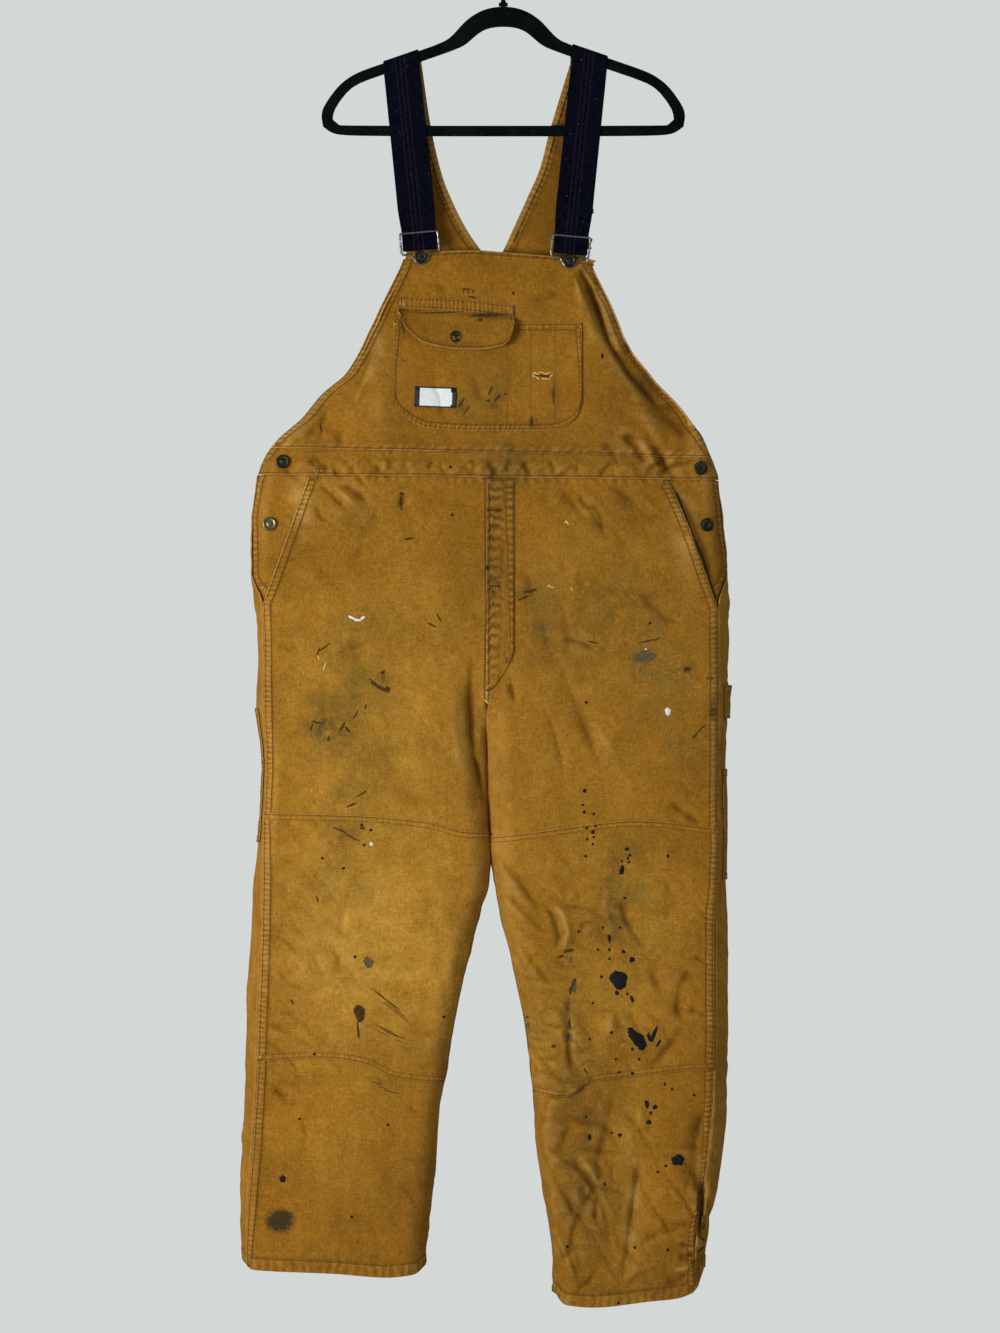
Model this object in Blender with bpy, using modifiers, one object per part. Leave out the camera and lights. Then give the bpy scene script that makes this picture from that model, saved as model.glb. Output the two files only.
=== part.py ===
"""Bib overalls of duck canvas on a clothes hanger.

Metres, +Z up, the front facing -Y. The origin is the inside top of the hanger's hook, where a rail
carries it. Left and right are as seen from the front, so left is -X.

The trousers are two flattened tubes side by side that share one body form. A place on the form is a
station and a height: stations run from the inner edge (0) across the front to the outer edge (3) and
back across the rear to the inner edge again (6). Every cloth piece is a wall between two lifts off
that form, and a piece that lies on another uses the same stations and heights, lifted further out.
"""

import math
from collections import namedtuple

import bmesh
import bpy
from mathutils import Matrix, Vector

# ---------------------------------------------------------------- sizes

CLOTH = 0.0012
SEAM_GAP = 0.0003
LAYER = CLOTH + SEAM_GAP
ELASTIC = 0.0020

INNER_CORNER = 0.030
NARROW_SHARE = 0.35
EDGE_STATION = 0.004
VENT_STATION = 2.95
BACK_EDGE_STATION = 3.02
CROWN = 0.10
CROTCH_Z = -0.975
FORK_TOP_Z = -0.905
LEG_CLEARANCE = 0.0006

WAIST_Z = -0.6455
WAIST_SLOPE = -0.0125
BAND_TOP_Z = -0.6155
BAND_TOP_SLOPE = -0.0235

FRONT_COLUMNS = 12
BIB_STATIONS = (0.0, 1.0, 1.25, 1.5, 1.75, 2.0, 2.25, 2.5, 2.75, VENT_STATION)
BIB_ROWS = 9
BACK_BIB_STATIONS = (BACK_EDGE_STATION, 3.3, 3.65, 4.0, 4.3, 4.6, 5.0, 6.0)
BACK_BIB_ROWS = (6, 8)
BACK_STATIONS = (3.0, 3.3, 3.65, 4.0, 4.2, 4.4, 4.6, 4.8, 5.0, 5.35, 5.7)

WIRE_RADIUS = 0.0013
BAR_RADIUS = 0.0012
BUTTON_RADIUS = 0.0084
BIB_BUTTON_RADIUS = 0.0077

HANGER_DEPTH = 0.0060
HANGER_ROUND = 0.0012
HOOK_WIRE_RADIUS = 0.0016
HOOK_RADIUS = 0.0205
NECK_RADIUS = 0.0055
NECK_TOP_Z = -0.0620

# ---------------------------------------------------------------- the body form

# How deep the form is before and behind its middle plane, where that plane is, how far the outer
# edge turns in (0 is an open sheet, 1 a closed tube), and how wide the turn is.
Depth = namedtuple("Depth", "z front back mid turn corner")
DEPTHS = (
    Depth(-0.130, 0.0105, 0.0048, 0.000, 0.00, 0.010),
    Depth(-0.230, 0.0105, 0.0050, 0.000, 0.00, 0.010),
    Depth(-0.365, 0.0105, 0.0062, 0.000, 0.06, 0.014),
    Depth(-0.405, 0.0106, 0.0070, 0.000, 0.12, 0.016),
    Depth(-0.500, 0.0140, 0.0110, 0.000, 0.25, 0.018),
    Depth(-0.595, 0.0205, 0.0170, -0.001, 0.42, 0.020),
    Depth(-0.660, 0.0245, 0.0210, -0.002, 1.00, 0.022),
    Depth(-0.760, 0.0290, 0.0260, -0.003, 1.00, 0.022),
    Depth(-0.920, 0.0325, 0.0295, -0.004, 1.00, 0.022),
    Depth(-1.130, 0.0305, 0.0275, -0.006, 1.00, 0.022),
    Depth(-1.300, 0.0285, 0.0255, -0.012, 1.00, 0.022),
    Depth(-1.450, 0.0265, 0.0240, -0.004, 1.00, 0.020),
    Depth(-1.560, 0.0250, 0.0225, -0.002, 1.00, 0.020),
    Depth(-1.670, 0.0265, 0.0235, -0.009, 1.00, 0.020),
)

# The outline from the front: the outer edge, the side seam and the inner edge, which is the centre
# line above the fork.
Outline = namedtuple("Outline", "z outer seam inner")
LEFT = (
    Outline(-0.366, -0.1175, -0.1170, -0.0080),
    Outline(-0.380, -0.1222, -0.1215, -0.0080),
    Outline(-0.439, -0.1499, -0.1490, -0.0110),
    Outline(-0.514, -0.1865, -0.1860, -0.0150),
    Outline(-0.549, -0.2245, -0.2240, -0.0165),
    Outline(-0.579, -0.2490, -0.2485, -0.0180),
    Outline(-0.607, -0.2810, -0.2805, -0.0190),
    Outline(-0.630, -0.2935, -0.2932, -0.0195),
    Outline(-0.660, -0.3020, -0.3017, -0.0195),
    Outline(-0.706, -0.3062, -0.3059, -0.0195),
    Outline(-0.762, -0.3070, -0.3060, -0.0192),
    Outline(-0.797, -0.3020, -0.2920, -0.0185),
    Outline(-0.853, -0.2995, -0.2901, -0.0195),
    Outline(-0.922, -0.3017, -0.2901, -0.0205),
    Outline(-0.992, -0.2925, -0.2865, -0.0195),
    Outline(-1.054, -0.2944, -0.2883, -0.0183),
    Outline(-1.110, -0.2998, -0.2895, -0.0165),
    Outline(-1.140, -0.3028, -0.2902, -0.0175),
    Outline(-1.169, -0.3041, -0.2913, -0.0265),
    Outline(-1.213, -0.3060, -0.2926, -0.0390),
    Outline(-1.277, -0.3108, -0.2950, -0.0536),
    Outline(-1.357, -0.3121, -0.2974, -0.0683),
    Outline(-1.414, -0.3145, -0.3011, -0.0774),
    Outline(-1.469, -0.3182, -0.3048, -0.0812),
    Outline(-1.524, -0.3198, -0.3090, -0.0865),
    Outline(-1.590, -0.3172, -0.3120, -0.0935),
    Outline(-1.640, -0.3165, -0.3120, -0.0975),
)
RIGHT = (
    Outline(-0.366, 0.1020, 0.1015, -0.0080),
    Outline(-0.380, 0.1061, 0.1055, -0.0080),
    Outline(-0.439, 0.1335, 0.1330, -0.0110),
    Outline(-0.490, 0.1555, 0.1550, -0.0140),
    Outline(-0.534, 0.1905, 0.1900, -0.0160),
    Outline(-0.560, 0.2140, 0.2135, -0.0170),
    Outline(-0.589, 0.2370, 0.2365, -0.0180),
    Outline(-0.619, 0.2512, 0.2507, -0.0190),
    Outline(-0.660, 0.2620, 0.2617, -0.0195),
    Outline(-0.711, 0.2682, 0.2679, -0.0195),
    Outline(-0.761, 0.2720, 0.2715, -0.0192),
    Outline(-0.800, 0.2743, 0.2606, -0.0185),
    Outline(-0.853, 0.2735, 0.2606, -0.0195),
    Outline(-0.922, 0.2740, 0.2606, -0.0205),
    Outline(-0.992, 0.2716, 0.2606, -0.0195),
    Outline(-1.054, 0.2731, 0.2606, -0.0171),
    Outline(-1.110, 0.2722, 0.2600, -0.0140),
    Outline(-1.140, 0.2716, 0.2590, -0.0110),
    Outline(-1.185, 0.2725, 0.2556, -0.0024),
    Outline(-1.213, 0.2731, 0.2556, 0.0061),
    Outline(-1.253, 0.2731, 0.2556, 0.0146),
    Outline(-1.304, 0.2731, 0.2556, 0.0250),
    Outline(-1.384, 0.2718, 0.2545, 0.0354),
    Outline(-1.459, 0.2678, 0.2490, 0.0421),
    Outline(-1.510, 0.2596, 0.2417, 0.0482),
    Outline(-1.551, 0.2505, 0.2350, 0.0536),
    Outline(-1.597, 0.2470, 0.2330, 0.0585),
    Outline(-1.660, 0.2455, 0.2330, 0.0630),
)

# The upper back: its outer edge, and its V neck, which closes to the centre line at the bottom.
V_BOTTOM_Z = -0.386
BACK_LEFT = (
    Outline(-0.139, -0.1426, -0.1426, -0.0998),
    Outline(-0.213, -0.1350, -0.1350, -0.0890),
    Outline(-0.275, -0.1285, -0.1285, -0.0748),
    Outline(-0.310, -0.1255, -0.1255, -0.0610),
    Outline(-0.341, -0.1225, -0.1225, -0.0451),
    Outline(-0.367, -0.1185, -0.1185, -0.0273),
    Outline(-0.386, -0.1200, -0.1200, -0.0112),
    Outline(-0.439, -0.1425, -0.1425, -0.0122),
    Outline(-0.488, -0.1680, -0.1680, -0.0140),
    Outline(-0.549, -0.2160, -0.2160, -0.0165),
    Outline(-0.600, -0.2700, -0.2700, -0.0185),
    Outline(-0.660, -0.3020, -0.3020, -0.0195),
)
BACK_RIGHT = (
    Outline(-0.139, 0.1243, 0.1243, 0.0817),
    Outline(-0.225, 0.1155, 0.1155, 0.0557),
    Outline(-0.266, 0.1115, 0.1115, 0.0451),
    Outline(-0.303, 0.1075, 0.1075, 0.0293),
    Outline(-0.341, 0.1045, 0.1045, 0.0120),
    Outline(-0.367, 0.1010, 0.1010, 0.0000),
    Outline(-0.386, 0.1020, 0.1020, -0.0112),
    Outline(-0.439, 0.1260, 0.1260, -0.0122),
    Outline(-0.488, 0.1480, 0.1480, -0.0140),
    Outline(-0.549, 0.1970, 0.1970, -0.0165),
    Outline(-0.600, 0.2370, 0.2370, -0.0185),
    Outline(-0.660, 0.2620, 0.2620, -0.0195),
)

# Lines that cross the form, as the height at each place across it.
Across = namedtuple("Across", "x z")
BIB_TOP = (
    Across(-0.1219, -0.3790),
    Across(-0.0756, -0.3693),
    Across(-0.0378, -0.3680),
    Across(0.0085, -0.3711),
    Across(0.0585, -0.3749),
    Across(0.1061, -0.3823),
)
VENT_FOOT = (Across(-0.30, -0.7985), Across(0.26, -0.8040))
KNEE_TOP_LEFT = (
    Across(-0.290, -1.0530),
    Across(-0.180, -1.0556),
    Across(-0.096, -1.0629),
    Across(-0.047, -1.0751),
    Across(-0.018, -1.0765),
)
KNEE_FOOT_LEFT = (
    Across(-0.290, -1.3540),
    Across(-0.221, -1.3506),
    Across(-0.173, -1.3567),
    Across(-0.126, -1.3762),
    Across(-0.072, -1.3815),
)
KNEE_TOP_RIGHT = (
    Across(-0.018, -1.0824),
    Across(0.046, -1.0751),
    Across(0.096, -1.0678),
    Across(0.160, -1.0617),
    Across(0.260, -1.0714),
)
KNEE_FOOT_RIGHT = (
    Across(0.035, -1.3920),
    Across(0.074, -1.3981),
    Across(0.108, -1.3798),
    Across(0.173, -1.3713),
    Across(0.228, -1.3652),
)
HEM_LEFT = (
    Across(-0.317, -1.5990),
    Across(-0.304, -1.6090),
    Across(-0.205, -1.6134),
    Across(-0.141, -1.6181),
    Across(-0.110, -1.6150),
    Across(-0.095, -1.6050),
)
HEM_RIGHT = (
    Across(0.062, -1.6370),
    Across(0.078, -1.6517),
    Across(0.108, -1.6541),
    Across(0.177, -1.6468),
    Across(0.211, -1.6432),
    Across(0.232, -1.6347),
    Across(0.245, -1.6080),
)

# The largest folds: from one end to the other, half width, and height out of the cloth.
Fold = namedtuple("Fold", "x0 z0 x1 z1 width height")
FRONT_FOLDS = (
    Fold(-0.040, -0.885, -0.042, -0.985, 0.009, -0.0045),
    Fold(-0.040, -0.985, -0.024, -1.075, 0.010, -0.0040),
    Fold(0.084, -0.955, 0.134, -1.060, 0.016, -0.0035),
    Fold(0.128, -0.662, 0.190, -0.715, 0.014, -0.0025),
    Fold(-0.225, -0.668, -0.170, -0.700, 0.014, 0.0025),
    Fold(0.125, -0.440, 0.150, -0.540, 0.012, 0.0030),
    Fold(0.150, -0.540, 0.205, -0.600, 0.013, 0.0030),
    Fold(0.045, -1.290, 0.110, -1.350, 0.016, 0.0035),
    Fold(0.095, -1.420, 0.120, -1.600, 0.017, 0.0040),
    Fold(0.165, -1.430, 0.185, -1.600, 0.016, -0.0035),
    Fold(-0.130, -1.450, -0.150, -1.590, 0.018, 0.0030),
    Fold(-0.235, -1.180, -0.215, -1.330, 0.018, 0.0025),
)
BACK_FOLDS = (
    Fold(-0.090, -0.960, -0.190, -1.030, 0.018, -0.0045),
    Fold(0.050, -0.950, 0.150, -1.040, 0.018, -0.0045),
    Fold(-0.120, -1.290, -0.250, -1.320, 0.016, -0.0040),
    Fold(0.090, -1.300, 0.215, -1.340, 0.016, -0.0040),
    Fold(-0.200, -1.420, -0.180, -1.590, 0.018, 0.0035),
    Fold(0.140, -1.430, 0.150, -1.620, 0.018, 0.0035),
    Fold(-0.060, -0.700, -0.080, -0.860, 0.018, -0.0030),
    Fold(0.060, -0.700, 0.075, -0.850, 0.018, -0.0030),
)


def read(rows, across, along, place):
    """The value of one column at a place, on a smooth line through the rows."""
    rows = sorted(rows, key=lambda row: getattr(row, across))
    places = [getattr(row, across) for row in rows]
    values = [getattr(row, along) for row in rows]
    if place <= places[0]:
        return values[0]
    if place >= places[-1]:
        return values[-1]
    after = next(i for i, p in enumerate(places) if p > place)
    steps = [
        (values[i + 1] - values[i]) / (places[i + 1] - places[i])
        for i in range(len(places) - 1)
    ]

    def slope(i):
        """The slope at a row. It is level at a high or low point, so the line never overshoots."""
        if i in (0, len(places) - 1):
            return steps[min(i, len(steps) - 1)]
        before_it, after_it = steps[i - 1], steps[i]
        if before_it * after_it <= 0:
            return 0.0
        return 2 * before_it * after_it / (before_it + after_it)

    start = after - 1
    span = places[after] - places[start]
    t = (place - places[start]) / span
    return (
        values[start] * (1 + 2 * t) * (1 - t) ** 2
        + slope(start) * span * t * (1 - t) ** 2
        + values[after] * t * t * (3 - 2 * t)
        - slope(after) * span * t * t * (1 - t)
    )


def height_of(line, x):
    return read(line, "x", "z", x)


def ease(t):
    """0 to 1, level at both ends."""
    t = min(max(t, 0.0), 1.0)
    return t * t * (3 - 2 * t)


def forked(z):
    """0 where the two legs are still one tube, 1 where each is a tube of its own."""
    return ease((FORK_TOP_Z - z) / (FORK_TOP_Z - CROTCH_Z))


class Section:
    """The form's cut at one height of one side."""

    def __init__(self, outline, z):
        self.forked = forked(z)
        self.side = -1 if outline in (LEFT, BACK_LEFT) else 1
        apart = SEAM_GAP / 2 + self.forked * LEG_CLEARANCE
        above_v = outline in (BACK_LEFT, BACK_RIGHT) and z > V_BOTTOM_Z
        on_centre = outline in (BACK_LEFT, BACK_RIGHT) and not above_v
        self.inner = read(outline, "z", "inner", z)
        if not above_v and not on_centre:
            self.inner += self.side * apart
        self.outer = read(outline, "z", "outer", z)
        self.width = abs(self.outer - self.inner)
        self.turn = read(DEPTHS, "z", "turn", z)
        self.middle = read(DEPTHS, "z", "mid", z)
        self.front = read(DEPTHS, "z", "front", z)
        self.back = read(DEPTHS, "z", "back", z)
        most = NARROW_SHARE * self.width
        self.outer_corner = min(read(DEPTHS, "z", "corner", z), most)
        self.inner_corner = min(INNER_CORNER, most)

    def across(self, station):
        """How far out from the inner edge, and the share of the full depth there."""
        v = station if station <= 3 else 6 - station
        if v <= 1:
            angle = v * math.pi / 2
            out = self.inner_corner * (
                self.forked * (1 - math.cos(angle)) + (1 - self.forked) * v
            )
            return out, 1 - self.forked * (1 - math.sin(angle))
        if v <= 2:
            flat = self.width - self.inner_corner - self.outer_corner
            crown = CROWN * self.turn * math.sin(math.pi * (v - 1))
            return self.inner_corner + flat * (v - 1), 1 + crown
        angle = (3 - v) * math.pi / 2
        out = self.width - self.outer_corner * (1 - math.cos(angle))
        return out, 1 - self.turn * (1 - math.sin(angle))

    def station_at(self, x):
        """The front station at a place across."""
        out = abs(x - self.inner)
        if out <= self.inner_corner:
            return out / self.inner_corner
        flat = self.width - self.inner_corner - self.outer_corner
        if out <= self.inner_corner + flat:
            return 1 + (out - self.inner_corner) / flat
        short = max(self.width - out, 0.0)
        angle = math.acos(1 - min(short / self.outer_corner, 1.0))
        return 3 - angle / (math.pi / 2)


def form_point(outline, station, z):
    section = Section(outline, z)
    out, share = section.across(station)
    depth = -section.front if station <= 3 else section.back
    return Vector((section.inner + section.side * out, section.middle + depth * share, z))


def form_normal(outline, station, z):
    """Straight out of the form."""
    a = form_point(outline, max(station - 0.01, 0.0), z)
    b = form_point(outline, min(station + 0.01, 6.0), z)
    low = form_point(outline, station, z - 0.004)
    high = form_point(outline, station, z + 0.004)
    normal = (b - a).cross(high - low)
    side = -1 if outline in (LEFT, BACK_LEFT) else 1
    return normal.normalized() * side


def fold_height(folds, x, z):
    """How far the folds lift the cloth at a place: each fades out towards its ends."""
    total = 0.0
    for fold in folds:
        along = Vector((fold.x1 - fold.x0, fold.z1 - fold.z0))
        reach = Vector((x - fold.x0, z - fold.z0))
        t = reach.dot(along) / along.length_squared
        if not 0 < t < 1:
            continue
        aside = (reach - along * t).length
        total += (
            fold.height
            * math.sin(math.pi * t)
            * math.exp(-0.5 * (aside / fold.width) ** 2)
        )
    return total


def on_form(outline, station, z, lift):
    """A point at a lift off the form, with its folds."""
    point = form_point(outline, station, z)
    normal = form_normal(outline, station, z)
    folds = FRONT_FOLDS if station <= 3 else BACK_FOLDS
    fold = fold_height(folds, point.x, z) * abs(normal.y)
    return point + normal * lift + Vector((0, math.copysign(1, normal.y) * fold, 0))


def on_front(x, z, lift):
    """A point on the front of the bib or the hips, by its place across."""
    centre = read(LEFT, "z", "inner", z)
    outline = LEFT if x < centre else RIGHT
    return on_form(outline, Section(outline, z).station_at(x), z, lift)


def seam_station(outline, z):
    """The station of the side seam. Above the vent's foot it is the open edge."""
    at_seam = Section(outline, z).station_at(read(outline, "z", "seam", z))
    return min(at_seam, VENT_STATION)


def seam_step(outline, z):
    """What a seam's gap is in stations, at the outer edge."""
    return SEAM_GAP / (Section(outline, z).outer_corner * math.pi / 2)


# ---------------------------------------------------------------- makers


def material(name, colour, roughness, metallic=0.0):
    made = bpy.data.materials.new(name)
    made.use_nodes = True
    surface = made.node_tree.nodes["Principled BSDF"]
    surface.inputs["Base Color"].default_value = (*colour, 1)
    surface.inputs["Roughness"].default_value = roughness
    surface.inputs["Metallic"].default_value = metallic
    return made


def finish(thing, parts, surface, smooth=True):
    """Puts a made object in the parts' collection, with its own material."""
    for collection in list(thing.users_collection):
        collection.objects.unlink(thing)
    parts.objects.link(thing)
    thing.data.materials.clear()
    own = surface.copy()
    own.name = f"{thing.name}_{surface.name}"
    thing.data.materials.append(own)
    if smooth and thing.type == "MESH":
        thing.data.shade_smooth()
        thing.data.set_sharp_from_angle(angle=math.radians(40))
    thing.parent = bpy.data.objects["overalls_on_hanger"]
    return thing


def net(rows, columns, mirrored):
    """Triangles over a net of rows and columns, facing out of the form."""
    triangles = []
    for i in range(rows):
        for j in range(columns):
            a, b, c, d = (i, j), (i + 1, j), (i + 1, j + 1), (i, j + 1)
            pair = [(a, c, b), (a, d, c)]
            triangles += [t[::-1] for t in pair] if mirrored else pair
    return triangles


def cloth_wall(name, triangles, place, inside, outside, parts, surface):
    """A closed wall between two lifts of one open net, with a rim along the net's border."""
    keys = sorted({key for triangle in triangles for key in triangle})
    shape = bmesh.new()
    outer = {key: shape.verts.new(place(key, outside)) for key in keys}
    inner = {key: shape.verts.new(place(key, inside)) for key in keys}
    edges = set()
    for a, b, c in triangles:
        shape.faces.new((outer[a], outer[b], outer[c]))
        shape.faces.new((inner[c], inner[b], inner[a]))
        edges |= {(a, b), (b, c), (c, a)}
    for a, b in sorted(edges):
        if (b, a) not in edges:
            shape.faces.new((outer[b], outer[a], inner[a], inner[b]))
    mesh = bpy.data.meshes.new(name)
    shape.to_mesh(mesh)
    shape.free()
    made = bpy.data.objects.new(name, mesh)
    bpy.context.scene.collection.objects.link(made)
    return finish(made, parts, surface)


def turned(name, profile, steps, place, direction, parts, surface):
    """A round piece from its half profile, listed from the outer end down, as (radius, height)."""
    mesh = bpy.data.meshes.new(name)
    points = [(radius, 0.0, height) for radius, height in profile]
    mesh.from_pydata(points, [(i, i + 1) for i in range(len(points) - 1)], [])
    made = bpy.data.objects.new(name, mesh)
    bpy.context.scene.collection.objects.link(made)
    screw = made.modifiers.new("turn", "SCREW")
    screw.axis = "Z"
    screw.steps = steps
    screw.render_steps = steps
    screw.use_merge_vertices = True
    screw.merge_threshold = 0.00002
    made.location = place
    made.rotation_euler = Vector((0, 0, 1)).rotation_difference(direction).to_euler()
    return finish(made, parts, surface)


def wire(name, points, radius, closed, parts, surface):
    """A round wire through a row of points."""
    curve = bpy.data.curves.new(name, "CURVE")
    curve.dimensions = "3D"
    curve.bevel_depth = radius
    curve.bevel_resolution = 2
    curve.use_fill_caps = True
    spline = curve.splines.new("POLY")
    spline.points.add(len(points) - 1)
    for point, place in zip(spline.points, points):
        point.co = (*place, 1)
    spline.use_cyclic_u = closed
    made = bpy.data.objects.new(name, curve)
    bpy.context.scene.collection.objects.link(made)
    return finish(made, parts, surface)


def smooth_path(points, steps, closed=False):
    """Points along a smooth curve through the given ones."""
    points = [Vector(point) for point in points]
    count = len(points)
    path = []
    for i in range(count if closed else count - 1):
        p1, p2 = points[i], points[(i + 1) % count]
        p0 = points[i - 1] if i or closed else p1
        p3 = points[(i + 2) % count] if closed or i + 2 < count else p2
        for step in range(steps):
            t = step / steps
            path.append(
                0.5
                * (
                    2 * p1
                    + (p2 - p0) * t
                    + (2 * p0 - 5 * p1 + 4 * p2 - p3) * t * t
                    + (3 * p1 - p0 - 3 * p2 + p3) * t * t * t
                )
            )
    return path if closed else path + [points[-1]]


# ---------------------------------------------------------------- trousers


def waist_height(x):
    return WAIST_Z + WAIST_SLOPE * (x + 0.02)


def band_height(x):
    return BAND_TOP_Z + BAND_TOP_SLOPE * (x + 0.02)


# The lines down a leg: how many rows lie above each, and the line, as a table or a level height.
LegLine = namedtuple("LegLine", "name rows line")
LEG_LEFT = (
    LegLine("waist", 0, None),
    LegLine("vent_foot", 4, VENT_FOOT),
    LegLine("pocket_top", 3, -0.926),
    LegLine("knee_top", 3, KNEE_TOP_LEFT),
    LegLine("pocket_foot", 1, -1.090),
    LegLine("knee_foot", 6, KNEE_FOOT_LEFT),
    LegLine("hem", 6, HEM_LEFT),
)
LEG_RIGHT = (
    LegLine("waist", 0, None),
    LegLine("vent_foot", 4, VENT_FOOT),
    LegLine("loop_top", 2, -0.898),
    LegLine("loop_foot", 1, -0.9385),
    LegLine("pocket_top", 1, -1.000),
    LegLine("knee_top", 2, KNEE_TOP_RIGHT),
    LegLine("pocket_foot", 1, -1.135),
    LegLine("knee_foot", 5, KNEE_FOOT_RIGHT),
    LegLine("hem", 6, HEM_RIGHT),
)


def leg_of(side):
    return LEG_LEFT if side == LEFT else LEG_RIGHT


def row_at(side, name):
    """The row on which a named line lies."""
    names = [line.name for line in leg_of(side)]
    return sum(line.rows for line in leg_of(side)[: names.index(name) + 1])


def line_height(leg_line, x):
    if leg_line.line is None:
        return waist_height(x) - SEAM_GAP / 2
    if isinstance(leg_line.line, float):
        return leg_line.line
    return height_of(leg_line.line, x)


def leg_height(side, row, station_of):
    """The height of a row where it meets a column, as the lines above and below it bend."""
    above = 0
    while row > row_at(side, leg_of(side)[above + 1].name):
        above += 1
    upper, lower = leg_of(side)[above : above + 2]
    share = (row - row_at(side, upper.name)) / lower.rows
    x = -0.02 + (-0.12 if side == LEFT else 0.12)
    for _ in range(4):
        z = line_height(upper, x) * (1 - share) + line_height(lower, x) * share
        x = form_point(side, station_of(z), z).x
    return z


MOUTH_LEFT = (Across(-0.2375, -0.647), Across(-0.2620, -0.715), Across(-0.2915, -0.798))
MOUTH_RIGHT = (Across(0.2000, -0.647), Across(0.2290, -0.715), Across(0.2600, -0.804))


def mouth_station(side, z):
    """Where the slanted pocket mouth cuts the front leg. Below its foot this is the side seam."""
    line = MOUTH_LEFT if side == LEFT else MOUTH_RIGHT
    x = read(line, "z", "x", z)
    at_mouth = Section(side, z).station_at(x)
    return min(at_mouth, seam_station(side, z))


def front_place(side, shifts=None):
    """Where a front leg's net lies: column 0 is the inner edge, the last is the mouth or seam.

    The shifts raise or lower some of its rows, to leave a gap where the net is cut.
    """
    shifts = shifts or {}

    def place(key, lift):
        row, column = key
        share = column / FRONT_COLUMNS

        def station_of(z):
            return EDGE_STATION + (mouth_station(side, z) - EDGE_STATION) * share

        z = leg_height(side, row, station_of) + shifts.get(row, 0.0)
        return on_form(side, station_of(z), z, lift)

    return place


def part_of(triangles, rows, columns):
    """The triangles of a net that lie within a span of rows and of columns."""
    return [
        triangle
        for triangle in triangles
        if all(
            rows[0] <= row <= rows[1] and columns[0] <= column <= columns[1]
            for row, column in triangle
        )
    ]


# A leg panel is cut at the knee's two lines, so that each of its nodes is short enough for its
# collision pieces to follow the thin wall.
LEG_PARTS = (("upper", "waist", "knee_top"), ("knee", "knee_top", "knee_foot"), ("lower", "knee_foot", "hem"))


def leg_panel(name, side, whole, columns, place_with, parts, surface):
    """A leg panel from the waist to the hem, as its upper, knee and lower nodes."""
    for word, top, foot in LEG_PARTS:
        first, last = row_at(side, top), row_at(side, foot)
        shifts = {}
        if top != "waist":
            shifts[first] = -SEAM_GAP / 2
        if foot != "hem":
            shifts[last] = SEAM_GAP / 2
        triangles = part_of(whole, (first, last), (0, columns))
        place = place_with(side, shifts)
        cloth_wall(f"{name}_{word}", triangles, place, -CLOTH, 0.0, parts, surface)


def front_leg(side, word, parts, surface):
    whole = net(row_at(side, "hem"), FRONT_COLUMNS, side == RIGHT)
    leg_panel(f"front_leg_{word}", side, whole, FRONT_COLUMNS, front_place, parts, surface)


def knee_patch(side, word, parts, surface):
    """The doubled knee, on the front leg's own points."""
    rows = (row_at(side, "knee_top"), row_at(side, "knee_foot"))
    whole = net(row_at(side, "hem"), FRONT_COLUMNS, side == RIGHT)
    triangles = part_of(whole, rows, (1, FRONT_COLUMNS))
    cloth_wall(
        f"knee_patch_{word}", triangles, front_place(side), SEAM_GAP, LAYER, parts, surface
    )


def hip_piece(side, word, parts, surface):
    """The side front behind the slanted mouth, out to the vent's edge, one layer under the leg."""
    front = front_place(side)
    under, beyond = 2, 5

    def place(key, lift):
        row, column = key
        if column <= under:
            return front((row, FRONT_COLUMNS - under + column), lift)
        share = (column - under) / beyond

        def station_of(z):
            mouth = mouth_station(side, z)
            edge = max(seam_station(side, z) - 0.04, mouth + 0.012)
            return mouth + (edge - mouth) * share

        z = leg_height(side, row, station_of)
        return on_form(side, station_of(z), z, lift)

    triangles = net(row_at(side, "vent_foot"), under + beyond, side == RIGHT)
    outside = -LAYER
    cloth_wall(f"hip_piece_{word}", triangles, place, outside - CLOTH, outside, parts, surface)


# The columns of a back leg that its pocket and its tool loop span.
POCKET_COLUMNS = (1, 8)
LOOP_COLUMNS = (1, 7)
LOOP_SLACK = 0.005


def back_place(side, shifts=None):
    """Where a back leg's net lies: it starts at the side seam on the front and turns the edge."""
    shifts = shifts or {}

    def place(key, lift):
        row, column = key

        def station_of(z):
            edge = seam_station(side, z) + seam_step(side, z)
            if column == 0:
                return edge
            if column == 1:
                return edge + 0.35 * (BACK_STATIONS[0] - edge)
            if column - 2 < len(BACK_STATIONS):
                return max(BACK_STATIONS[column - 2], edge + 0.01)
            return 6 - EDGE_STATION

        z = leg_height(side, row, station_of) + shifts.get(row, 0.0)
        return on_form(side, station_of(z), z, lift)

    return place


BACK_COLUMNS = len(BACK_STATIONS) + 2


def back_net(side):
    return net(row_at(side, "hem"), BACK_COLUMNS, side == RIGHT)


def back_leg(side, word, parts, surface):
    """A back leg, wrapped round the side on to the front."""
    name = f"back_leg_{word}"
    leg_panel(name, side, back_net(side), BACK_COLUMNS, back_place, parts, surface)


def side_pocket(name, side, parts, surface):
    """A pocket on the back leg's own points, from by the side seam round to the rear."""
    rows = (row_at(side, "pocket_top"), row_at(side, "pocket_foot"))
    triangles = part_of(back_net(side), rows, POCKET_COLUMNS)
    cloth_wall(name, triangles, back_place(side), SEAM_GAP, LAYER, parts, surface)


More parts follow.
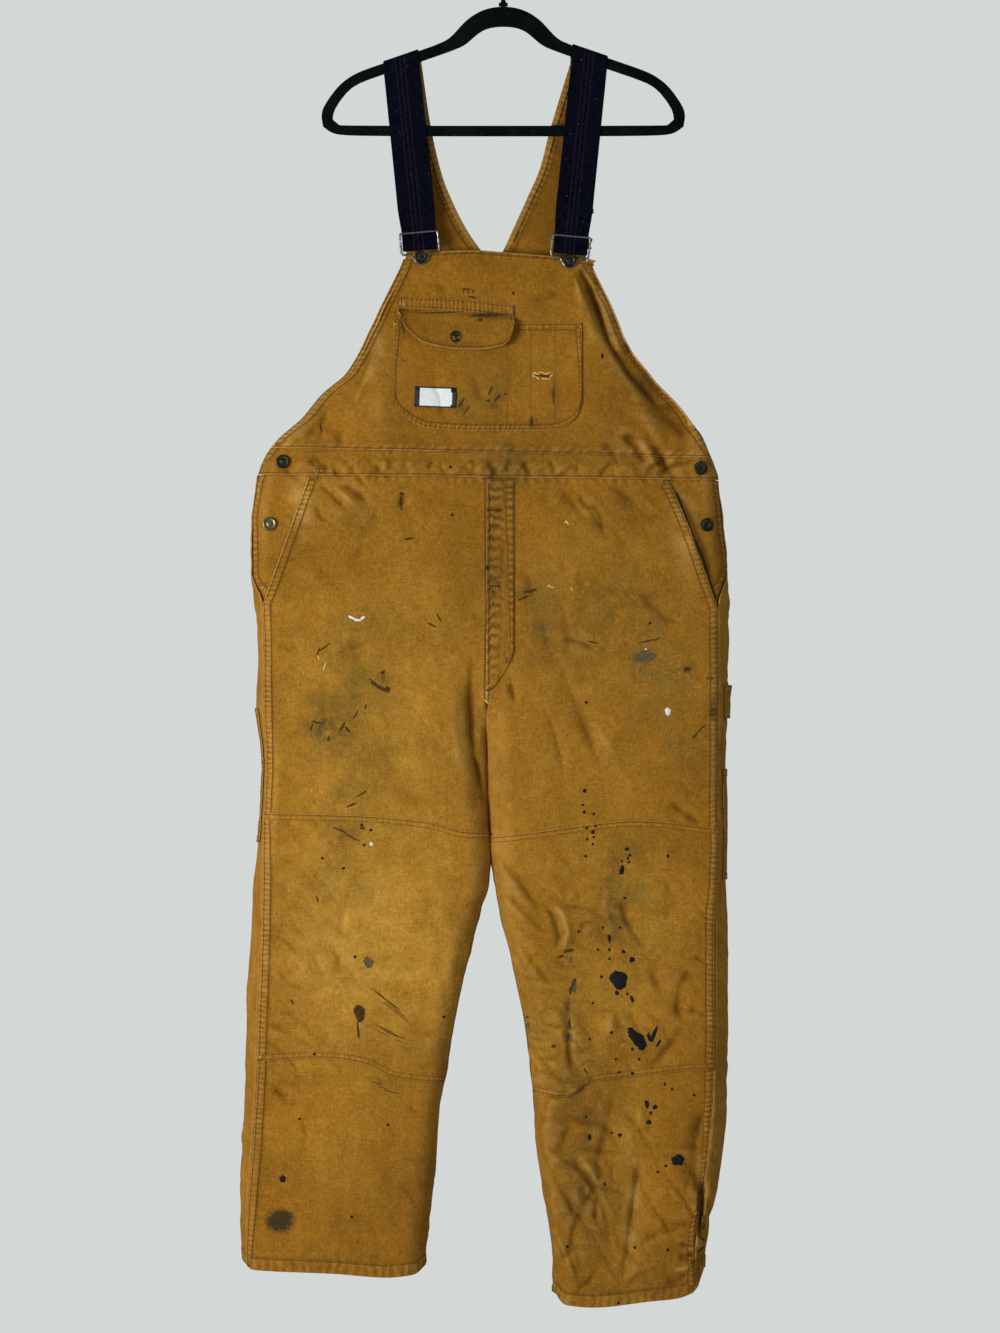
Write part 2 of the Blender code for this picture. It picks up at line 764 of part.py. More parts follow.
def hammer_loop(parts, surface):
    """A strip held at both ends on the right leg's side, standing off it between them."""
    place = back_place(RIGHT)
    low, high = LOOP_COLUMNS

    def bowed(key, lift):
        share = (key[1] - low) / (high - low)
        return place(key, lift + LOOP_SLACK * math.sin(math.pi * share))

    rows = (row_at(RIGHT, "loop_top"), row_at(RIGHT, "loop_foot"))
    triangles = part_of(back_net(RIGHT), rows, LOOP_COLUMNS)
    cloth_wall("hammer_loop", triangles, bowed, SEAM_GAP, LAYER, parts, surface)


# ---------------------------------------------------------------- bib and back


BIB_CENTRE = len(BIB_STATIONS) - 1


def bib_place(top, foot, rows):
    """Where the bib's and the band's nets lie: columns run from edge to edge through the centre."""

    def place(key, lift):
        row, column = key
        side = LEFT if column < BIB_CENTRE else RIGHT
        station = BIB_STATIONS[abs(column - BIB_CENTRE)]
        z = (top(0.0) + foot(0.0)) / 2
        for _ in range(4):
            x = form_point(side, station, z).x
            z = top(x) + (foot(x) - top(x)) * row / rows
        if column == BIB_CENTRE:
            left = on_form(LEFT, 0.0, z, lift)
            return (left + on_form(RIGHT, 0.0, z, lift)) / 2
        return on_form(side, station, z, lift)

    return place


def bib_front(parts, surface):
    place = bib_place(
        lambda x: height_of(BIB_TOP, x), lambda x: band_height(x) + SEAM_GAP / 2, BIB_ROWS
    )
    triangles = net(BIB_ROWS, 2 * BIB_CENTRE, True)
    cloth_wall("bib_front", triangles, place, -CLOTH, 0.0, parts, surface)


def waistband_front(parts, surface):
    place = bib_place(
        lambda x: band_height(x) - SEAM_GAP / 2, lambda x: waist_height(x) + SEAM_GAP / 2, 1
    )
    triangles = net(1, 2 * BIB_CENTRE, True)
    cloth_wall("waistband_front", triangles, place, -CLOTH, 0.0, parts, surface)


BACK_TOP_BELOW_ARM = 0.0105


def back_bib(parts, surface):
    """The upper back. Its two shoulders part along the V and share the centre line below it."""
    v_row, below = BACK_BIB_ROWS
    columns = len(BACK_BIB_STATIONS) - 1

    def place(key, lift):
        side, row, column = key
        outline = BACK_LEFT if side in ("left", "centre") else BACK_RIGHT
        station = BACK_BIB_STATIONS[column]
        z = V_BOTTOM_Z
        for _ in range(4):
            x = form_point(outline, station, z).x
            if row < v_row:
                top = arm_top(abs(x)) - BACK_TOP_BELOW_ARM
                z = top + (V_BOTTOM_Z - top) * row / v_row
            else:
                foot = waist_height(x) + SEAM_GAP / 2
                z = V_BOTTOM_Z + (foot - V_BOTTOM_Z) * (row - v_row) / below
        return on_form(outline, station, z, lift)

    def key_on(side, row, column):
        shared = row >= v_row and column == columns
        return ("centre" if shared else side, row, column)

    triangles = []
    for side, mirrored in (("left", False), ("right", True)):
        for triangle in net(v_row + below, columns, mirrored):
            triangles.append(tuple(key_on(side, row, column) for row, column in triangle))
    cloth_wall("back_bib", triangles, place, -CLOTH, 0.0, parts, surface)


# ---------------------------------------------------------------- what lies on the front


def patch_on_front(name, xs, top, foot, rows, base, parts, surface):
    """A piece on the bib or hips between two lines."""

    def place(key, lift):
        row, column = key
        x = xs[column]
        return on_front(x, top(x) + (foot(x) - top(x)) * row / rows, lift)

    triangles = net(rows, len(xs) - 1, True)
    cloth_wall(name, triangles, place, base, base + CLOTH, parts, surface)


def spread(first, last, count):
    return [first + (last - first) * i / count for i in range(count + 1)]


POCKET_FOOT = (
    Across(-0.1335, -0.5440),
    Across(-0.1290, -0.5600),
    Across(-0.1110, -0.5770),
    Across(-0.0900, -0.5855),
    Across(-0.0305, -0.5887),
    Across(0.0549, -0.5887),
    Across(0.0760, -0.5830),
    Across(0.0900, -0.5710),
    Across(0.0958, -0.5540),
)
FLAP_FOOT = (
    Across(-0.1285, -0.4490),
    Across(-0.1140, -0.4686),
    Across(-0.0939, -0.4826),
    Across(-0.0573, -0.4892),
    Across(-0.0305, -0.4899),
    Across(-0.0030, -0.4863),
    Across(0.0085, -0.4780),
    Across(0.0130, -0.4640),
)
FLAP_RISE = 0.0040
WELT_DEPTH = 0.0134
LABEL_CENTRE = (-0.0828, -0.5478)
LABEL_SIZE = (0.0505, 0.0250)
LABEL_TILT = math.radians(-2.0)


def welt_top(x):
    """The upper edge of the strip over the pocket: level, then falling to the right."""
    return read((Across(-0.13, -0.4250), Across(-0.07, -0.4275), Across(0.014, -0.4351)), "x", "z", x)


def bib_pockets(parts, surface, label_surface):
    """The chest pocket, the strip above it, its flap and a plain label."""
    pocket_xs = [row.x for row in POCKET_FOOT]
    patch_on_front(
        "bib_pocket",
        pocket_xs,
        lambda x: -0.4535 if x < 0.014 else -0.4565,
        lambda x: height_of(POCKET_FOOT, x),
        5,
        SEAM_GAP,
        parts,
        surface,
    )
    welt_xs = spread(-0.1268, 0.0130, 6)
    patch_on_front(
        "pocket_welt",
        welt_xs,
        welt_top,
        lambda x: welt_top(x) - WELT_DEPTH,
        1,
        SEAM_GAP,
        parts,
        surface,
    )

    def flap_place(key, lift):
        row, column = key
        x, foot = FLAP_FOOT[column]
        sewn = welt_top(x) - WELT_DEPTH - SEAM_GAP
        if row == 0:
            return on_front(x, sewn, lift - LAYER)
        over = sewn - FLAP_RISE
        return on_front(x, over + (foot - over) * (row - 1) / 2, lift)

    base = SEAM_GAP + LAYER
    cloth_wall(
        "pocket_flap",
        net(3, len(FLAP_FOOT) - 1, True),
        flap_place,
        base,
        base + CLOTH,
        parts,
        surface,
    )

    def label_place(key, lift):
        row, column = key
        across = (column / 2 - 0.5) * LABEL_SIZE[0]
        up = (0.5 - row) * LABEL_SIZE[1]
        x = LABEL_CENTRE[0] + across * math.cos(LABEL_TILT) - up * math.sin(LABEL_TILT)
        z = LABEL_CENTRE[1] + across * math.sin(LABEL_TILT) + up * math.cos(LABEL_TILT)
        return on_front(x, z, lift)

    cloth_wall(
        "pocket_label", net(1, 2, True), label_place, base, base + 0.0008, parts, label_surface
    )


def fly_placket(parts, surface):
    """The fly's strip from the waist, its foot curving in to the centre seam."""
    foot = (
        Across(-0.0205, -0.9060),
        Across(-0.0140, -0.9020),
        Across(-0.0040, -0.8900),
        Across(0.0060, -0.8740),
        Across(0.0125, -0.8580),
    )
    patch_on_front(
        "fly_placket",
        [row.x for row in foot],
        lambda x: waist_height(x) - SEAM_GAP,
        lambda x: height_of(foot, x),
        6,
        SEAM_GAP,
        parts,
        surface,
    )


# ---------------------------------------------------------------- fastenings

# A tack button's half profile, as shares of its radius and heights above its foot.
BUTTON_PROFILE = ((0.0, 1.0), (0.45, 0.97), (0.85, 0.80), (1.0, 0.55), (0.92, 0.40))
BUTTON_SHANK_SHARE = 0.42


def button(name, x, z, base, radius, shank, shank_radius, parts, surface):
    """A domed button on its shank, standing straight off the cloth."""
    head = 0.0026
    profile = [(share * radius, shank + rise * head) for share, rise in BUTTON_PROFILE]
    profile += [(shank_radius, shank + 0.25 * head), (shank_radius, 0.0), (0.0, 0.0)]
    centre = read(LEFT, "z", "inner", z)
    outline = LEFT if x < centre else RIGHT
    station = Section(outline, z).station_at(x)
    direction = form_normal(outline, station, z)
    place = on_form(outline, station, z, base + SEAM_GAP)
    return turned(name, profile, 14, place, direction, parts, surface)


# Half of a bib buckle's wire, from the middle of its top to the tip of its V, as (across, up) from
# the button's centre.
BUCKLE_HALF = (
    (0.0, 0.0300),
    (0.0200, 0.0300),
    (0.0228, 0.0280),
    (0.0232, 0.0180),
    (0.0228, 0.0070),
    (0.0200, 0.0042),
    (0.0125, 0.0032),
    (0.0088, -0.0010),
    (0.0048, -0.0066),
    (0.0, -0.0086),
)
BUCKLE_BAR_UP = 0.0115
BUCKLE_TILT = math.radians(5.0)
BIB_BUTTON_LEFT = (-0.1006, -0.3765)
BIB_BUTTON_RIGHT = (0.0805, -0.3812)
WIRE_LIFT = SEAM_GAP + WIRE_RADIUS


def buckle_frame(centre, tilt):
    """The buckle's own axes: across, up, and its middle plane."""
    x, z = centre
    y = on_front(x, z, 0.0).y - WIRE_LIFT
    return Matrix.Translation((x, y, z)) @ Matrix.Rotation(tilt, 4, "Y")


def buckle(word, centre, tilt, parts, surface):
    """One bent wire: a frame for the strap, and a V that hooks under the bib's button."""
    frame = buckle_frame(centre, tilt)
    half = list(BUCKLE_HALF)
    loop = half + [(-x, z) for x, z in reversed(half[1:-1])]
    path = smooth_path([(x, 0.0, z) for x, z in loop], 2, closed=True)
    wire(f"buckle_{word}", [frame @ p for p in path], WIRE_RADIUS, True, parts, surface)
    reach = 0.0231 - WIRE_RADIUS - SEAM_GAP
    ends = [frame @ Vector((x, 0.0, BUCKLE_BAR_UP)) for x in (-reach, reach)]
    wire(f"buckle_bar_{word}", ends, BAR_RADIUS, False, parts, surface)


STRAP_TOP_HALF_WIDTH = 0.0215
STRAP_HALF_WIDTH = 0.0225
STRAP_BUCKLE_HALF_WIDTH = 0.0208
STRAP_BACK_END = 0.048


def strap(word, side, centre, tilt, top_x, parts, surface):
    """An elastic strap: from the back's shoulder over the arm, down, and round the buckle's bar."""
    frame = buckle_frame(centre, tilt)
    plane = frame.translation.y
    half = ELASTIC / 2
    clear = SEAM_GAP + half
    bar_z = BUCKLE_BAR_UP
    slope = -side * ARM_SLOPE
    top_z = arm_top(abs(top_x))
    near = HANGER_DEPTH / 2 + clear
    shoulder = read(DEPTHS, "z", "back", top_z - STRAP_BACK_END)
    behind = shoulder + SEAM_GAP + half + 0.0003
    turn = BAR_RADIUS + clear
    passing = WIRE_RADIUS + clear
    # Each row: where its middle is, its half width, and how much of the arm's slope it has.
    rows = [
        (top_x, behind, top_z - STRAP_BACK_END, STRAP_TOP_HALF_WIDTH, 1.0),
        (top_x, behind, top_z - 0.026, STRAP_TOP_HALF_WIDTH, 1.0),
        (top_x, behind, top_z - 0.009, STRAP_TOP_HALF_WIDTH, 1.0),
    ]
    lifted = clear * 1.1 + 0.0001
    bend = HANGER_ROUND + clear
    for step in range(5):
        angle = math.pi / 2 * step / 4
        y = near - bend + bend * math.cos(angle)
        z = top_z - HANGER_ROUND + (HANGER_ROUND + lifted) * math.sin(angle)
        rows.append((top_x, y, z, STRAP_TOP_HALF_WIDTH, 1.0))
    rows += [(x, -y, z, w, lean) for x, y, z, w, lean in reversed(rows[3:])]
    foot = frame @ Vector((0.0, 0.0, 0.034))
    for step in range(9):
        t = step / 8
        x = top_x + (foot.x - top_x) * t
        z = (top_z - 0.004) + (foot.z - top_z + 0.004) * t
        y = -near + (plane + passing + near) * ease((t - 0.45) / 0.55)
        width = STRAP_TOP_HALF_WIDTH + (STRAP_HALF_WIDTH - STRAP_TOP_HALF_WIDTH) * t
        if step == 8:
            width = STRAP_BUCKLE_HALF_WIDTH
        rows.append((x, y, z, width, 1.0 - t))
    width = STRAP_BUCKLE_HALF_WIDTH
    in_buckle = [(0.0270, passing), (0.0215, 0.3 * passing), (0.0165, -0.8 * turn)]
    in_buckle += [
        (bar_z - turn * math.sin(a), -turn * math.cos(a))
        for a in (math.pi * k / 6 for k in range(7))
    ]
    in_buckle += [(0.0165, turn + 0.0002), (0.0240, passing + 0.0026), (0.0380, passing + 0.0030)]
    tilted = math.tan(tilt)
    for up, depth in in_buckle:
        place = frame @ Vector((0.0, depth, up))
        rows.append((place.x, place.y, place.z, width, ("tilt", tilted)))

    points = []
    for x, y, z, half_width, lean in rows:
        rise = lean[1] * -1 if isinstance(lean, tuple) else slope * lean + (1 - lean) * -tilted
        points.append([Vector((x + s * half_width, y, z + s * half_width * rise)) for s in (-1, 1)])
    spine = [(a + b) / 2 for a, b in points]

    def outward(i):
        """Straight out of the strap's face at a row."""
        before, after = spine[max(i - 1, 0)], spine[min(i + 1, len(spine) - 1)]
        return (after - before).cross(points[i][1] - points[i][0]).normalized()

    def place(key, lift):
        row, column = key
        return points[row][column] + outward(row) * lift

    triangles = net(len(points) - 1, 1, True)
    cloth_wall(f"strap_{word}", triangles, place, -half, half, parts, surface)


# ---------------------------------------------------------------- hanger

# Half of the hanger's outline, from the middle of the arch to the middle of the bar.
HANGER_OUTER = (
    (0.0, -0.0698),
    (0.0150, -0.0712),
    (0.0300, -0.0762),
    (0.0450, -0.0862),
    (0.0560, -0.0985),
    (0.0650, -0.1085),
    (0.0770, -0.1155),
    (0.1500, -0.1405),
    (0.1804, -0.1510),
    (0.2011, -0.1655),
    (0.2194, -0.1913),
    (0.2225, -0.2030),
    (0.2200, -0.2165),
    (0.2090, -0.2250),
    (0.1900, -0.2285),
    (0.0, -0.2285),
)
HANGER_INNER = (
    (0.0, -0.0944),
    (0.0150, -0.0955),
    (0.0270, -0.1000),
    (0.0370, -0.1085),
    (0.0470, -0.1175),
    (0.0600, -0.1230),
    (0.0770, -0.1292),
    (0.1500, -0.1542),
    (0.1770, -0.1635),
    (0.1914, -0.1740),
    (0.2075, -0.1970),
    (0.2080, -0.2080),
    (0.2000, -0.2148),
    (0.1850, -0.2155),
    (0.0, -0.2155),
)
ARM_START, ARM_END = HANGER_OUTER[6], HANGER_OUTER[7]
ARM_SLOPE = (ARM_START[1] - ARM_END[1]) / (ARM_END[0] - ARM_START[0])


def arm_top(x):
    """The height of the arm's straight upper edge at a distance from the middle."""
    return ARM_START[1] - ARM_SLOPE * (x - ARM_START[0])


def hanger_frame(parts, surface):
    """A flat frame with rounded edges: a thick arch, two sloped arms and a straight bar."""
    curve = bpy.data.curves.new("hanger_frame", "CURVE")
    curve.dimensions = "2D"
    curve.fill_mode = "BOTH"
    curve.bevel_depth = HANGER_ROUND
    curve.bevel_resolution = 1
    curve.offset = -HANGER_ROUND
    curve.extrude = HANGER_DEPTH / 2 - HANGER_ROUND
    for half in (HANGER_OUTER, HANGER_INNER):
        loop = list(half) + [(-x, z) for x, z in reversed(half[1:-1])]
        path = smooth_path([(x, z, 0.0) for x, z in loop], 1, closed=True)
        spline = curve.splines.new("POLY")
        spline.points.add(len(path) - 1)
        for point, place in zip(spline.points, path):
            point.co = (*place, 1)
        spline.use_cyclic_u = True
    made = bpy.data.objects.new("hanger_frame", curve)
    bpy.context.scene.collection.objects.link(made)
    made.rotation_euler = (math.pi / 2, 0, 0)
    finish(made, parts, surface)


def hanger_hook(parts, surface):
    """A steel wire: a stem from the neck, an easy bend and a round hook open to the left."""
    centre_z = HOOK_WIRE_RADIUS - HOOK_RADIUS
    first, last = math.radians(-48), math.radians(205)
    start = Vector((HOOK_RADIUS * math.cos(first), 0, centre_z + HOOK_RADIUS * math.sin(first)))
    stem = [(0, 0, NECK_TOP_Z + SEAM_GAP), (0, 0, -0.056), (0.0015, 0, -0.0495), (0.0065, 0, -0.0415)]
    path = smooth_path(stem + [start], 2)[:-1]
    for step in range(19):
        angle = first + (last - first) * step / 18
        x = HOOK_RADIUS * math.cos(angle)
        path.append(Vector((x, 0, centre_z + HOOK_RADIUS * math.sin(angle))))
    wire("hanger_hook", path, HOOK_WIRE_RADIUS, False, parts, surface)


def hanger_neck(parts, surface):
    """The collar that the hook turns in."""
    foot = HANGER_OUTER[0][1] + SEAM_GAP
    tall = NECK_TOP_Z - foot
    profile = [
        (0.0, tall),
        (0.0028, tall),
        (0.0032, tall - 0.0030),
        (NECK_RADIUS, tall - 0.0036),
        (NECK_RADIUS, 0.0),
        (0.0, 0.0),
    ]
    turned("hanger_neck", profile, 16, (0, 0, foot), Vector((0, 0, 1)), parts, surface)


# ---------------------------------------------------------------- the whole


def clear_scene():
    for thing in list(bpy.data.objects):
        bpy.data.objects.remove(thing, do_unlink=True)


def main():
    clear_scene()
    parts = bpy.data.collections.new("bib_overalls")
    bpy.context.scene.collection.children.link(parts)
    root = bpy.data.objects.new("overalls_on_hanger", None)
    parts.objects.link(root)

    canvas = material("duck_canvas", (0.31, 0.16, 0.035), 0.9)
    elastic = material("elastic", (0.006, 0.006, 0.014), 0.85)
    label = material("label", (0.75, 0.75, 0.73), 0.7)
    nickel = material("nickel_wire", (0.55, 0.55, 0.54), 0.3, 1.0)
    dark_metal = material("dark_button", (0.035, 0.040, 0.028), 0.4, 1.0)
    brass = material("aged_button", (0.25, 0.22, 0.13), 0.35, 1.0)
    flock = material("flocked_plastic", (0.004, 0.005, 0.005), 0.95)
    chrome = material("chrome_wire", (0.65, 0.65, 0.66), 0.15, 1.0)

    for side, word in ((LEFT, "left"), (RIGHT, "right")):
        front_leg(side, word, parts, canvas)
        back_leg(side, word, parts, canvas)
        knee_patch(side, word, parts, canvas)
        hip_piece(side, word, parts, canvas)
    side_pocket("utility_pocket", LEFT, parts, canvas)
    side_pocket("tool_pocket", RIGHT, parts, canvas)
    hammer_loop(parts, canvas)
    bib_front(parts, canvas)
    waistband_front(parts, canvas)
    back_bib(parts, canvas)
    bib_pockets(parts, canvas, label)
    fly_placket(parts, canvas)

    shank = 2 * WIRE_RADIUS + 2 * SEAM_GAP
    for word, centre, tilt in (
        ("left", BIB_BUTTON_LEFT, -BUCKLE_TILT),
        ("right", BIB_BUTTON_RIGHT, BUCKLE_TILT),
    ):
        x, z = centre
        button(f"bib_button_{word}", x, z, 0.0, BIB_BUTTON_RADIUS, shank, 0.0052, parts, dark_metal)
        buckle(word, centre, tilt, parts, nickel)
    strap("left", -1, BIB_BUTTON_LEFT, -BUCKLE_TILT, -0.1250, parts, elastic)
    strap("right", 1, BIB_BUTTON_RIGHT, BUCKLE_TILT, 0.1060, parts, elastic)
    hip_base = -LAYER - SEAM_GAP
    for name, x, z, base in (
        ("side_button_left_upper", -0.2682, -0.6265, 0.0),
        ("side_button_left_lower", -0.2840, -0.7021, hip_base),
        ("side_button_right_upper", 0.2389, -0.6350, 0.0),
        ("side_button_right_lower", 0.2475, -0.7033, hip_base),
    ):
        small = BUTTON_RADIUS * BUTTON_SHANK_SHARE
        button(name, x, z, base, BUTTON_RADIUS, 0.0010, small, parts, brass)
    flap_base = SEAM_GAP + LAYER + CLOTH
    button("flap_button", -0.0578, -0.4741, flap_base, 0.0074, 0.0008, 0.003, parts, dark_metal)

    hanger_frame(parts, flock)
    hanger_neck(parts, flock)
    hanger_hook(parts, chrome)


main()
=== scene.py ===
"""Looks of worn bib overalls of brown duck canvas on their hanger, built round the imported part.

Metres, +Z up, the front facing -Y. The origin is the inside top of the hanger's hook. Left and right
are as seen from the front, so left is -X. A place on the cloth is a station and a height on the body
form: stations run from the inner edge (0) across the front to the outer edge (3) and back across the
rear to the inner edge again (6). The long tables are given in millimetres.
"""

import math
from collections import namedtuple

import bmesh
import bpy
import numpy as np
from mathutils import Matrix, Vector
from mathutils.bvhtree import BVHTree


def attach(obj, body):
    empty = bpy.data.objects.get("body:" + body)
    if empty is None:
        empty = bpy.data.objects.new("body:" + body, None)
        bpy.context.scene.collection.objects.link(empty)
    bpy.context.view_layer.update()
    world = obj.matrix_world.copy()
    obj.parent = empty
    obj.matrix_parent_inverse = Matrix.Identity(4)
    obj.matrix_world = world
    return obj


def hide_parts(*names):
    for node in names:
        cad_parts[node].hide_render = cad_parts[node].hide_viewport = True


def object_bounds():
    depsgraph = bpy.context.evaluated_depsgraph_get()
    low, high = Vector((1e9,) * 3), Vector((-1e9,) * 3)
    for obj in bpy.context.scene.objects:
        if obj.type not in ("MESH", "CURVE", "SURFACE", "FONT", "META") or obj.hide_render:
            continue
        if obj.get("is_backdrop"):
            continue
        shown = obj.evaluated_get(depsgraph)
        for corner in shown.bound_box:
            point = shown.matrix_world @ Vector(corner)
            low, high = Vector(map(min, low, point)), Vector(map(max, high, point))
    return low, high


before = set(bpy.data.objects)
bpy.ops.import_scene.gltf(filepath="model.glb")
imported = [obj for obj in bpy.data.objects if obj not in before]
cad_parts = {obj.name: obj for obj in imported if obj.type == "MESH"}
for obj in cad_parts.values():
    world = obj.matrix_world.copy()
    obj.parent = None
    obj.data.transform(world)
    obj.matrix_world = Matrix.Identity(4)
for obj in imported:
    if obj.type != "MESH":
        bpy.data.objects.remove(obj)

bl_info = {
    "name": "Worn bib overalls",
    "version": (1, 0, 0),
    "blender": (4, 5, 0),
    "location": "View3D > Sidebar > Overalls",
    "description": "Builds the cloth, thread, paint and fastenings of bib overalls on a hanger",
    "category": "Object",
}

# ---------------------------------------------------------------- the body form

CLOTH = 0.0012
SEAM_GAP = 0.0003
LAYER = CLOTH + SEAM_GAP
INNER_CORNER = 0.030
NARROW_SHARE = 0.35
EDGE_STATION = 0.004
VENT_STATION = 2.95
BACK_EDGE_STATION = 3.02
CROWN = 0.10
CROTCH_Z = -0.975
FORK_TOP_Z = -0.905
LEG_CLEARANCE = 0.0006
V_BOTTOM_Z = -0.386


def metres(values):
    """Numbers in millimetres as an array in metres."""
    return np.array(values, float) / 1000


def table(rows):
    """Rows as an array, lowest first."""
    made = np.array(rows, float)
    return made[np.argsort(made[:, 0])]


# How deep the form is before and behind its middle plane, where that plane is, how far the outer
# edge turns in, and how wide the turn is, each row headed by its height, in metres.
DEPTH = table((
    (-0.13, 0.0105, 0.0048, 0, 0, 0.01), (-0.23, 0.0105, 0.005, 0, 0, 0.01),
    (-0.365, 0.0105, 0.0062, 0, 0.06, 0.014), (-0.405, 0.0106, 0.007, 0, 0.12, 0.016),
    (-0.5, 0.014, 0.011, 0, 0.25, 0.018), (-0.595, 0.0205, 0.017, -0.001, 0.42, 0.02),
    (-0.66, 0.0245, 0.021, -0.002, 1, 0.022), (-0.76, 0.029, 0.026, -0.003, 1, 0.022),
    (-0.92, 0.0325, 0.0295, -0.004, 1, 0.022), (-1.13, 0.0305, 0.0275, -0.006, 1, 0.022),
    (-1.3, 0.0285, 0.0255, -0.012, 1, 0.022), (-1.45, 0.0265, 0.024, -0.004, 1, 0.02),
    (-1.56, 0.025, 0.0225, -0.002, 1, 0.02), (-1.67, 0.0265, 0.0235, -0.009, 1, 0.02),
))

Half = namedtuple("Half", "sign rear rows")
# The outline from the front, each row headed by its height: the outer edge, the side seam and the
# inner edge.
LEFT = Half(-1, False, table(metres((
    (-366, -117.5, -117, -8), (-380, -122.2, -121.5, -8), (-439, -149.9, -149, -11),
    (-514, -186.5, -186, -15), (-549, -224.5, -224, -16.5), (-579, -249, -248.5, -18),
    (-607, -281, -280.5, -19), (-630, -293.5, -293.2, -19.5), (-660, -302, -301.7, -19.5),
    (-706, -306.2, -305.9, -19.5), (-762, -307, -306, -19.2), (-797, -302, -292, -18.5),
    (-853, -299.5, -290.1, -19.5), (-922, -301.7, -290.1, -20.5), (-992, -292.5, -286.5, -19.5),
    (-1054, -294.4, -288.3, -18.3), (-1110, -299.8, -289.5, -16.5), (-1140, -302.8, -290.2, -17.5),
    (-1169, -304.1, -291.3, -26.5), (-1213, -306, -292.6, -39), (-1277, -310.8, -295, -53.6),
    (-1357, -312.1, -297.4, -68.3), (-1414, -314.5, -301.1, -77.4), (-1469, -318.2, -304.8, -81.2),
    (-1524, -319.8, -309, -86.5), (-1590, -317.2, -312, -93.5), (-1640, -316.5, -312, -97.5),
))))
RIGHT = Half(1, False, table(metres((
    (-366, 102, 101.5, -8), (-380, 106.1, 105.5, -8), (-439, 133.5, 133, -11), (-490, 155.5, 155, -14),
    (-534, 190.5, 190, -16), (-560, 214, 213.5, -17), (-589, 237, 236.5, -18), (-619, 251.2, 250.7, -19),
    (-660, 262, 261.7, -19.5), (-711, 268.2, 267.9, -19.5), (-761, 272, 271.5, -19.2),
    (-800, 274.3, 260.6, -18.5), (-853, 273.5, 260.6, -19.5), (-922, 274, 260.6, -20.5),
    (-992, 271.6, 260.6, -19.5), (-1054, 273.1, 260.6, -17.1), (-1110, 272.2, 260, -14),
    (-1140, 271.6, 259, -11), (-1185, 272.5, 255.6, -2.4), (-1213, 273.1, 255.6, 6.1),
    (-1253, 273.1, 255.6, 14.6), (-1304, 273.1, 255.6, 25), (-1384, 271.8, 254.5, 35.4),
    (-1459, 267.8, 249, 42.1), (-1510, 259.6, 241.7, 48.2), (-1551, 250.5, 235, 53.6),
    (-1597, 247, 233, 58.5), (-1660, 245.5, 233, 63),
))))
# The upper back: its outer edge twice, and its V neck, which closes to the centre line at the bottom.
BACK_LEFT = Half(-1, True, table(metres((
    (-139, -142.6, -142.6, -99.8), (-213, -135, -135, -89), (-275, -128.5, -128.5, -74.8),
    (-310, -125.5, -125.5, -61), (-341, -122.5, -122.5, -45.1), (-367, -118.5, -118.5, -27.3),
    (-386, -120, -120, -11.2), (-439, -142.5, -142.5, -12.2), (-488, -168, -168, -14),
    (-549, -216, -216, -16.5), (-600, -270, -270, -18.5), (-660, -302, -302, -19.5),
))))
BACK_RIGHT = Half(1, True, table(metres((
    (-139, 124.3, 124.3, 81.7), (-225, 115.5, 115.5, 55.7), (-266, 111.5, 111.5, 45.1),
    (-303, 107.5, 107.5, 29.3), (-341, 104.5, 104.5, 12), (-367, 101, 101, 0), (-386, 102, 102, -11.2),
    (-439, 126, 126, -12.2), (-488, 148, 148, -14), (-549, 197, 197, -16.5), (-600, 237, 237, -18.5),
    (-660, 262, 262, -19.5),
))))
SIDES = ((LEFT, "left"), (RIGHT, "right"))

# Lines that cross the form, as (across, height).
BIB_TOP = metres((
    (-121.9, -379), (-75.6, -369.3), (-37.8, -368), (8.5, -371.1), (58.5, -374.9), (106.1, -382.3),
))
KNEE_TOP_LEFT = metres((
    (-290, -1053), (-180, -1055.6), (-96, -1062.9), (-47, -1075.1), (-18, -1076.5),
))
KNEE_FOOT_LEFT = metres((
    (-290, -1354), (-221, -1350.6), (-173, -1356.7), (-126, -1376.2), (-72, -1381.5),
))
KNEE_TOP_RIGHT = metres((
    (-18, -1082.4), (46, -1075.1), (96, -1067.8), (160, -1061.7), (260, -1071.4),
))
KNEE_FOOT_RIGHT = metres((
    (35, -1392), (74, -1398.1), (108, -1379.8), (173, -1371.3), (228, -1365.2),
))
HEM_LEFT = metres((
    (-317, -1599), (-304, -1609), (-205, -1613.4), (-141, -1618.1), (-110, -1615), (-95, -1605),
))
HEM_RIGHT = metres((
    (62, -1637), (78, -1651.7), (108, -1654.1), (177, -1646.8), (211, -1643.2), (232, -1634.7),
    (245, -1608),
))
POCKET_FOOT = metres((
    (-133.5, -544), (-129, -560), (-111, -577), (-90, -585.5), (-30.5, -588.7), (54.9, -588.7),
    (76, -583), (90, -571), (95.8, -554),
))
FLAP_FOOT = metres((
    (-128.5, -449), (-114, -468.6), (-93.9, -482.6), (-57.3, -489.2), (-30.5, -489.9), (-3, -486.3),
    (8.5, -478), (13, -464),
))


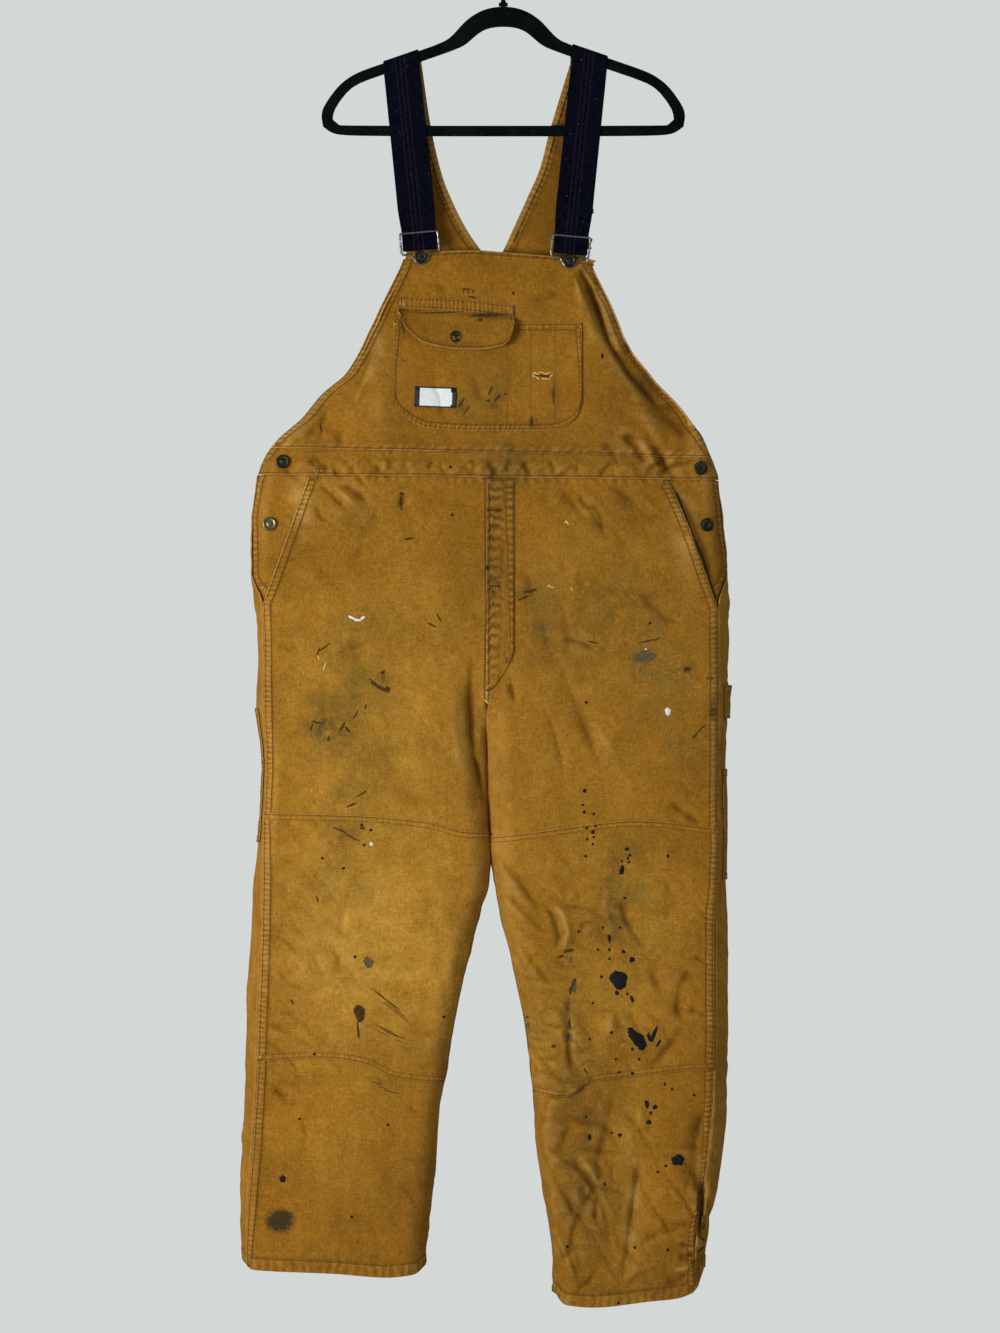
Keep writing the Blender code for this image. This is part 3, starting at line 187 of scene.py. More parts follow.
def along(places, values, at):
    """A smooth line through points, level at each high and low one, read at many places."""
    step = np.diff(values) / np.diff(places)
    slope = np.zeros(len(places))
    before, after = step[:-1], step[1:]
    same = before * after > 0
    slope[1:-1][same] = 2 * before[same] * after[same] / (before[same] + after[same])
    slope[0], slope[-1] = step[0], step[-1]
    at = np.clip(at, places[0], places[-1])
    i = np.clip(np.searchsorted(places, at, side="right") - 1, 0, len(places) - 2)
    span = places[i + 1] - places[i]
    t = (at - places[i]) / span
    return (
        values[i] * (1 + 2 * t) * (1 - t) ** 2
        + slope[i] * span * t * (1 - t) ** 2
        + values[i + 1] * t * t * (3 - 2 * t)
        - slope[i + 1] * span * t * t * (1 - t)
    )


def ease(t):
    """0 to 1, level at both ends."""
    t = np.clip(t, 0.0, 1.0)
    return t * t * (3 - 2 * t)


def height_on(line, x):
    """The height of a line of (across, height) points."""
    across, height = line[np.argsort(line[:, 0])].T
    return along(across, height, x)


def across_on(line, z):
    """The place across of a line of (across, height) points."""
    across, height = line[np.argsort(line[:, 1])].T
    return along(height, across, z)


Cut = namedtuple("Cut", "forked inner outer width turn middle front back outer_corner inner_corner flat")


def cut_at(half, z):
    """The form's cut at each height of one half."""
    forked = ease((FORK_TOP_Z - z) / (FORK_TOP_Z - CROTCH_Z))
    outer, inner = (along(half.rows[:, 0], half.rows[:, i], z) for i in (1, 3))
    if not half.rear:
        inner = inner + half.sign * (SEAM_GAP / 2 + forked * LEG_CLEARANCE)
    width = np.abs(outer - inner)
    front, back, middle, turn, corner = (along(DEPTH[:, 0], DEPTH[:, i], z) for i in range(1, 6))
    outer_corner, inner_corner = (np.minimum(each, NARROW_SHARE * width) for each in (corner, INNER_CORNER))
    flat = width - inner_corner - outer_corner
    return Cut(forked, inner, outer, width, turn, middle, front, back, outer_corner, inner_corner, flat)


def form(half, station, z):
    """Points on the form, one for each station and height."""
    cut = cut_at(half, z)
    v = np.where(station <= 3, station, 6 - station)
    near = v * math.pi / 2
    far = (3 - v) * math.pi / 2
    where = [v <= 1, v <= 2]
    out = np.select(
        where,
        [
            cut.inner_corner * (cut.forked * (1 - np.cos(near)) + (1 - cut.forked) * v),
            cut.inner_corner + cut.flat * (v - 1),
        ],
        cut.width - cut.outer_corner * (1 - np.cos(far)),
    )
    share = np.select(
        where,
        [1 - cut.forked * (1 - np.sin(near)), 1 + CROWN * cut.turn * np.sin(math.pi * (v - 1))],
        1 - cut.turn * (1 - np.sin(far)),
    )
    depth = np.where(station <= 3, -cut.front, cut.back)
    return np.stack([cut.inner + half.sign * out, cut.middle + depth * share, z + 0 * out], -1)


def unit(vectors):
    return vectors / np.maximum(np.linalg.norm(vectors, axis=-1, keepdims=True), 1e-12)


def form_normal(half, station, z):
    """Straight out of the form."""
    a = form(half, np.maximum(station - 0.01, 0.0), z)
    b = form(half, np.minimum(station + 0.01, 6.0), z)
    rise = form(half, station, z + 0.004) - form(half, station, z - 0.004)
    return unit(np.cross(b - a, rise)) * half.sign


def station_at(half, x, z):
    """The front station at a place across."""
    cut = cut_at(half, z)
    out = np.abs(x - cut.inner)
    short = np.clip((cut.width - out) / cut.outer_corner, 0.0, 1.0)
    return np.select(
        [out <= cut.inner_corner, out <= cut.inner_corner + cut.flat],
        [out / cut.inner_corner, 1 + (out - cut.inner_corner) / cut.flat],
        3 - np.arccos(1 - short) / (math.pi / 2),
    )


def seam_station(half, z):
    """The station of the side seam. Above the vent's foot it is the open edge."""
    seam = along(half.rows[:, 0], half.rows[:, 2], z)
    return np.minimum(station_at(half, seam, z), VENT_STATION)


def even_station(half, z, first, last, share):
    """The station at a share of the way round from one station to another, by length of cloth."""
    cut = cut_at(half, z)
    spans = [
        np.hypot(cut.inner_corner, cut.forked * cut.front), cut.flat,
        np.hypot(cut.outer_corner, cut.turn * cut.front),
        np.hypot(cut.outer_corner, cut.turn * cut.back), cut.flat,
        np.hypot(cut.inner_corner, cut.forked * cut.back),
    ]
    ends = np.cumsum([0 * cut.flat] + spans, axis=0)

    def length_at(station):
        station = station + 0 * z
        whole = np.clip(np.floor(station), 0, 5).astype(int)
        return np.choose(whole, list(ends[:6])) + (station - whole) * np.choose(whole, spans)

    low = length_at(first)
    target = low + (length_at(last) - low) * share
    found = 0 * target
    for k in range(6):
        inside = (target >= ends[k]) & (target <= ends[k + 1] + 1e-12)
        found = np.where(inside, k + (target - ends[k]) / spans[k], found)
    return found


# ---------------------------------------------------------------- folds in the cloth

# A crease runs along its points. The width is half of what it takes up, the height is out of the
# cloth, and ease_in and ease_out are the shares of its length over which it fades in and out. The
# skew is how many times wider it is on its left, as one goes along it, than on its right.
Crease = namedtuple("Crease", "width height ease_in ease_out skew points")
# What the light needs to show the smaller creases at their true strength.
CREASE_DEPTH = 1.5
CREASE_WIDTH = 1.05


def folds(rows):
    """The largest folds, which fade out evenly from their middles, from rows of one end, the other
    end, the half width and the height."""
    made = []
    for *ends, width, height in metres(rows):
        made.append(Crease(width, height, 0.5, 0.5, 1.0, np.reshape(ends, (2, 2))))
    return made


def pressed(rows):
    """The smaller creases, from rows of half width, height, the two eases, the skew, and then how far
    across and how high each point is."""
    made = []
    for width, height, ease_in, ease_out, skew, *spots in rows:
        size = metres((width * CREASE_WIDTH, height * CREASE_DEPTH))
        made.append(Crease(*size, ease_in, ease_out, skew, metres(spots).reshape(-1, 2)))
    return made


FRONT_FOLDS = folds((
    (-40, -885, -42, -985, 9, -4.5), (-40, -985, -24, -1075, 10, -4), (84, -955, 134, -1060, 16, -3.5),
    (128, -662, 190, -715, 14, -2.5), (-225, -668, -170, -700, 14, 2.5), (125, -440, 150, -540, 12, 3),
    (150, -540, 205, -600, 13, 3), (45, -1290, 110, -1350, 16, 3.5), (95, -1420, 120, -1600, 17, 4),
    (165, -1430, 185, -1600, 16, -3.5), (-130, -1450, -150, -1590, 18, 3),
    (-235, -1180, -215, -1330, 18, 2.5),
))
BACK_FOLDS = folds((
    (-90, -960, -190, -1030, 18, -4.5), (50, -950, 150, -1040, 18, -4.5),
    (-120, -1290, -250, -1320, 16, -4), (90, -1300, 215, -1340, 16, -4),
    (-200, -1420, -180, -1590, 18, 3.5), (140, -1430, 150, -1620, 18, 3.5),
    (-60, -700, -80, -860, 18, -3), (60, -700, 75, -850, 18, -3),
))
FRONT_CREASES = FRONT_FOLDS + pressed((
    (3, -4.8, 0.15, 0.3, 3.6, 94, -388, 106, -427, 127, -478, 152, -519, 182, -553, 211, -583),
    (8, 2.4, 0.2, 0.3, 0.6, 87, -402, 96, -441, 116, -490),
    (3, -3.2, 0.3, 0.4, 2, 240, -624, 211, -629, 182, -644),
    (2.6, -2.6, 0.3, 0.4, 2, 201, -619, 179, -634, 167, -651),
    (2.6, -2.4, 0.3, 0.4, 2, -240, -622, -226, -636, -206, -644),
    (2.6, -2.4, 0.3, 0.4, 2, -211, -624, -204, -641, -189, -651),
    (2.6, -2, 0.3, 0.4, 2, -160, -626, -150, -641, -130, -648),
    (2.6, -2.2, 0.3, 0.4, 2, 89, -626, 77, -639, 57, -648),
    (2.6, -2.2, 0.3, 0.4, 2, 135, -622, 123, -636, 113, -651),
    (2.6, -2.2, 0.3, 0.4, 2, -272, -631, -257, -644, -243, -653),
    (3, -2.8, 0.3, 0.4, 2, -21, -624, -11, -639, -16, -653),
    (3, -2.4, 0.3, 0.4, 2, 21, -622, 30, -639, 26, -653),
    (3.6, -1.3, 0.3, 0.4, 2, -211, -563, -230, -583, -247, -607),
    (3.6, -1.4, 0.3, 0.4, 2, 196, -568, 211, -587, 228, -605),
    (3, -1.3, 0.3, 0.4, 2, 69, -414, 55, -427, 33, -429),
    (4, -1.3, 0.3, 0.4, 2, 118, -585, 143, -597, 179, -597),
    (4, -1.2, 0.3, 0.4, 2, -40, -514, -28, -544, -13, -563),
    (3, -1, 0.3, 0.4, 2, -89, -524, -77, -548, -74, -578),
    # Down from the fly to the knee, sharper as it drops, with a ridge to its left.
    (3.9, -4.6, 0.3, 0.2, 3, -38, -853, -41, -902, -40, -959, -34, -997, -28, -1030),
    (3, -4.3, 0.3, 0.1, 2, -37, -978, -28, -1024, -21, -1051, -18, -1078),
    (10.3, 1.6, 0.4, 0.3, 1, -60, -871, -61, -932, -55, -987, -43, -1036),
    (4, -2.4, 0.4, 0.4, 1, 7, -887, 10, -904, 15, -926),
    (4.8, -2.2, 0.4, 0.4, 1, -7, -1087, -11, -1121, -13, -1160),
    # Across the right thigh.
    (8.5, -3, 0.3, 0.4, 1.4, 69, -871, 87, -921, 106, -969, 126, -1018),
    (9, 1.9, 0.4, 0.4, 1, 106, -932, 130, -978, 152, -1024),
    (10, -2.4, 0.3, 0.4, 1.5, 21, -743, 37, -792, 51, -841, 69, -902),
    (11, -2.2, 0.3, 0.4, 1, 65, -780, 77, -829, 84, -878),
    (5, -2.2, 0.3, 0.4, 2, 160, -774, 179, -804, 201, -819, 228, -826),
    (4, -1.9, 0.3, 0.4, 1.5, 69, -841, 94, -846, 118, -859),
    (5, -1.9, 0.3, 0.4, 1.5, 104, -670, 118, -695, 127, -725),
    (5.5, -2.4, 0.4, 0.4, 1, 196, -1038, 218, -1053, 243, -1070),
    (6, -1.6, 0.4, 0.4, 1, 45, -914, 65, -969, 77, -1026),
    # Under the waist, right and left.
    (6, -2, 0.3, 0.4, 1.6, 123, -653, 150, -670, 177, -694, 194, -714),
    (7, 1.1, 0.3, 0.4, 1, 145, -653, 172, -673, 191, -697),
    (4, -1.6, 0.3, 0.4, 2, 69, -653, 79, -676, 96, -695),
    (5, -1.9, 0.4, 0.4, 1, 77, -653, 106, -685, 130, -729),
    (4.5, -1.8, 0.3, 0.4, 1, -226, -653, -206, -670, -184, -694),
    (4.5, 1.4, 0.3, 0.4, 1, -211, -653, -191, -669, -172, -687),
    (4, -1.4, 0.3, 0.4, 1, -196, -653, -179, -664, -165, -676),
    (3.4, -2, 0.4, 0.4, 1, -127, -663, -123, -673, -126, -686),
    (5.5, -1, 0.4, 0.4, 1, -247, -743, -211, -768, -184, -807),
    (3.6, -1.4, 0.3, 0.4, 2, -213, -663, -193, -661, -172, -670, -160, -689),
    (3.6, -1.4, 0.3, 0.4, 1.6, -230, -670, -223, -695, -199, -707),
    (6, -1.4, 0.4, 0.4, 1.4, -150, -670, -160, -701, -174, -731, -184, -762),
    (5, -0.8, 0.4, 0.4, 1.4, -294, -841, -266, -853, -235, -856),
    (4, -1.2, 0.4, 0.4, 1.6, -126, -653, -121, -668, -126, -687, -121, -700),
    (3.6, -0.8, 0.4, 0.4, 2, -101, -670, -65, -680, -30, -678),
    # The bib's two long ridges on the left, and the pulls under the buckles.
    (3.6, 1.3, 0.3, 0.4, 1, -132, -407, -145, -430, -161, -455, -173, -488, -182, -520),
    (4, 1.3, 0.3, 0.4, 1, -151, -466, -157, -490, -165, -522, -176, -544, -188, -573),
    (5.5, -1, 0.3, 0.4, 1, -138, -434, -152, -475, -167, -514, -184, -548),
    (6, -1.1, 0.4, 0.4, 1, -85, -400, -77, -414, -62, -434),
    (6, -1.1, 0.4, 0.4, 1, 12, -380, 21, -397, 37, -409),
    (7, -1.6, 0.4, 0.4, 1, -218, -563, -222, -587, -226, -612),
    (6, -1, 0.4, 0.4, 1, -187, -578, -201, -597, -208, -624),
    (4, -2.4, 0.4, 0.4, 1, -232, -619, -221, -631, -206, -636),
    (3.4, 2, 0.4, 0.4, 1, -236, -626, -226, -639, -211, -642),
    # Diagonal folds into the right side button.
    (4.8, -4.4, 0.3, 0.3, 1, 145, -590, 160, -608, 174, -631),
    (4.8, -4.8, 0.3, 0.3, 1, 182, -605, 193, -622, 205, -644),
    (5, 3.2, 0.3, 0.3, 1, 165, -597, 178, -617, 190, -639),
    (5, -2.4, 0.4, 0.4, 1, 118, -597, 133, -619, 145, -639),
    # Small wrinkles in the band between the stitch line and the waist seam.
    (3, -1.8, 0.4, 0.4, 1, -82, -620, -89, -631, -91, -642),
    (3, -1.8, 0.4, 0.4, 1, -40, -620, -35, -631, -38, -644),
    (3.2, -2, 0.4, 0.4, 1, 11, -620, 5, -633, 6, -645),
    (3, -1.8, 0.4, 0.4, 1, 55, -622, 61, -634, 59, -646),
    (3, -1.6, 0.4, 0.4, 1, -144, -619, -137, -629, -140, -641),
    (3, -1.6, 0.4, 0.4, 1, 94, -622, 89, -634, 91, -646),
    # Across the fly's strip, which is pulled short by its stitching.
    (2.6, -1.6, 0.3, 0.3, 1, -20, -668, -10, -670, 1, -669),
    (2.8, -2.2, 0.3, 0.3, 1, -21, -685, -10, -687, 2, -685),
    (2.6, -1.4, 0.3, 0.3, 1, -20, -703, -9, -702, 1, -704),
    (2.6, -1.4, 0.3, 0.3, 1, -18, -719, -9, -722, 1, -720),
    (2.6, -2.2, 0.3, 0.3, 1, -20, -774, -9, -773, 2, -775),
    (2.6, -2.2, 0.3, 0.3, 1, -20, -783, -10, -785, 1, -783),
    (2.6, -1.4, 0.3, 0.3, 1, -18, -800, -9, -802, 1, -800),
    (2.6, -0.9, 0.3, 0.3, 1, -20, -823, -9, -822, 2, -825),
    (3, -1.2, 0.3, 0.3, 1, -21, -850, -11, -851, 0, -848),
    # The right knee: short creases bunched by the inner leg, and a long shade down its middle.
    (2.2, -1.1, 0.2, 0.5, 2, 26, -1316, 43, -1320, 69, -1320),
    (2.2, -1.2, 0.2, 0.5, 2, 27, -1325, 48, -1330, 72, -1327),
    (2.2, -1, 0.2, 0.5, 2, 29, -1338, 49, -1341, 65, -1346),
    (2.2, -0.9, 0.2, 0.5, 2, 32, -1351, 52, -1353, 72, -1348),
    (2.4, -0.9, 0.2, 0.5, 2, 34, -1365, 49, -1368, 65, -1374),
    (5, 2.6, 0.3, 0.3, 0.8, 59, -1158, 73, -1177, 79, -1199, 71, -1224),
    (3.6, -2.2, 0.3, 0.3, 0.8, 46, -1158, 61, -1180, 67, -1204, 60, -1226),
    (3.4, -2.6, 0.2, 0.4, 3.6, 140, -1153, 147, -1182, 160, -1204, 176, -1225),
    (9, 1.6, 0.3, 0.4, 0.6, 123, -1134, 123, -1164, 130, -1195, 143, -1219),
    (4, -2, 0.2, 0.4, 2.6, -6, -1107, 16, -1134, 38, -1164, 55, -1199),
    (3.2, -1.6, 0.2, 0.4, 2.2, 2, -1149, 24, -1173, 46, -1195, 65, -1207),
    (3, -1.4, 0.3, 0.4, 2.4, 16, -1201, 33, -1231, 55, -1262, 69, -1270),
    (2.6, -1.4, 0.3, 0.4, 2, 228, -1226, 241, -1234, 255, -1243),
    (4.2, -2.6, 0.2, 0.3, 2.6, 226, -1238, 213, -1268, 210, -1290, 219, -1312),
    (4.2, -2.6, 0.2, 0.3, 2.6, 219, -1309, 199, -1338, 182, -1358, 173, -1375),
    (3, -1.8, 0.3, 0.4, 2, 221, -1292, 234, -1294, 250, -1302),
    (4, -2.8, 0.2, 0.3, 0.7, 80, -1270, 78, -1304, 80, -1341, 85, -1382),
    (11, 2.2, 0.3, 0.3, 0.8, 133, -1290, 126, -1324, 122, -1360),
    (4, -1.8, 0.3, 0.4, 2, 113, -1368, 101, -1382, 87, -1397),
    (4, -1.6, 0.4, 0.4, 2.2, 177, -1231, 182, -1255, 194, -1280),
    (3.4, -1.2, 0.4, 0.4, 1.8, 55, -1231, 77, -1241, 101, -1238),
    # The left knee and shin.
    (4.4, -0.8, 0.4, 0.5, 1, -67, -1316, -87, -1324, -108, -1321),
    (3.6, -0.8, 0.4, 0.5, 1, -74, -1355, -96, -1363, -121, -1360),
    (3, -1, 0.3, 0.4, 2.2, -294, -1307, -272, -1314, -247, -1329, -221, -1343),
    (3, -0.9, 0.3, 0.4, 2, -289, -1290, -257, -1299, -226, -1321),
    (2.8, -0.8, 0.3, 0.4, 2, -277, -1241, -260, -1262, -233, -1268),
    (2.8, -1, 0.3, 0.4, 2, -282, -1199, -260, -1212, -245, -1234),
    (2.8, -0.8, 0.3, 0.4, 2, -211, -1207, -201, -1231, -206, -1262),
    (3, -1, 0.3, 0.4, 2, -284, -1385, -267, -1399, -257, -1416),
    (3, -0.9, 0.3, 0.4, 2, -274, -1399, -257, -1407, -235, -1404),
    (3, -0.8, 0.3, 0.4, 2, -247, -1416, -240, -1446, -247, -1475),
    (3.6, -0.8, 0.3, 0.4, 2, -211, -1542, -187, -1550, -160, -1543),
    (3, -0.8, 0.3, 0.4, 2, -130, -1499, -113, -1519, -101, -1543),
    (4.5, -1, 0.5, 0.4, 1, -284, -1390, -272, -1394, -245, -1402),
    (4, -1, 0.4, 0.4, 1, -165, -1370, -152, -1377, -140, -1385),
    (4, -0.8, 0.4, 0.4, 1, -121, -1408, -110, -1415, -96, -1418),
    (8.5, -0.8, 0.4, 0.4, 1, -133, -1414, -140, -1463, -135, -1511, -140, -1563),
    (10, 0.7, 0.4, 0.4, 1, -211, -1402, -218, -1463, -211, -1530),
    (5.5, -0.8, 0.4, 0.4, 1, -184, -1134, -199, -1188, -194, -1243),
    # The right shin hangs in soft upright folds.
    (5, 2.6, 0.2, 0.3, 3.6, 60, -1397, 51, -1438, 57, -1499, 68, -1582),
    (3.6, -2.2, 0.2, 0.3, 2.6, 40, -1451, 72, -1472, 101, -1494, 122, -1538, 133, -1597),
    (3.6, 1.8, 0.2, 0.4, 2, 90, -1465, 108, -1492, 124, -1526, 139, -1565),
    (3.2, -2.2, 0.2, 0.3, 2.4, 116, -1502, 96, -1530, 84, -1563, 77, -1602),
    (3.2, -2.4, 0.2, 0.3, 3.2, 167, -1463, 158, -1524, 151, -1582, 141, -1638),
    (3.2, -1.7, 0.3, 0.4, 2.4, 157, -1582, 189, -1565, 233, -1555),
    (3, -1.4, 0.3, 0.4, 2, 179, -1531, 194, -1550, 206, -1572),
    (8, -2.4, 0.3, 0.3, 0.5, 247, -1399, 233, -1451, 232, -1481, 238, -1524),
    (3, -1.8, 0.2, 0.4, 2.2, 65, -1555, 83, -1597, 96, -1636),
    (2.8, -1.6, 0.3, 0.4, 2, 123, -1599, 101, -1624, 77, -1641),
    (2.8, -1.4, 0.3, 0.4, 2, 65, -1599, 89, -1582, 111, -1587),
    (5, -2.2, 0.2, 0.4, 2, 133, -1392, 128, -1426, 118, -1463, 111, -1499),
    (4.4, 1.4, 0.3, 0.4, 2, 169, -1402, 162, -1436, 165, -1463),
    (3, -1.3, 0.3, 0.4, 2, 84, -1426, 69, -1458, 55, -1477),
    (3, -1.3, 0.3, 0.4, 2, 65, -1499, 79, -1524, 88, -1555),
    (3, -1.3, 0.3, 0.4, 2, 104, -1524, 116, -1555, 135, -1585),
    (3, -1.4, 0.3, 0.4, 2, 191, -1604, 167, -1614, 145, -1628),
    # The trough behind the curled corner is deep; its black is painted shade, given in the dark tables.
    (2.2, -8, 0.2, 0.2, 1, 243, -1499, 241, -1531, 239, -1558, 240, -1575),
    # The right hem's outer corner curls, with creases that run out of the curl.
    (3.4, -2.2, 0.3, 0.3, 1, 233, -1587, 223, -1594, 211, -1594),
    (3, -1.8, 0.3, 0.3, 1, 233, -1577, 223, -1580, 212, -1576),
    (3.4, 1.8, 0.3, 0.3, 1, 232, -1598, 221, -1607, 206, -1610),
    (4, -1.6, 0.3, 0.3, 1, 226, -1611, 211, -1622, 194, -1626),
    # The bib's right edge doubles back sharply under the buckle.
    (3.6, -4.4, 0.1, 0.5, 1, 91, -388, 104, -409, 113, -434, 123, -461, 133, -490),
    (4, 1.8, 0.3, 0.5, 1, 77, -380, 89, -407, 101, -436, 113, -470, 126, -507),
))
BACK_CREASES = BACK_FOLDS + pressed((
    # Under the seat each leg hangs in two or three slack folds.
    (7, -2.6, 0.4, 0.4, 1, -60, -930, -120, -985, -180, -1015),
    (8, 2.2, 0.4, 0.4, 1, -75, -915, -140, -960, -215, -985),
    (6.5, -2.2, 0.4, 0.4, 1, 30, -925, 90, -990, 150, -1025),
    (8, 2, 0.4, 0.4, 1, 50, -905, 110, -960, 185, -990),
    # Soft pulls from the shoulders down the back, and from its V.
    (6, -1.3, 0.4, 0.4, 1, -108, -240, -98, -320, -80, -400),
    (6, -1.3, 0.4, 0.4, 1, 88, -250, 78, -330, 60, -410),
    (8, 1.6, 0.4, 0.4, 1, -50, -410, -110, -480, -170, -540),
    (8, 1.6, 0.4, 0.4, 1, 30, -415, 85, -480, 130, -545),
    (7, -1.5, 0.4, 0.4, 1, -20, -400, -26, -480, -18, -570),
    (6, -1.6, 0.4, 0.4, 1, -190, -560, -150, -600, -130, -650),
    (6, -1.6, 0.4, 0.4, 1, 165, -560, 130, -600, 110, -655),
    # The waist at the back, sat on for years.
    (5, -1.4, 0.4, 0.4, 1, -150, -640, -80, -652, -30, -646),
    (5, -1.4, 0.4, 0.4, 1, 10, -645, 70, -655, 120, -648),
    (6, -1.5, 0.4, 0.4, 1, -210, -700, -180, -780, -200, -850),
    (6, -1.5, 0.4, 0.4, 1, 180, -700, 150, -790, 175, -860),
    # Behind the knees.
    (5.5, -2.4, 0.4, 0.4, 1, -110, -1240, -180, -1255, -250, -1235),
    (5.5, -2.2, 0.4, 0.4, 1, -120, -1330, -200, -1350, -270, -1330),
    (6, 1.8, 0.4, 0.4, 1, -115, -1262, -190, -1278, -255, -1262),
    (5.5, -2.4, 0.4, 0.4, 1, 80, -1250, 140, -1262, 210, -1240),
    (5.5, -2.2, 0.4, 0.4, 1, 85, -1335, 150, -1355, 220, -1335),
    (6, 1.8, 0.4, 0.4, 1, 85, -1272, 145, -1284, 215, -1268),
    # Calves and hems.
    (8, 2.4, 0.4, 0.3, 1, -150, -1400, -145, -1500, -155, -1605),
    (8, -2.2, 0.4, 0.3, 1, -255, -1400, -262, -1500, -258, -1590),
    (8, 2.4, 0.4, 0.3, 1, 100, -1420, 106, -1520, 104, -1640),
    (8, -2.2, 0.4, 0.3, 1, 185, -1420, 190, -1520, 186, -1625),
))

# Right of this line the bib falls back towards its edge, over the width given at each point.
BIB_FALL = metres((
    (92.6, -385.1), (104.8, -405.8), (118.2, -426.6), (128, -460.7), (143.8, -514.3), (167, -568),
    (186.5, -607), (203.6, -641.1),
))
BIB_FALL_DEPTH = 0.0120
BIB_FALL_WIDTHS = (0.008, 0.050)


def nearest_on(points, x, z):
    """How far each place is from a line of points, the share of the line it is at, and its side."""
    steps = np.hypot(*np.diff(points, axis=0).T)
    starts = np.concatenate([[0], np.cumsum(steps)])
    best = np.full(np.shape(x), 1e9)
    share = np.zeros(np.shape(x))
    side = np.zeros(np.shape(x))
    for (ax, az), (bx, bz), step, start in zip(points[:-1], points[1:], steps, starts):
        ux, uz = (bx - ax) / step, (bz - az) / step
        t = np.clip((x - ax) * ux + (z - az) * uz, 0, step)
        dx, dz = x - ax - ux * t, z - az - uz * t
        gap = np.hypot(dx, dz)
        closer = gap < best
        best = np.where(closer, gap, best)
        share = np.where(closer, (start + t) / starts[-1], share)
        side = np.where(closer, np.sign(ux * dz - uz * dx), side)
    return best, share, side


# How far a crease reaches, in its own widths, how uneven a long one is, and how rounded the top of a
# small one is.
CREASE_REACH = 3.6
CREASE_UNEVEN = 0.25
CREST = 0.35


def creased(creases, softly, x, z):
    """How far the creases lift the cloth. A long one is uneven along its length."""
    total = np.zeros(np.shape(x))
    for k, crease in enumerate(creases):
        reach = CREASE_REACH * crease.width * max(crease.skew, 1.0)
        low, high = crease.points.min(0) - reach, crease.points.max(0) + reach
        near = (x > low[0]) & (x < high[0]) & (z > low[1]) & (z < high[1])
        if not near.any():
            continue
        gap, share, side = nearest_on(crease.points, x[near], z[near])
        far = gap / (crease.width * np.where(side > 0, crease.skew, 1.0))
        fade = ease(share / crease.ease_in) * ease((1 - share) / crease.ease_out)
        uneven = 1 + CREASE_UNEVEN * np.sin(9.0 * share + 2.4 * k)
        # The largest folds roll over softly. The smaller creases come to an edge.
        profile = np.exp(-0.5 * far**2) if k < softly else np.exp(1.2 * (CREST - np.hypot(far, CREST)))
        total[near] += crease.height * fade * uneven * profile
    return total


def fallen(x, z):
    """How far back the bib's right side has fallen."""
    gap, share, _ = nearest_on(BIB_FALL, x, z)
    width = BIB_FALL_WIDTHS[0] + (BIB_FALL_WIDTHS[1] - BIB_FALL_WIDTHS[0]) * share
    depth = BIB_FALL_DEPTH * ease(share / 0.12) * ease((1 - share) / 0.25)
    return -depth * ease(gap / width) * (x > across_on(BIB_FALL, z))


def value_noise(points, size, seed):
    """Smooth random hills about a size across, from -1 to 1, the same on every run."""
    cell = points / size
    low = np.floor(cell).astype(np.int64)
    t = cell - low
    t = t * t * (3 - 2 * t)
    total = np.zeros(points.shape[:-1])
    for corner in range(8):
        step = np.array([corner & 1, corner >> 1 & 1, corner >> 2 & 1])
        at = low + step
        mixed = (at[..., 0] * 374761393 + at[..., 1] * 668265263 + at[..., 2] * 2147483647 + seed * 974711)
        mixed = (mixed ^ (mixed >> 13)) * 1274126177
        value = ((mixed ^ (mixed >> 16)) & 65535) / 32767.5 - 1
        total += value * np.prod(np.where(step == 1, t, 1 - t), axis=-1)
    return total


# Where the front is crumpled as well, with sharp valleys in no set direction. Soft areas are given
# as (across, height, half width, half height, strength), in millimetres but for the last.
FRONT_CRUMPLED = (
    (106, -1493, 60, 110, 1), (228, -1560, 20, 50, 0.8), (118, -1329, 60, 50, 0.45),
    (69, -1195, 40, 60, 0.45), (-4, -636, 260, 12, 0.8), (191, -597, 40, 26, 0.8),
    (-235, -597, 30, 24, 0.6), (-205, -683, 50, 30, 0.6), (130, -683, 80, 30, 0.4),
    (69, -841, 70, 60, 0.35), (-247, -1231, 30, 60, 0.4), (-247, -1365, 40, 50, 0.4),
    (204, -1158, 30, 80, 0.4), (-89, -488, 60, 30, 0.3),
)
CRUMPLE_ANYWHERE = 0.16
CRUMPLE_HEIGHT = 0.0065
BACK_CRUMPLED = 0.2
GRID_SEED = 7
# How far apart the valleys of crumpled cloth are, the slanting ones and the finer ones.
VALLEYS = (0.034, 0.021)
# The height and size of the hills of washed canvas. The larger ones are drawn out upward.
HILLS = ((0.0017, 0.062, 0.55), (0.00095, 0.026, 0.55), (0.00034, 0.011, 1.0))


def soft_areas(areas, x, z):
    """How much of each place the soft areas take up, together."""
    total = np.zeros(np.shape(x))
    for *sizes_mm, strength in areas:
        ax, az, wide, tall = metres(sizes_mm)
        far = ((x - ax) / wide) ** 2 + ((z - az) / tall) ** 2
        total = 1 - (1 - total) * (1 - strength * np.exp(-0.5 * far))
    return np.clip(total, 0, 1)


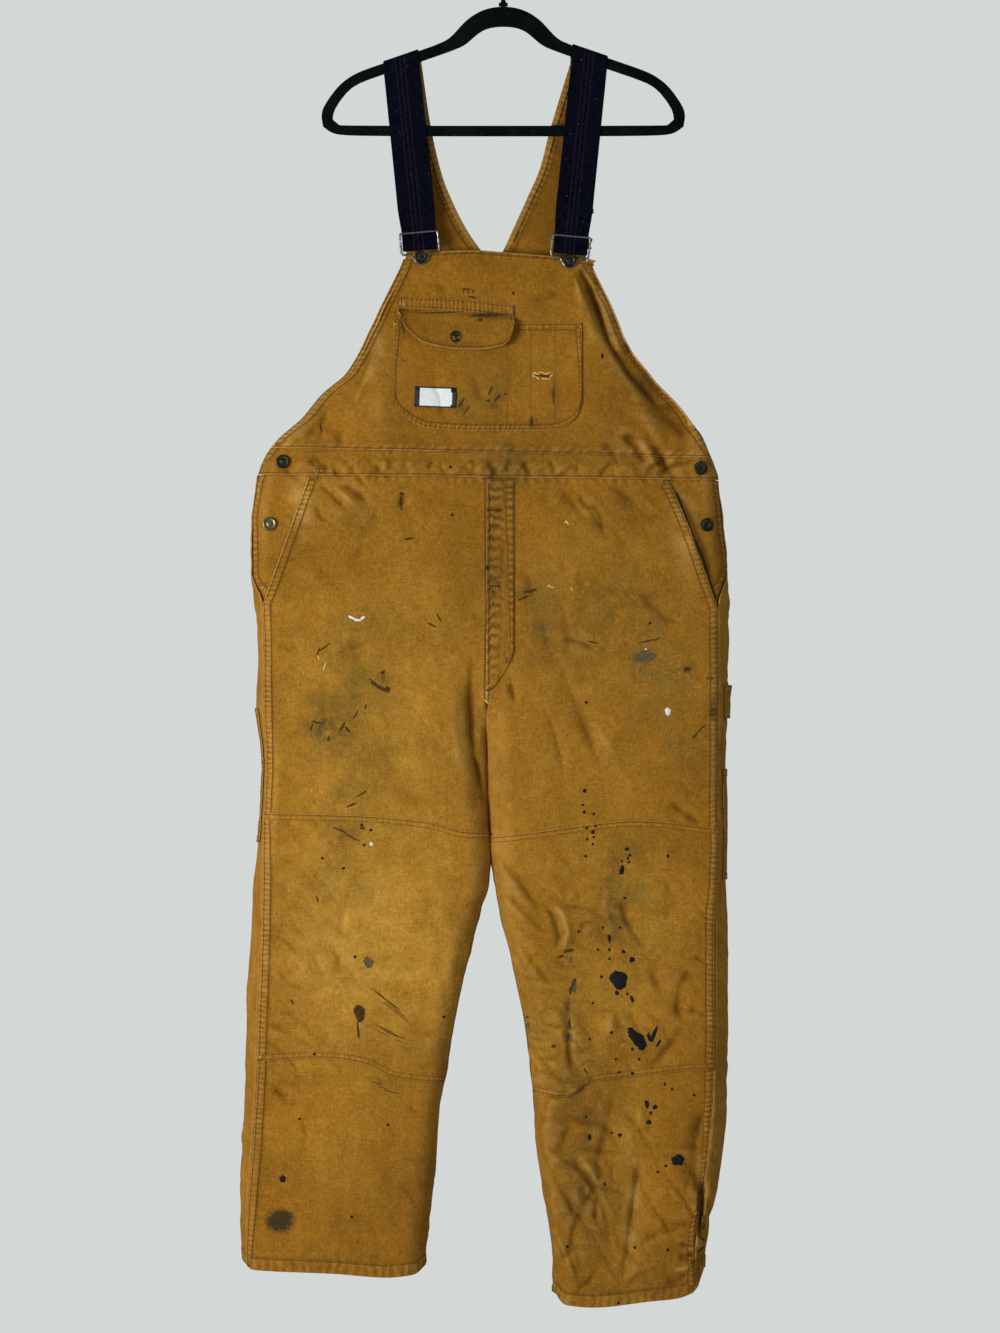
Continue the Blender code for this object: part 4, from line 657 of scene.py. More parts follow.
def rumpled(points, front):
    """The small unevenness of washed canvas, in metres."""
    slanting = np.stack([points[..., 0] + 0.6 * points[..., 2], points[..., 1], points[..., 2] * 0.8], -1)
    valleys = np.minimum(
        np.abs(value_noise(slanting, VALLEYS[0], GRID_SEED + 3)),
        0.2 + np.abs(value_noise(points, VALLEYS[1], GRID_SEED + 4)),
    )
    zone = np.where(front, soft_areas(FRONT_CRUMPLED, points[..., 0], points[..., 2]), BACK_CRUMPLED)
    total = CRUMPLE_HEIGHT * (CRUMPLE_ANYWHERE + zone) * valleys
    for k, (height, size, drawn_out) in enumerate(HILLS):
        total += height * value_noise(points * np.array([1.0, 1.0, drawn_out]), size, GRID_SEED + k)
    return total


def place(half, station, z, lift=0.0):
    """Points on the creased cloth at a lift off it, and the form's own normals there."""
    point = form(half, station, z)
    normal = form_normal(half, station, z)
    facing = normal[..., 1]
    x = point[..., 0]
    height = np.where(
        station <= 3, creased(FRONT_CREASES, len(FRONT_FOLDS), x, z) + fallen(x, z),
        creased(BACK_CREASES, len(BACK_FOLDS), x, z),
    )
    moved = point + normal * (lift + rumpled(point, station <= 3))[..., None]
    moved[..., 1] += np.sign(facing) * height * np.abs(facing)
    return moved, normal


# ---------------------------------------------------------------- cloth

# What an edge of a piece has: the width of its doubled band, how far apart the band's puckers are,
# how far in from the edge each row of stitches runs, how much the cloth is puffed up there, and
# how plain the puckers are to see.
Edge = namedtuple("Edge", "band puckers rows puff ladder")
RAW = Edge(0.0, 0.0, (), 0.0, 0.0)
SIDE_SEAM = Edge(0.0105, 0.0062, (0.0022, 0.0100), 0.0008, 0.85)
SIDE_FOLD = Edge(0.0050, 0.0240, (), 0.0008, 0.2)
INNER_SEAM = Edge(0.0070, 0.0060, (0.0022,), 0.0005, 0.30)
HEM = Edge(0.0150, 0.0110, (0.0140,), 0.0009, 0.60)
BIB_HEM = Edge(0.0125, 0.0075, (0.0020, 0.0115), 0.0009, 0.85)
BIB_TOP_HEM = Edge(0.0060, 0.0110, (0.0035,), 0.0006, 0.60)
PATCH_EDGE = Edge(0.0078, 0.0070, (0.0018, 0.0074), 0.0004, 0.25)
WAIST_EDGE = Edge(0.0085, 0.0135, (0.0022,), 0.0006, 0.60)
WAIST_FOOT = Edge(0.0180, 0.0150, (0.0022,), 0.0006, 0.32)
WAIST_LAP = Edge(0.0075, 0.0120, (), 0.0, 0.5)
PIECE_EDGE = Edge(0.0075, 0.0060, (0.0016, 0.0068), 0.0006, 0.85)
POCKET_HEM = Edge(0.0090, 0.0080, (0.0020, 0.0082), 0.0006, 0.60)
FLAP_EDGE = Edge(0.0060, 0.0060, (0.0030,), 0.0006, 0.55)
WELT_EDGE = Edge(0.0060, 0.0052, (0.0016,), 0.0004, 0.95)
FLY_INNER = Edge(0.0200, 0.0125, (0.0030,), 0.0007, 1.00)
FLY_OUTER = Edge(0.0095, 0.0090, (0.0014, 0.0095), 0.0006, 0.95)
Edges = namedtuple("Edges", "top foot first last")
# The radius on which a thin piece turns under, and how far its hidden edge then runs back.
THIN_RADIUS = 0.0006
TURNED_UNDER = 0.006
# A share of a band that no colour reads as part of it.
FAR_OFF = 3.0
# The shares of a band at which its puckers have gone and at which its cloth lies flat again.
PUCKERS_END, PUFF_END = 1.25, 1.15
# How often the cloth is smoothed to tell its troughs, and how deep a whole one is.
TROUGH_STEPS, TROUGH_DEPTH = 6, 0.0010
# Points nearer than this are made one, where grids of cloth meet.
MET = 0.00003

SEWN = []
BUILT = {}


def put(name, data, surface, slot, *nodes):
    """Puts a piece into the scene on the one body, in place of the CAD nodes that it stands for."""
    thing = bpy.data.objects.new(name, data)
    bpy.context.scene.collection.objects.link(thing)
    data.materials.append(surface)
    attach(thing, "root")
    if nodes:
        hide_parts(*nodes)
    return thing


def lengths_down(points):
    """The length of a line of points up to each."""
    return np.concatenate([[0], np.cumsum(np.linalg.norm(np.diff(points, axis=0), axis=1))])


def step_lengths(points, axis):
    """The length of cloth from the first row or column to each, and from each to the last."""
    steps = np.linalg.norm(np.diff(points, axis=axis), axis=-1)
    pad = [(0, 0), (0, 0)]
    pad[axis] = (1, 0)
    run = np.cumsum(np.pad(steps, pad), axis=axis)
    return run, run.take([-1], axis=axis) - run


def grid_normals(points, like):
    """The normals of a grid of points, on the same side as those given."""
    normal = unit(np.cross(np.gradient(points, axis=1), np.gradient(points, axis=0)))
    flip = np.sign(np.sum(normal * like, -1, keepdims=True))
    return normal * np.where(flip == 0, 1, flip)


def bend(points, width):
    """How much the cloth is in a trough (above 0) or on a ridge (below 0), by its near neighbours."""
    soft = points
    for _ in range(width):
        padded = np.pad(soft, ((1, 1), (1, 1), (0, 0)), mode="edge")
        soft = (padded[:-2, 1:-1] + padded[2:, 1:-1] + padded[1:-1, :-2] + padded[1:-1, 2:]) / 4
    return soft - points


def read_along(run, grid, at):
    """Points or normals given at rising lengths, read at one length."""
    return [np.interp(at, run, grid[:, k]) for k in range(3)]


def sew(points, normals, distance, row, axis):
    """A row of stitches at a distance in from an edge, where distance is that from the edge."""
    if axis == 1:
        points, normals, distance = (np.swapaxes(a, 0, 1) for a in (points, normals, distance))
    line, out = [], []
    for j in range(points.shape[1]):
        order = np.argsort(distance[:, j])
        run = distance[order, j]
        if run[-1] < row * 1.5:
            continue
        line.append(read_along(run, points[order, j], row))
        out.append(read_along(run, normals[order, j], row))
    if len(line) > 2:
        SEWN.append((np.array(line), np.array(out)))


def rim(points, normals, values, at_end, axis, radius):
    """Adds an edge that turns under on a small radius, with the cloth's own edge pulled in to suit."""

    def turn(grid):
        grid = np.swapaxes(grid, 0, 1) if axis == 1 else grid
        return grid[::-1] if at_end else grid

    def turn_back(grid):
        grid = grid[::-1] if at_end else grid
        return np.swapaxes(grid, 0, 1) if axis == 1 else grid

    points, normals = turn(points), turn(normals)
    out = unit(points[0] - points[1])
    edge = points[0] - out * radius
    rows, sides = [edge - out * TURNED_UNDER - normals[0] * 2 * radius], [-normals[0]]
    for degrees in (180, 135, 90, 45, 0):
        angle = math.radians(degrees)
        rows.append(edge + (out * math.sin(angle) + normals[0] * (math.cos(angle) - 1)) * radius)
        sides.append(normals[0] * math.cos(angle) + out * math.sin(angle))
    added = len(rows) - 1
    made = {}
    for name, value in values.items():
        value = turn(value)
        made[name] = np.concatenate([np.repeat(value[:1], added, axis=0), value])
    made["edge"][1:added] = 1.0
    points = turn_back(np.concatenate([rows, points[1:]]))
    normals = turn_back(np.concatenate([sides, normals[1:]]))
    return points, normals, {name: turn_back(value) for name, value in made.items()}


def mesh_of(name, parts, surface, slot, *nodes, fused=False):
    """A piece from grids of points, each with its normals and its values by name."""
    verts, faces, columns = [], [], {}
    base = 0
    for points, normals, values in parts:
        rows, across = points.shape[:2]
        index = base + np.arange(rows * across).reshape(rows, across)
        corners = [index[:-1, :-1], index[1:, :-1], index[1:, 1:], index[:-1, 1:]]
        face = np.stack(corners, -1).reshape(-1, 4)
        i, j = rows // 2, across // 2
        way = np.cross(points[i - 1, j] - points[i, j], points[i, j - 1] - points[i, j])
        if np.dot(way, normals[i, j]) < 0:
            face = face[:, ::-1]
        verts.append(points.reshape(-1, 3))
        faces.append(face)
        for key, value in values.items():
            columns.setdefault(key, []).append(value.reshape(-1))
        base += rows * across
    verts, faces = np.concatenate(verts), np.concatenate(faces)
    made = bpy.data.meshes.new(name)
    made.vertices.add(len(verts))
    made.vertices.foreach_set("co", verts.astype(np.float32).ravel())
    made.loops.add(faces.size)
    made.loops.foreach_set("vertex_index", faces.astype(np.int32).ravel())
    made.polygons.add(len(faces))
    made.polygons.foreach_set("loop_start", np.arange(0, faces.size, 4, dtype=np.int32))
    made.polygons.foreach_set("loop_total", np.full(len(faces), 4, np.int32))
    made.update(calc_edges=True)
    for key, value in columns.items():
        attribute = made.attributes.new(key, "FLOAT", "POINT")
        attribute.data.foreach_set("value", np.concatenate(value).astype(np.float32))
    if fused:
        shape = bmesh.new()
        shape.from_mesh(made)
        bmesh.ops.remove_doubles(shape, verts=shape.verts, dist=MET)
        shape.to_mesh(made)
        shape.free()
    made.shade_smooth()
    BUILT[name] = put(f"{name}_cloth", made, surface, slot, *nodes)
    return BUILT[name]


def plain_mesh(name, verts, faces, surface, slot):
    """A smooth piece from its points and faces, which stands for no CAD node."""
    mesh = bpy.data.meshes.new(name)
    mesh.from_pydata(verts, [], faces)
    mesh.shade_smooth()
    return put(name, mesh, surface, slot)


def worked(points, like, edges, rims=(1, 1, 1, 1), radius=0.0008, front=True, bare=1.0):
    """A grid of cloth with its bands puffed, its edges turned under, its stitches, and its values.

    Bare is how much of the cloth's pale core its turned edges show.
    """
    size = points.shape[:2]
    down, up = step_lengths(points, 0)
    right, left = step_lengths(points, 1)
    normals = grid_normals(points, like)
    band, run, puff = np.zeros(size), np.zeros(size), np.zeros(size)
    nearest, across, from_row = np.full(size, 1e9), np.full(size, FAR_OFF), np.full(size, FAR_OFF)
    sides = (
        (edges.top, down, right), (edges.foot, up, right),
        (edges.first, right, down), (edges.last, left, down),
    )
    for edge, distance, length in sides:
        if edge.band == 0:
            continue
        share = distance / edge.band
        closer = share < nearest
        ends_in_stitches = bool(edge.rows) and edge.rows[-1] > 0.8 * edge.band
        by_the_edge = bool(edge.rows) and edge.rows[0] < 0.004
        band = np.where(closer, np.clip(PUCKERS_END - share, 0, 1) ** 0.5 * edge.ladder, band)
        across = np.where(closer, share if ends_in_stitches else FAR_OFF, across)
        from_row = np.where(closer, distance / edge.rows[0] if by_the_edge else FAR_OFF, from_row)
        run = np.where(closer, length / edge.puckers, run)
        nearest = np.where(closer, share, nearest)
        puff = np.maximum(puff, edge.puff * ease((PUFF_END - share) / 0.3))
    points = points + normals * puff[..., None]
    # How far the cloth lies in a trough or on a ridge: the material paints shade and dirt into troughs, and a
    # highlight and rubbing onto ridges.
    hollow = np.sum(bend(points, TROUGH_STEPS) * normals, -1)
    x, z = points[..., 0], points[..., 2]
    values = {
        "band": band,
        "run": run,
        "across_band": np.minimum(across, FAR_OFF),
        "from_row": np.minimum(from_row, FAR_OFF),
        "hollow": np.clip(hollow / TROUGH_DEPTH, -1.5, 1.5),
        "edge": np.zeros(size),
    }
    for name, on_front, on_back in WORN:
        values[name] = soft_areas(on_front if front else on_back, x, z)
    for (edge, distance, _), axis in zip(sides, (0, 0, 1, 1)):
        for row in edge.rows:
            sew(points, normals, distance, row, axis)
    for on, at_end, axis in zip(rims, (False, True, False, True), (0, 0, 1, 1)):
        if on:
            points, normals, values = rim(points, normals, values, at_end, axis, radius)
    values["edge"] = values["edge"] * bare
    return points, normals, values


def even_grid(half, first, last, top, foot, step, lift=0.0, guess=None):
    """Places between two stations and two lines, evenly apart, and their normals.

    The stations and lines are functions: of the height, and of the place across.
    """
    x_guess = half.sign * 0.12 if guess is None else guess
    level_there = np.array([(top(x_guess) + foot(x_guess)) / 2])
    tall = abs(top(x_guess) - foot(x_guess))
    ends = [form(half, np.array([end(level_there)[0]]), level_there)[0] for end in (first, last)]
    wide = max(np.linalg.norm(ends[0] - ends[1]), 0.02)
    rows, columns = max(int(tall / step), 3) + 1, max(int(wide / step), 3) + 1
    v, u = np.meshgrid(np.linspace(0, 1, rows), np.linspace(0, 1, columns), indexing="ij")
    x = np.full(u.shape, x_guess)
    for _ in range(6):
        z = top(x) + (foot(x) - top(x)) * v
        station = even_station(half, z, first(z), last(z), u)
        x = form(half, station, z)[..., 0]
    return place(half, station, z, lift)


# ---------------------------------------------------------------- where the cloth is worn and dirty, and where shade and highlights are painted on it

# Soft areas as (across, height, half width, half height, strength), in millimetres but for the last.
FRONT_FADED = (
    (-95, -987, 40, 70, 0.45), (-107, -1262, 45, 70, 0.6), (-89, -817, 35, 60, 0.25),
    (206, -1188, 35, 40, 0.35), (-184, -1195, 75, 105, 1), (-126, -1121, 70, 60, 0.45),
    (-160, -939, 80, 95, 0.42), (-193, -1475, 70, 60, 0.24), (118, -841, 85, 110, 0.3),
    (118, -1134, 60, 50, 0.3), (133, -1292, 60, 70, 0.42), (155, -1524, 22, 80, 0.3),
    (82, -1024, 50, 60, 0.3), (-247, -841, 45, 80, 0.22), (-77, -792, 35, 90, 0.18),
    (-193, -670, 60, 16, 0.22), (69, -488, 50, 60, 0.16), (-162, -548, 30, 60, 0.2),
)
# Ground-in dirt, and painted shade: along the bib's fallen right edge, under the pocket strip and by the
# flap's left corner, along some creases, and in the crevice behind the right hem's curled corner.
FRONT_GRIME_AND_SHADE = (
    (185, -488, 40, 60, 0.2), (206, -792, 50, 60, 0.16), (143, -1611, 70, 22, 0.22),
    (-156, -555, 30, 30, 0.12), (-10, -743, 10, 85, 0.55), (-9, -646, 14, 12, 0.6),
    (167, -1097, 45, 14, 0.3), (-218, -939, 18, 22, 0.65), (-184, -851, 12, 10, 0.45),
    (-187, -907, 6, 6, 0.5), (-145, -892, 6, 10, 0.5), (-193, -951, 6, 8, 0.4), (254, -930, 8, 12, 0.7),
    (167, -863, 14, 8, 0.55), (-50, -563, 16, 14, 0.55), (-13, -558, 14, 22, 0.45),
    (34, -575, 12, 12, 0.55), (62, -544, 5, 16, 0.55), (-43, -475, 20, 16, 0.35),
    (-4, -536, 10, 10, 0.5), (-89, -441, 22, 4, 0.45), (-17, -447, 26, 4, 0.75), (1, -634, 12, 14, 0.5),
    (6, -619, 50, 16, 0.3), (106, -624, 50, 12, 0.2), (-222, -590, 12, 24, 0.45),
    (-247, -561, 12, 22, 0.2), (147, -670, 30, 12, 0.15), (117, -427, 6, 22, 0.6),
    (133, -466, 7, 20, 0.65), (152, -500, 8, 18, 0.6), (177, -531, 10, 16, 0.55),
    (201, -563, 12, 16, 0.45), (101, -392, 5, 14, 0.5), (-123, -463, 4, 10, 0.6),
    (87, -1475, 24, 60, 0.42), (99, -1554, 22, 50, 0.36), (113, -1426, 14, 40, 0.3),
    (228, -1451, 14, 60, 0.3), (240, -1538, 3, 26, 1), (236, -1592, 8, 14, 0.6),
    (104, -1335, 20, 45, 0.32), (133, -1158, 14, 45, 0.62), (126, -1188, 12, 18, 0.5),
    (160, -1237, 18, 22, 0.3), (30, -787, 12, 8, 0.45), (77, -847, 24, 45, 0.3),
    (41, -843, 14, 20, 0.36), (169, -800, 34, 26, 0.3), (223, -880, 8, 6, 0.6),
    (255, -902, 6, 30, 0.45), (118, -792, 40, 50, 0.16), (-184, -851, 16, 18, 0.4),
    (-187, -902, 14, 12, 0.45), (-217, -948, 16, 8, 0.5), (-196, -958, 16, 10, 0.45),
    (-167, -1014, 16, 18, 0.42), (-165, -984, 18, 16, 0.26), (-193, -1078, 26, 12, 0.5),
    (-219, -1138, 6, 28, 0.45), (-199, -1134, 20, 30, 0.26), (-272, -1550, 10, 8, 0.75),
    (-123, -675, 4, 14, 0.5), (-116, -720, 10, 3, 0.5), (-266, -1195, 14, 20, 0.2),
    (82, -1329, 12, 70, 0.35), (106, -1262, 40, 20, 0.2), (-266, -1560, 50, 40, 0.22),
    (-126, -1560, 50, 40, 0.22), (167, -1633, 80, 18, 0.4), (-199, -1599, 100, 12, 0.3),
    (69, -366, 30, 12, 0.3), (-59, -380, 50, 12, 0.2), (167, -548, 30, 60, 0.2),
    (69, -914, 40, 60, 0.14),
)
FRONT_GREASY = (
    (-189, -890, 46, 75, 0.8), (-223, -963, 30, 20, 0.5), (-193, -1038, 40, 18, 0.7),
    (52, -819, 34, 42, 0.75), (196, -865, 50, 60, 0.75), (211, -969, 45, 40, 0.5),
    (118, -743, 60, 30, 0.35), (-187, -695, 45, 24, 0.35), (150, -1164, 26, 50, 0.8),
    (-184, -1134, 24, 26, 0.6), (69, -1329, 26, 50, 0.6), (100, -1499, 50, 90, 0.45),
    (-4, -634, 36, 20, 0.6), (-28, -548, 40, 30, 0.45), (118, -609, 50, 20, 0.3),
)
# Rubbed cloth, and painted highlights on ridges of the bib and the right shin and along the right pocket's
# mouth.
FRONT_RUBBED_AND_HIGHLIT = (
    (-187, -1231, 60, 60, 0.12), (157, -1530, 6, 55, 0.3), (-155, -481, 6, 50, 0.35),
    (-247, -676, 10, 30, 0.3), (221, -707, 10, 40, 0.25),
)
# Black stains, and painted shade: in the crevice behind the right hem's curled corner, in the left side
# pocket's mouth, and under the pocket strip.
FRONT_BLACK_STAINS_AND_SHADE = (
    (-272, -1550, 12.5, 10.5, 0.95), (-267, -1543, 6, 5, 0.6), (-184, -1291, 1, 1, 0.2),
    (240, -1536, 3.6, 23, 1), (236, -1572, 4, 8, 0.8), (239, -1599, 5, 5, 0.75), (-301, -924, 3, 10, 1),
    (-218, -939, 9, 8, 0.3), (171, -862, 6, 4, 0.45), (79, -1221, 6, 3, 0.4), (255, -930, 5, 10, 0.55),
    (251, -890, 4, 4, 0.45), (30, -1314, 6, 5, 0.3), (85, -1262, 2.2, 8, 0.45),
    (-17, -447, 26, 2.6, 0.55), (34, -578, 4, 6, 0.45), (-13, -558, 6, 7, 0.34),
    (-49, -562, 6, 6, 0.34), (-146, -890, 3, 8, 0.4), (0, -636, 6, 7, 0.3),
)
BACK_FADED = (
    (-160, -820, 80, 70, 0.6), (130, -820, 80, 70, 0.6), (-20, -480, 90, 90, 0.25),
    (-190, -1180, 60, 110, 0.35), (150, -1190, 60, 110, 0.35), (-200, -1480, 60, 80, 0.25),
    (140, -1500, 60, 80, 0.25),
)
BACK_GRIME = (
    (-20, -640, 90, 18, 0.3), (-130, -870, 60, 30, 0.35), (110, -870, 60, 30, 0.35),
    (-200, -1585, 90, 22, 0.5), (150, -1625, 80, 22, 0.55), (240, -960, 30, 60, 0.4),
    (-250, -1000, 30, 60, 0.35),
)
BACK_RUBBED = (
    (-160, -830, 40, 30, 0.35), (130, -830, 40, 30, 0.35),
)
# What is kept for each point of the cloth, with the soft areas on the front and on the back.
WORN = (
    ("faded", FRONT_FADED, BACK_FADED), ("grime", FRONT_GRIME_AND_SHADE, BACK_GRIME),
    ("rubbed", FRONT_RUBBED_AND_HIGHLIT, BACK_RUBBED), ("black", FRONT_BLACK_STAINS_AND_SHADE, ()), ("greasy", FRONT_GREASY, BACK_GRIME),
)


# ---------------------------------------------------------------- colours and materials


def srgb(text):
    """A colour from its sRGB hex code."""
    parts = [int(text[i : i + 2], 16) / 255 for i in (1, 3, 5)]
    return tuple(c / 12.92 if c <= 0.04045 else ((c + 0.055) / 1.055) ** 2.4 for c in parts)


def add(tree, kind, inputs=(), out=0, **settings):
    """Adds a node with its settings, its inputs set or linked in order or by name, and gives one output."""
    made = tree.nodes.new(f"ShaderNode{kind}")
    for name, value in settings.items():
        setattr(made, name, value)
    for key, value in (inputs if isinstance(inputs, dict) else dict(enumerate(inputs))).items():
        socket = made.inputs[key]
        if isinstance(value, bpy.types.NodeSocket):
            tree.links.new(value, socket)
        else:
            socket.default_value = (*value, 1) if socket.type == "RGBA" else value
    return made.outputs[out]


def blank(name):
    """A new material, its node tree, its surface's inputs, and the place on the object."""
    made = bpy.data.materials.new(name)
    made.use_nodes = True
    tree = made.node_tree
    return made, tree, tree.nodes["Principled BSDF"].inputs, add(tree, "TexCoord", out="Object")


def patches(tree, place, scale, detail, low=0.0, high=1.0, stretch=(1, 1, 1), to=(0.0, 1.0)):
    """A share in random patches about 1/scale metres across: nothing up to low and whole from high."""
    moved = add(tree, "Mapping", {"Vector": place, "Scale": stretch})
    pattern = add(tree, "TexNoise", {"Vector": moved, "Scale": scale, "Detail": detail, "Roughness": 0.6})
    return add(tree, "MapRange", (pattern, low, high, *to))


def product(tree, value, *others):
    for other in others:
        value = add(tree, "Math", (value, other), operation="MULTIPLY")
    return value


def layered(tree, colour, *layers):
    """A colour under layers of others, each with the share of the surface that it covers."""
    for share, over in layers:
        colour = add(tree, "Mix", {0: share, 6: colour, 7: over}, 2, data_type="RGBA")
    return colour


def finished(tree, surface, colour, roughness, specular=0.5, relief=None):
    """Gives a surface its colour, its shine, and its fine relief as a height, a strength and a depth."""
    tree.links.new(colour, surface["Base Color"])
    surface["Roughness"].default_value = roughness
    surface["Specular IOR Level"].default_value = specular
    if relief:
        bump = add(tree, "Bump", dict(zip(("Height", "Strength", "Distance"), relief)))
        tree.links.new(bump, surface["Normal"])


def canvas(colours):
    """Cotton duck dyed brown, washed thin and faded, which gives a dull, mottled, streaky cloth with pale
    rubbed edges, dark seams and ground-in dirt. Its troughs, seam grooves and the gaps between puckers also
    get painted shade, and its ridges, puckers and seam lips painted highlights."""
    made, tree, surface, place = blank("washed_cotton_duck")
    names = ("band", "run", "across_band", "edge", "hollow", "from_row", *(name for name, _, _ in WORN))
    band, run, across, edge, hollow, from_row, faded, grime, rubbed, black, greasy = (
        add(tree, "Attribute", out="Fac", attribute_name=name) for name in names
    )
    gold, deep, pale = colours.gold, colours.deep, colours.pale

    # Washed duck is uneven from a thread's width to a hand's. The threads are 0.5 mm apart, too fine
    # to see at this distance, so the grain is drawn at 1.5 to 3 mm.
    blotch = patches(tree, place, 42.0, 5.0)
    fleck = patches(tree, place, 330.0, 2.0)
    warp = patches(tree, place, 330.0, 2.0, stretch=(1.6, 1.0, 0.45))
    weft = patches(tree, place, 330.0, 2.0, stretch=(0.45, 1.0, 1.6))
    threads = add(tree, "Math", (add(tree, "Math", (weft, warp)), patches(tree, place, 520.0, 3.0)))
    colour = layered(
        tree, colours.brown,
        (product(tree, add(tree, "MapRange", (blotch, 0.3, 0.7, 0.55, 1.25)), faded), gold),
        (patches(tree, place, 11.0, 3.0, 0.35, 0.68, to=(0.0, 0.34)), deep),
        (add(tree, "MapRange", (blotch, 0.50, 0.78, 0.0, 0.10)), gold),
        (
            product(
                tree, patches(tree, place, 30.0, 6.0, 0.36, 0.66),
                add(tree, "MapRange", (greasy, 0.0, 1.0, 0.08, 0.93)),
            ),
            colours.olive,
        ),
        (add(tree, "MapRange", (fleck, 0.61, 0.72, 0.0, 0.30)), deep),
        (add(tree, "MapRange", (fleck, 0.42, 0.30, 0.0, 0.10)), pale),
    )
    grey = add(tree, "MapRange", (threads, 1.18, 1.82, 0.78, 1.22))
    shade = add(tree, "CombineColor", (grey, grey, grey))
    colour = add(tree, "Mix", {0: 1.0, 6: colour, 7: shade}, 2, data_type="RGBA", blend_type="MULTIPLY")

    # Along a seam the doubled cloth shrinks into a ladder of puckers, with a painted highlight on the top of
    # each and painted shade between.
    wobble = add(tree, "Math", (patches(tree, place, 60.0, 2.0), 1.4, run), operation="MULTIPLY_ADD")
    wave = add(tree, "Math", (product(tree, wobble, 2 * math.pi),), operation="SINE")
    ladder = product(tree, wave, band, patches(tree, place, 24.0, 2.0, 0.36, 0.62, to=(0.35, 1.15)))
    sunk = (
        add(tree, "MapRange", (across, 1.25, 1.0, 0, 1)),
        add(tree, "MapRange", (across, 0.86, 1.0, 0, 1)),
        add(tree, "MapRange", (band, 0.05, 0.42, 0.1, 0.72)),
    )
    ragged = product(tree, patches(tree, place, 240.0, 4.0, 0.25, 0.75, to=(0.55, 1.45)), black)
    colour = layered(
        tree, colour,
        # Troughs are darkened with painted shade and dirt, and ridges are lightened with a painted highlight
        # and rubbing.
        (add(tree, "MapRange", (hollow, 0.05, 1.1, 0.0, 0.62)), deep),
        (add(tree, "MapRange", (hollow, -0.15, -1.3, 0.0, 0.26)), pale),
        # Rubbed patches, with painted highlights on ridges and edges among them.
        (product(tree, add(tree, "MapRange", (blotch, 0.40, 0.62, 0, 1)), rubbed), pale),
        (add(tree, "MapRange", (ladder, 0.0, 1.0, 0.0, 0.17)), pale),
        (add(tree, "MapRange", (ladder, 0.0, -1.0, 0.0, 0.66)), deep),
        # Painted shade along the line where a band's doubled cloth steps down to single cloth.
        (product(tree, *sunk), deep),
        # The first row of stitches pulls a groove, darkened with painted shade, and the lip outside it is
        # lightened with a painted highlight and rubbing.
        (
            product(
                tree, add(tree, "MapRange", (from_row, 1.75, 1.2, 0.0, 0.62)),
                add(tree, "MapRange", (from_row, 0.45, 0.95, 0, 1)),
            ),
            deep,
        ),
        (add(tree, "MapRange", (from_row, 0.65, 0.25, 0.0, 0.14)), pale),
        # A turned edge wears first, down to its pale core, here and there.
        (product(tree, patches(tree, place, 90.0, 3.0, 0.35, 0.60, to=(0.05, 0.40)), edge), pale),
        # Ground-in dirt and black stains, which also carry painted shade from their tables.
        (product(tree, patches(tree, place, 70.0, 5.0, 0.36, 0.66, to=(0.0, 0.85)), grime), colours.soot_and_shade),
        (add(tree, "MapRange", (ragged, 0.22, 0.62, 0.0, 0.9)), colours.soot_and_shade),
    )
    weave = add(tree, "Math", (threads, 0.55, product(tree, blotch, 0.6)), operation="MULTIPLY_ADD")
    height = add(tree, "Math", (ladder, 0.45, weave), operation="MULTIPLY_ADD")
    finished(tree, surface, colour, 0.95, 0.06, (height, 0.75, 0.0011))
    return made


def sewing_thread(colours):
    """Waxed cotton thread gone dark with dirt, which draws each seam as a dotted line."""
    made, tree, surface, place = blank("waxed_cotton_thread")
    worn = patches(tree, place, 35.0, 3.0, 0.35, 0.70)
    finished(tree, surface, layered(tree, colours.thread, (worn, colours.thread_pale)), 0.85)
    return made


def webbing(colours):
    """Rubber-cored elastic knitted in navy polyester, which gives close ribs down its length and three
    dotted purple lines."""
    made, tree, surface, place = blank("knitted_elastic_webbing")
    across = add(tree, "Attribute", out="Fac", attribute_name="across")
    down = add(tree, "Attribute", out="Fac", attribute_name="down")
    # The real ribs are 0.8 mm apart, drawn at 1.6 mm so that they still show.
    rib, pick = (
        add(tree, "Math", (product(tree, value, 2 * math.pi / apart),), operation="SINE")
        for value, apart in ((across, 0.0016), (down, 0.0040))
    )
    lines = 0.0
    for centre in (-0.0066, -0.0012, 0.0042):
        off = add(tree, "Math", (across, centre), operation="SUBTRACT")
        off = add(tree, "Math", (off,), operation="ABSOLUTE")
        lines = add(tree, "Math", (add(tree, "MapRange", (off, 0.0012, 0.0005, 0.0, 1.0)), lines))
    colour = layered(
        tree, colours.webbing,
        (patches(tree, place, 160.0, 4.0, 0.35, 0.70), colours.webbing_worn),
        (product(tree, lines, add(tree, "MapRange", (pick, -0.5, 0.6, 0.25, 1.0))), colours.stripe),
        (patches(tree, place, 330.0, 2.0, 0.735, 0.76), colours.lint),
    )
    height = add(tree, "Math", (pick, 0.4, rib), operation="MULTIPLY_ADD")
    finished(tree, surface, colour, 0.9, 0.02, (height, 0.5, 0.0004))
    return made


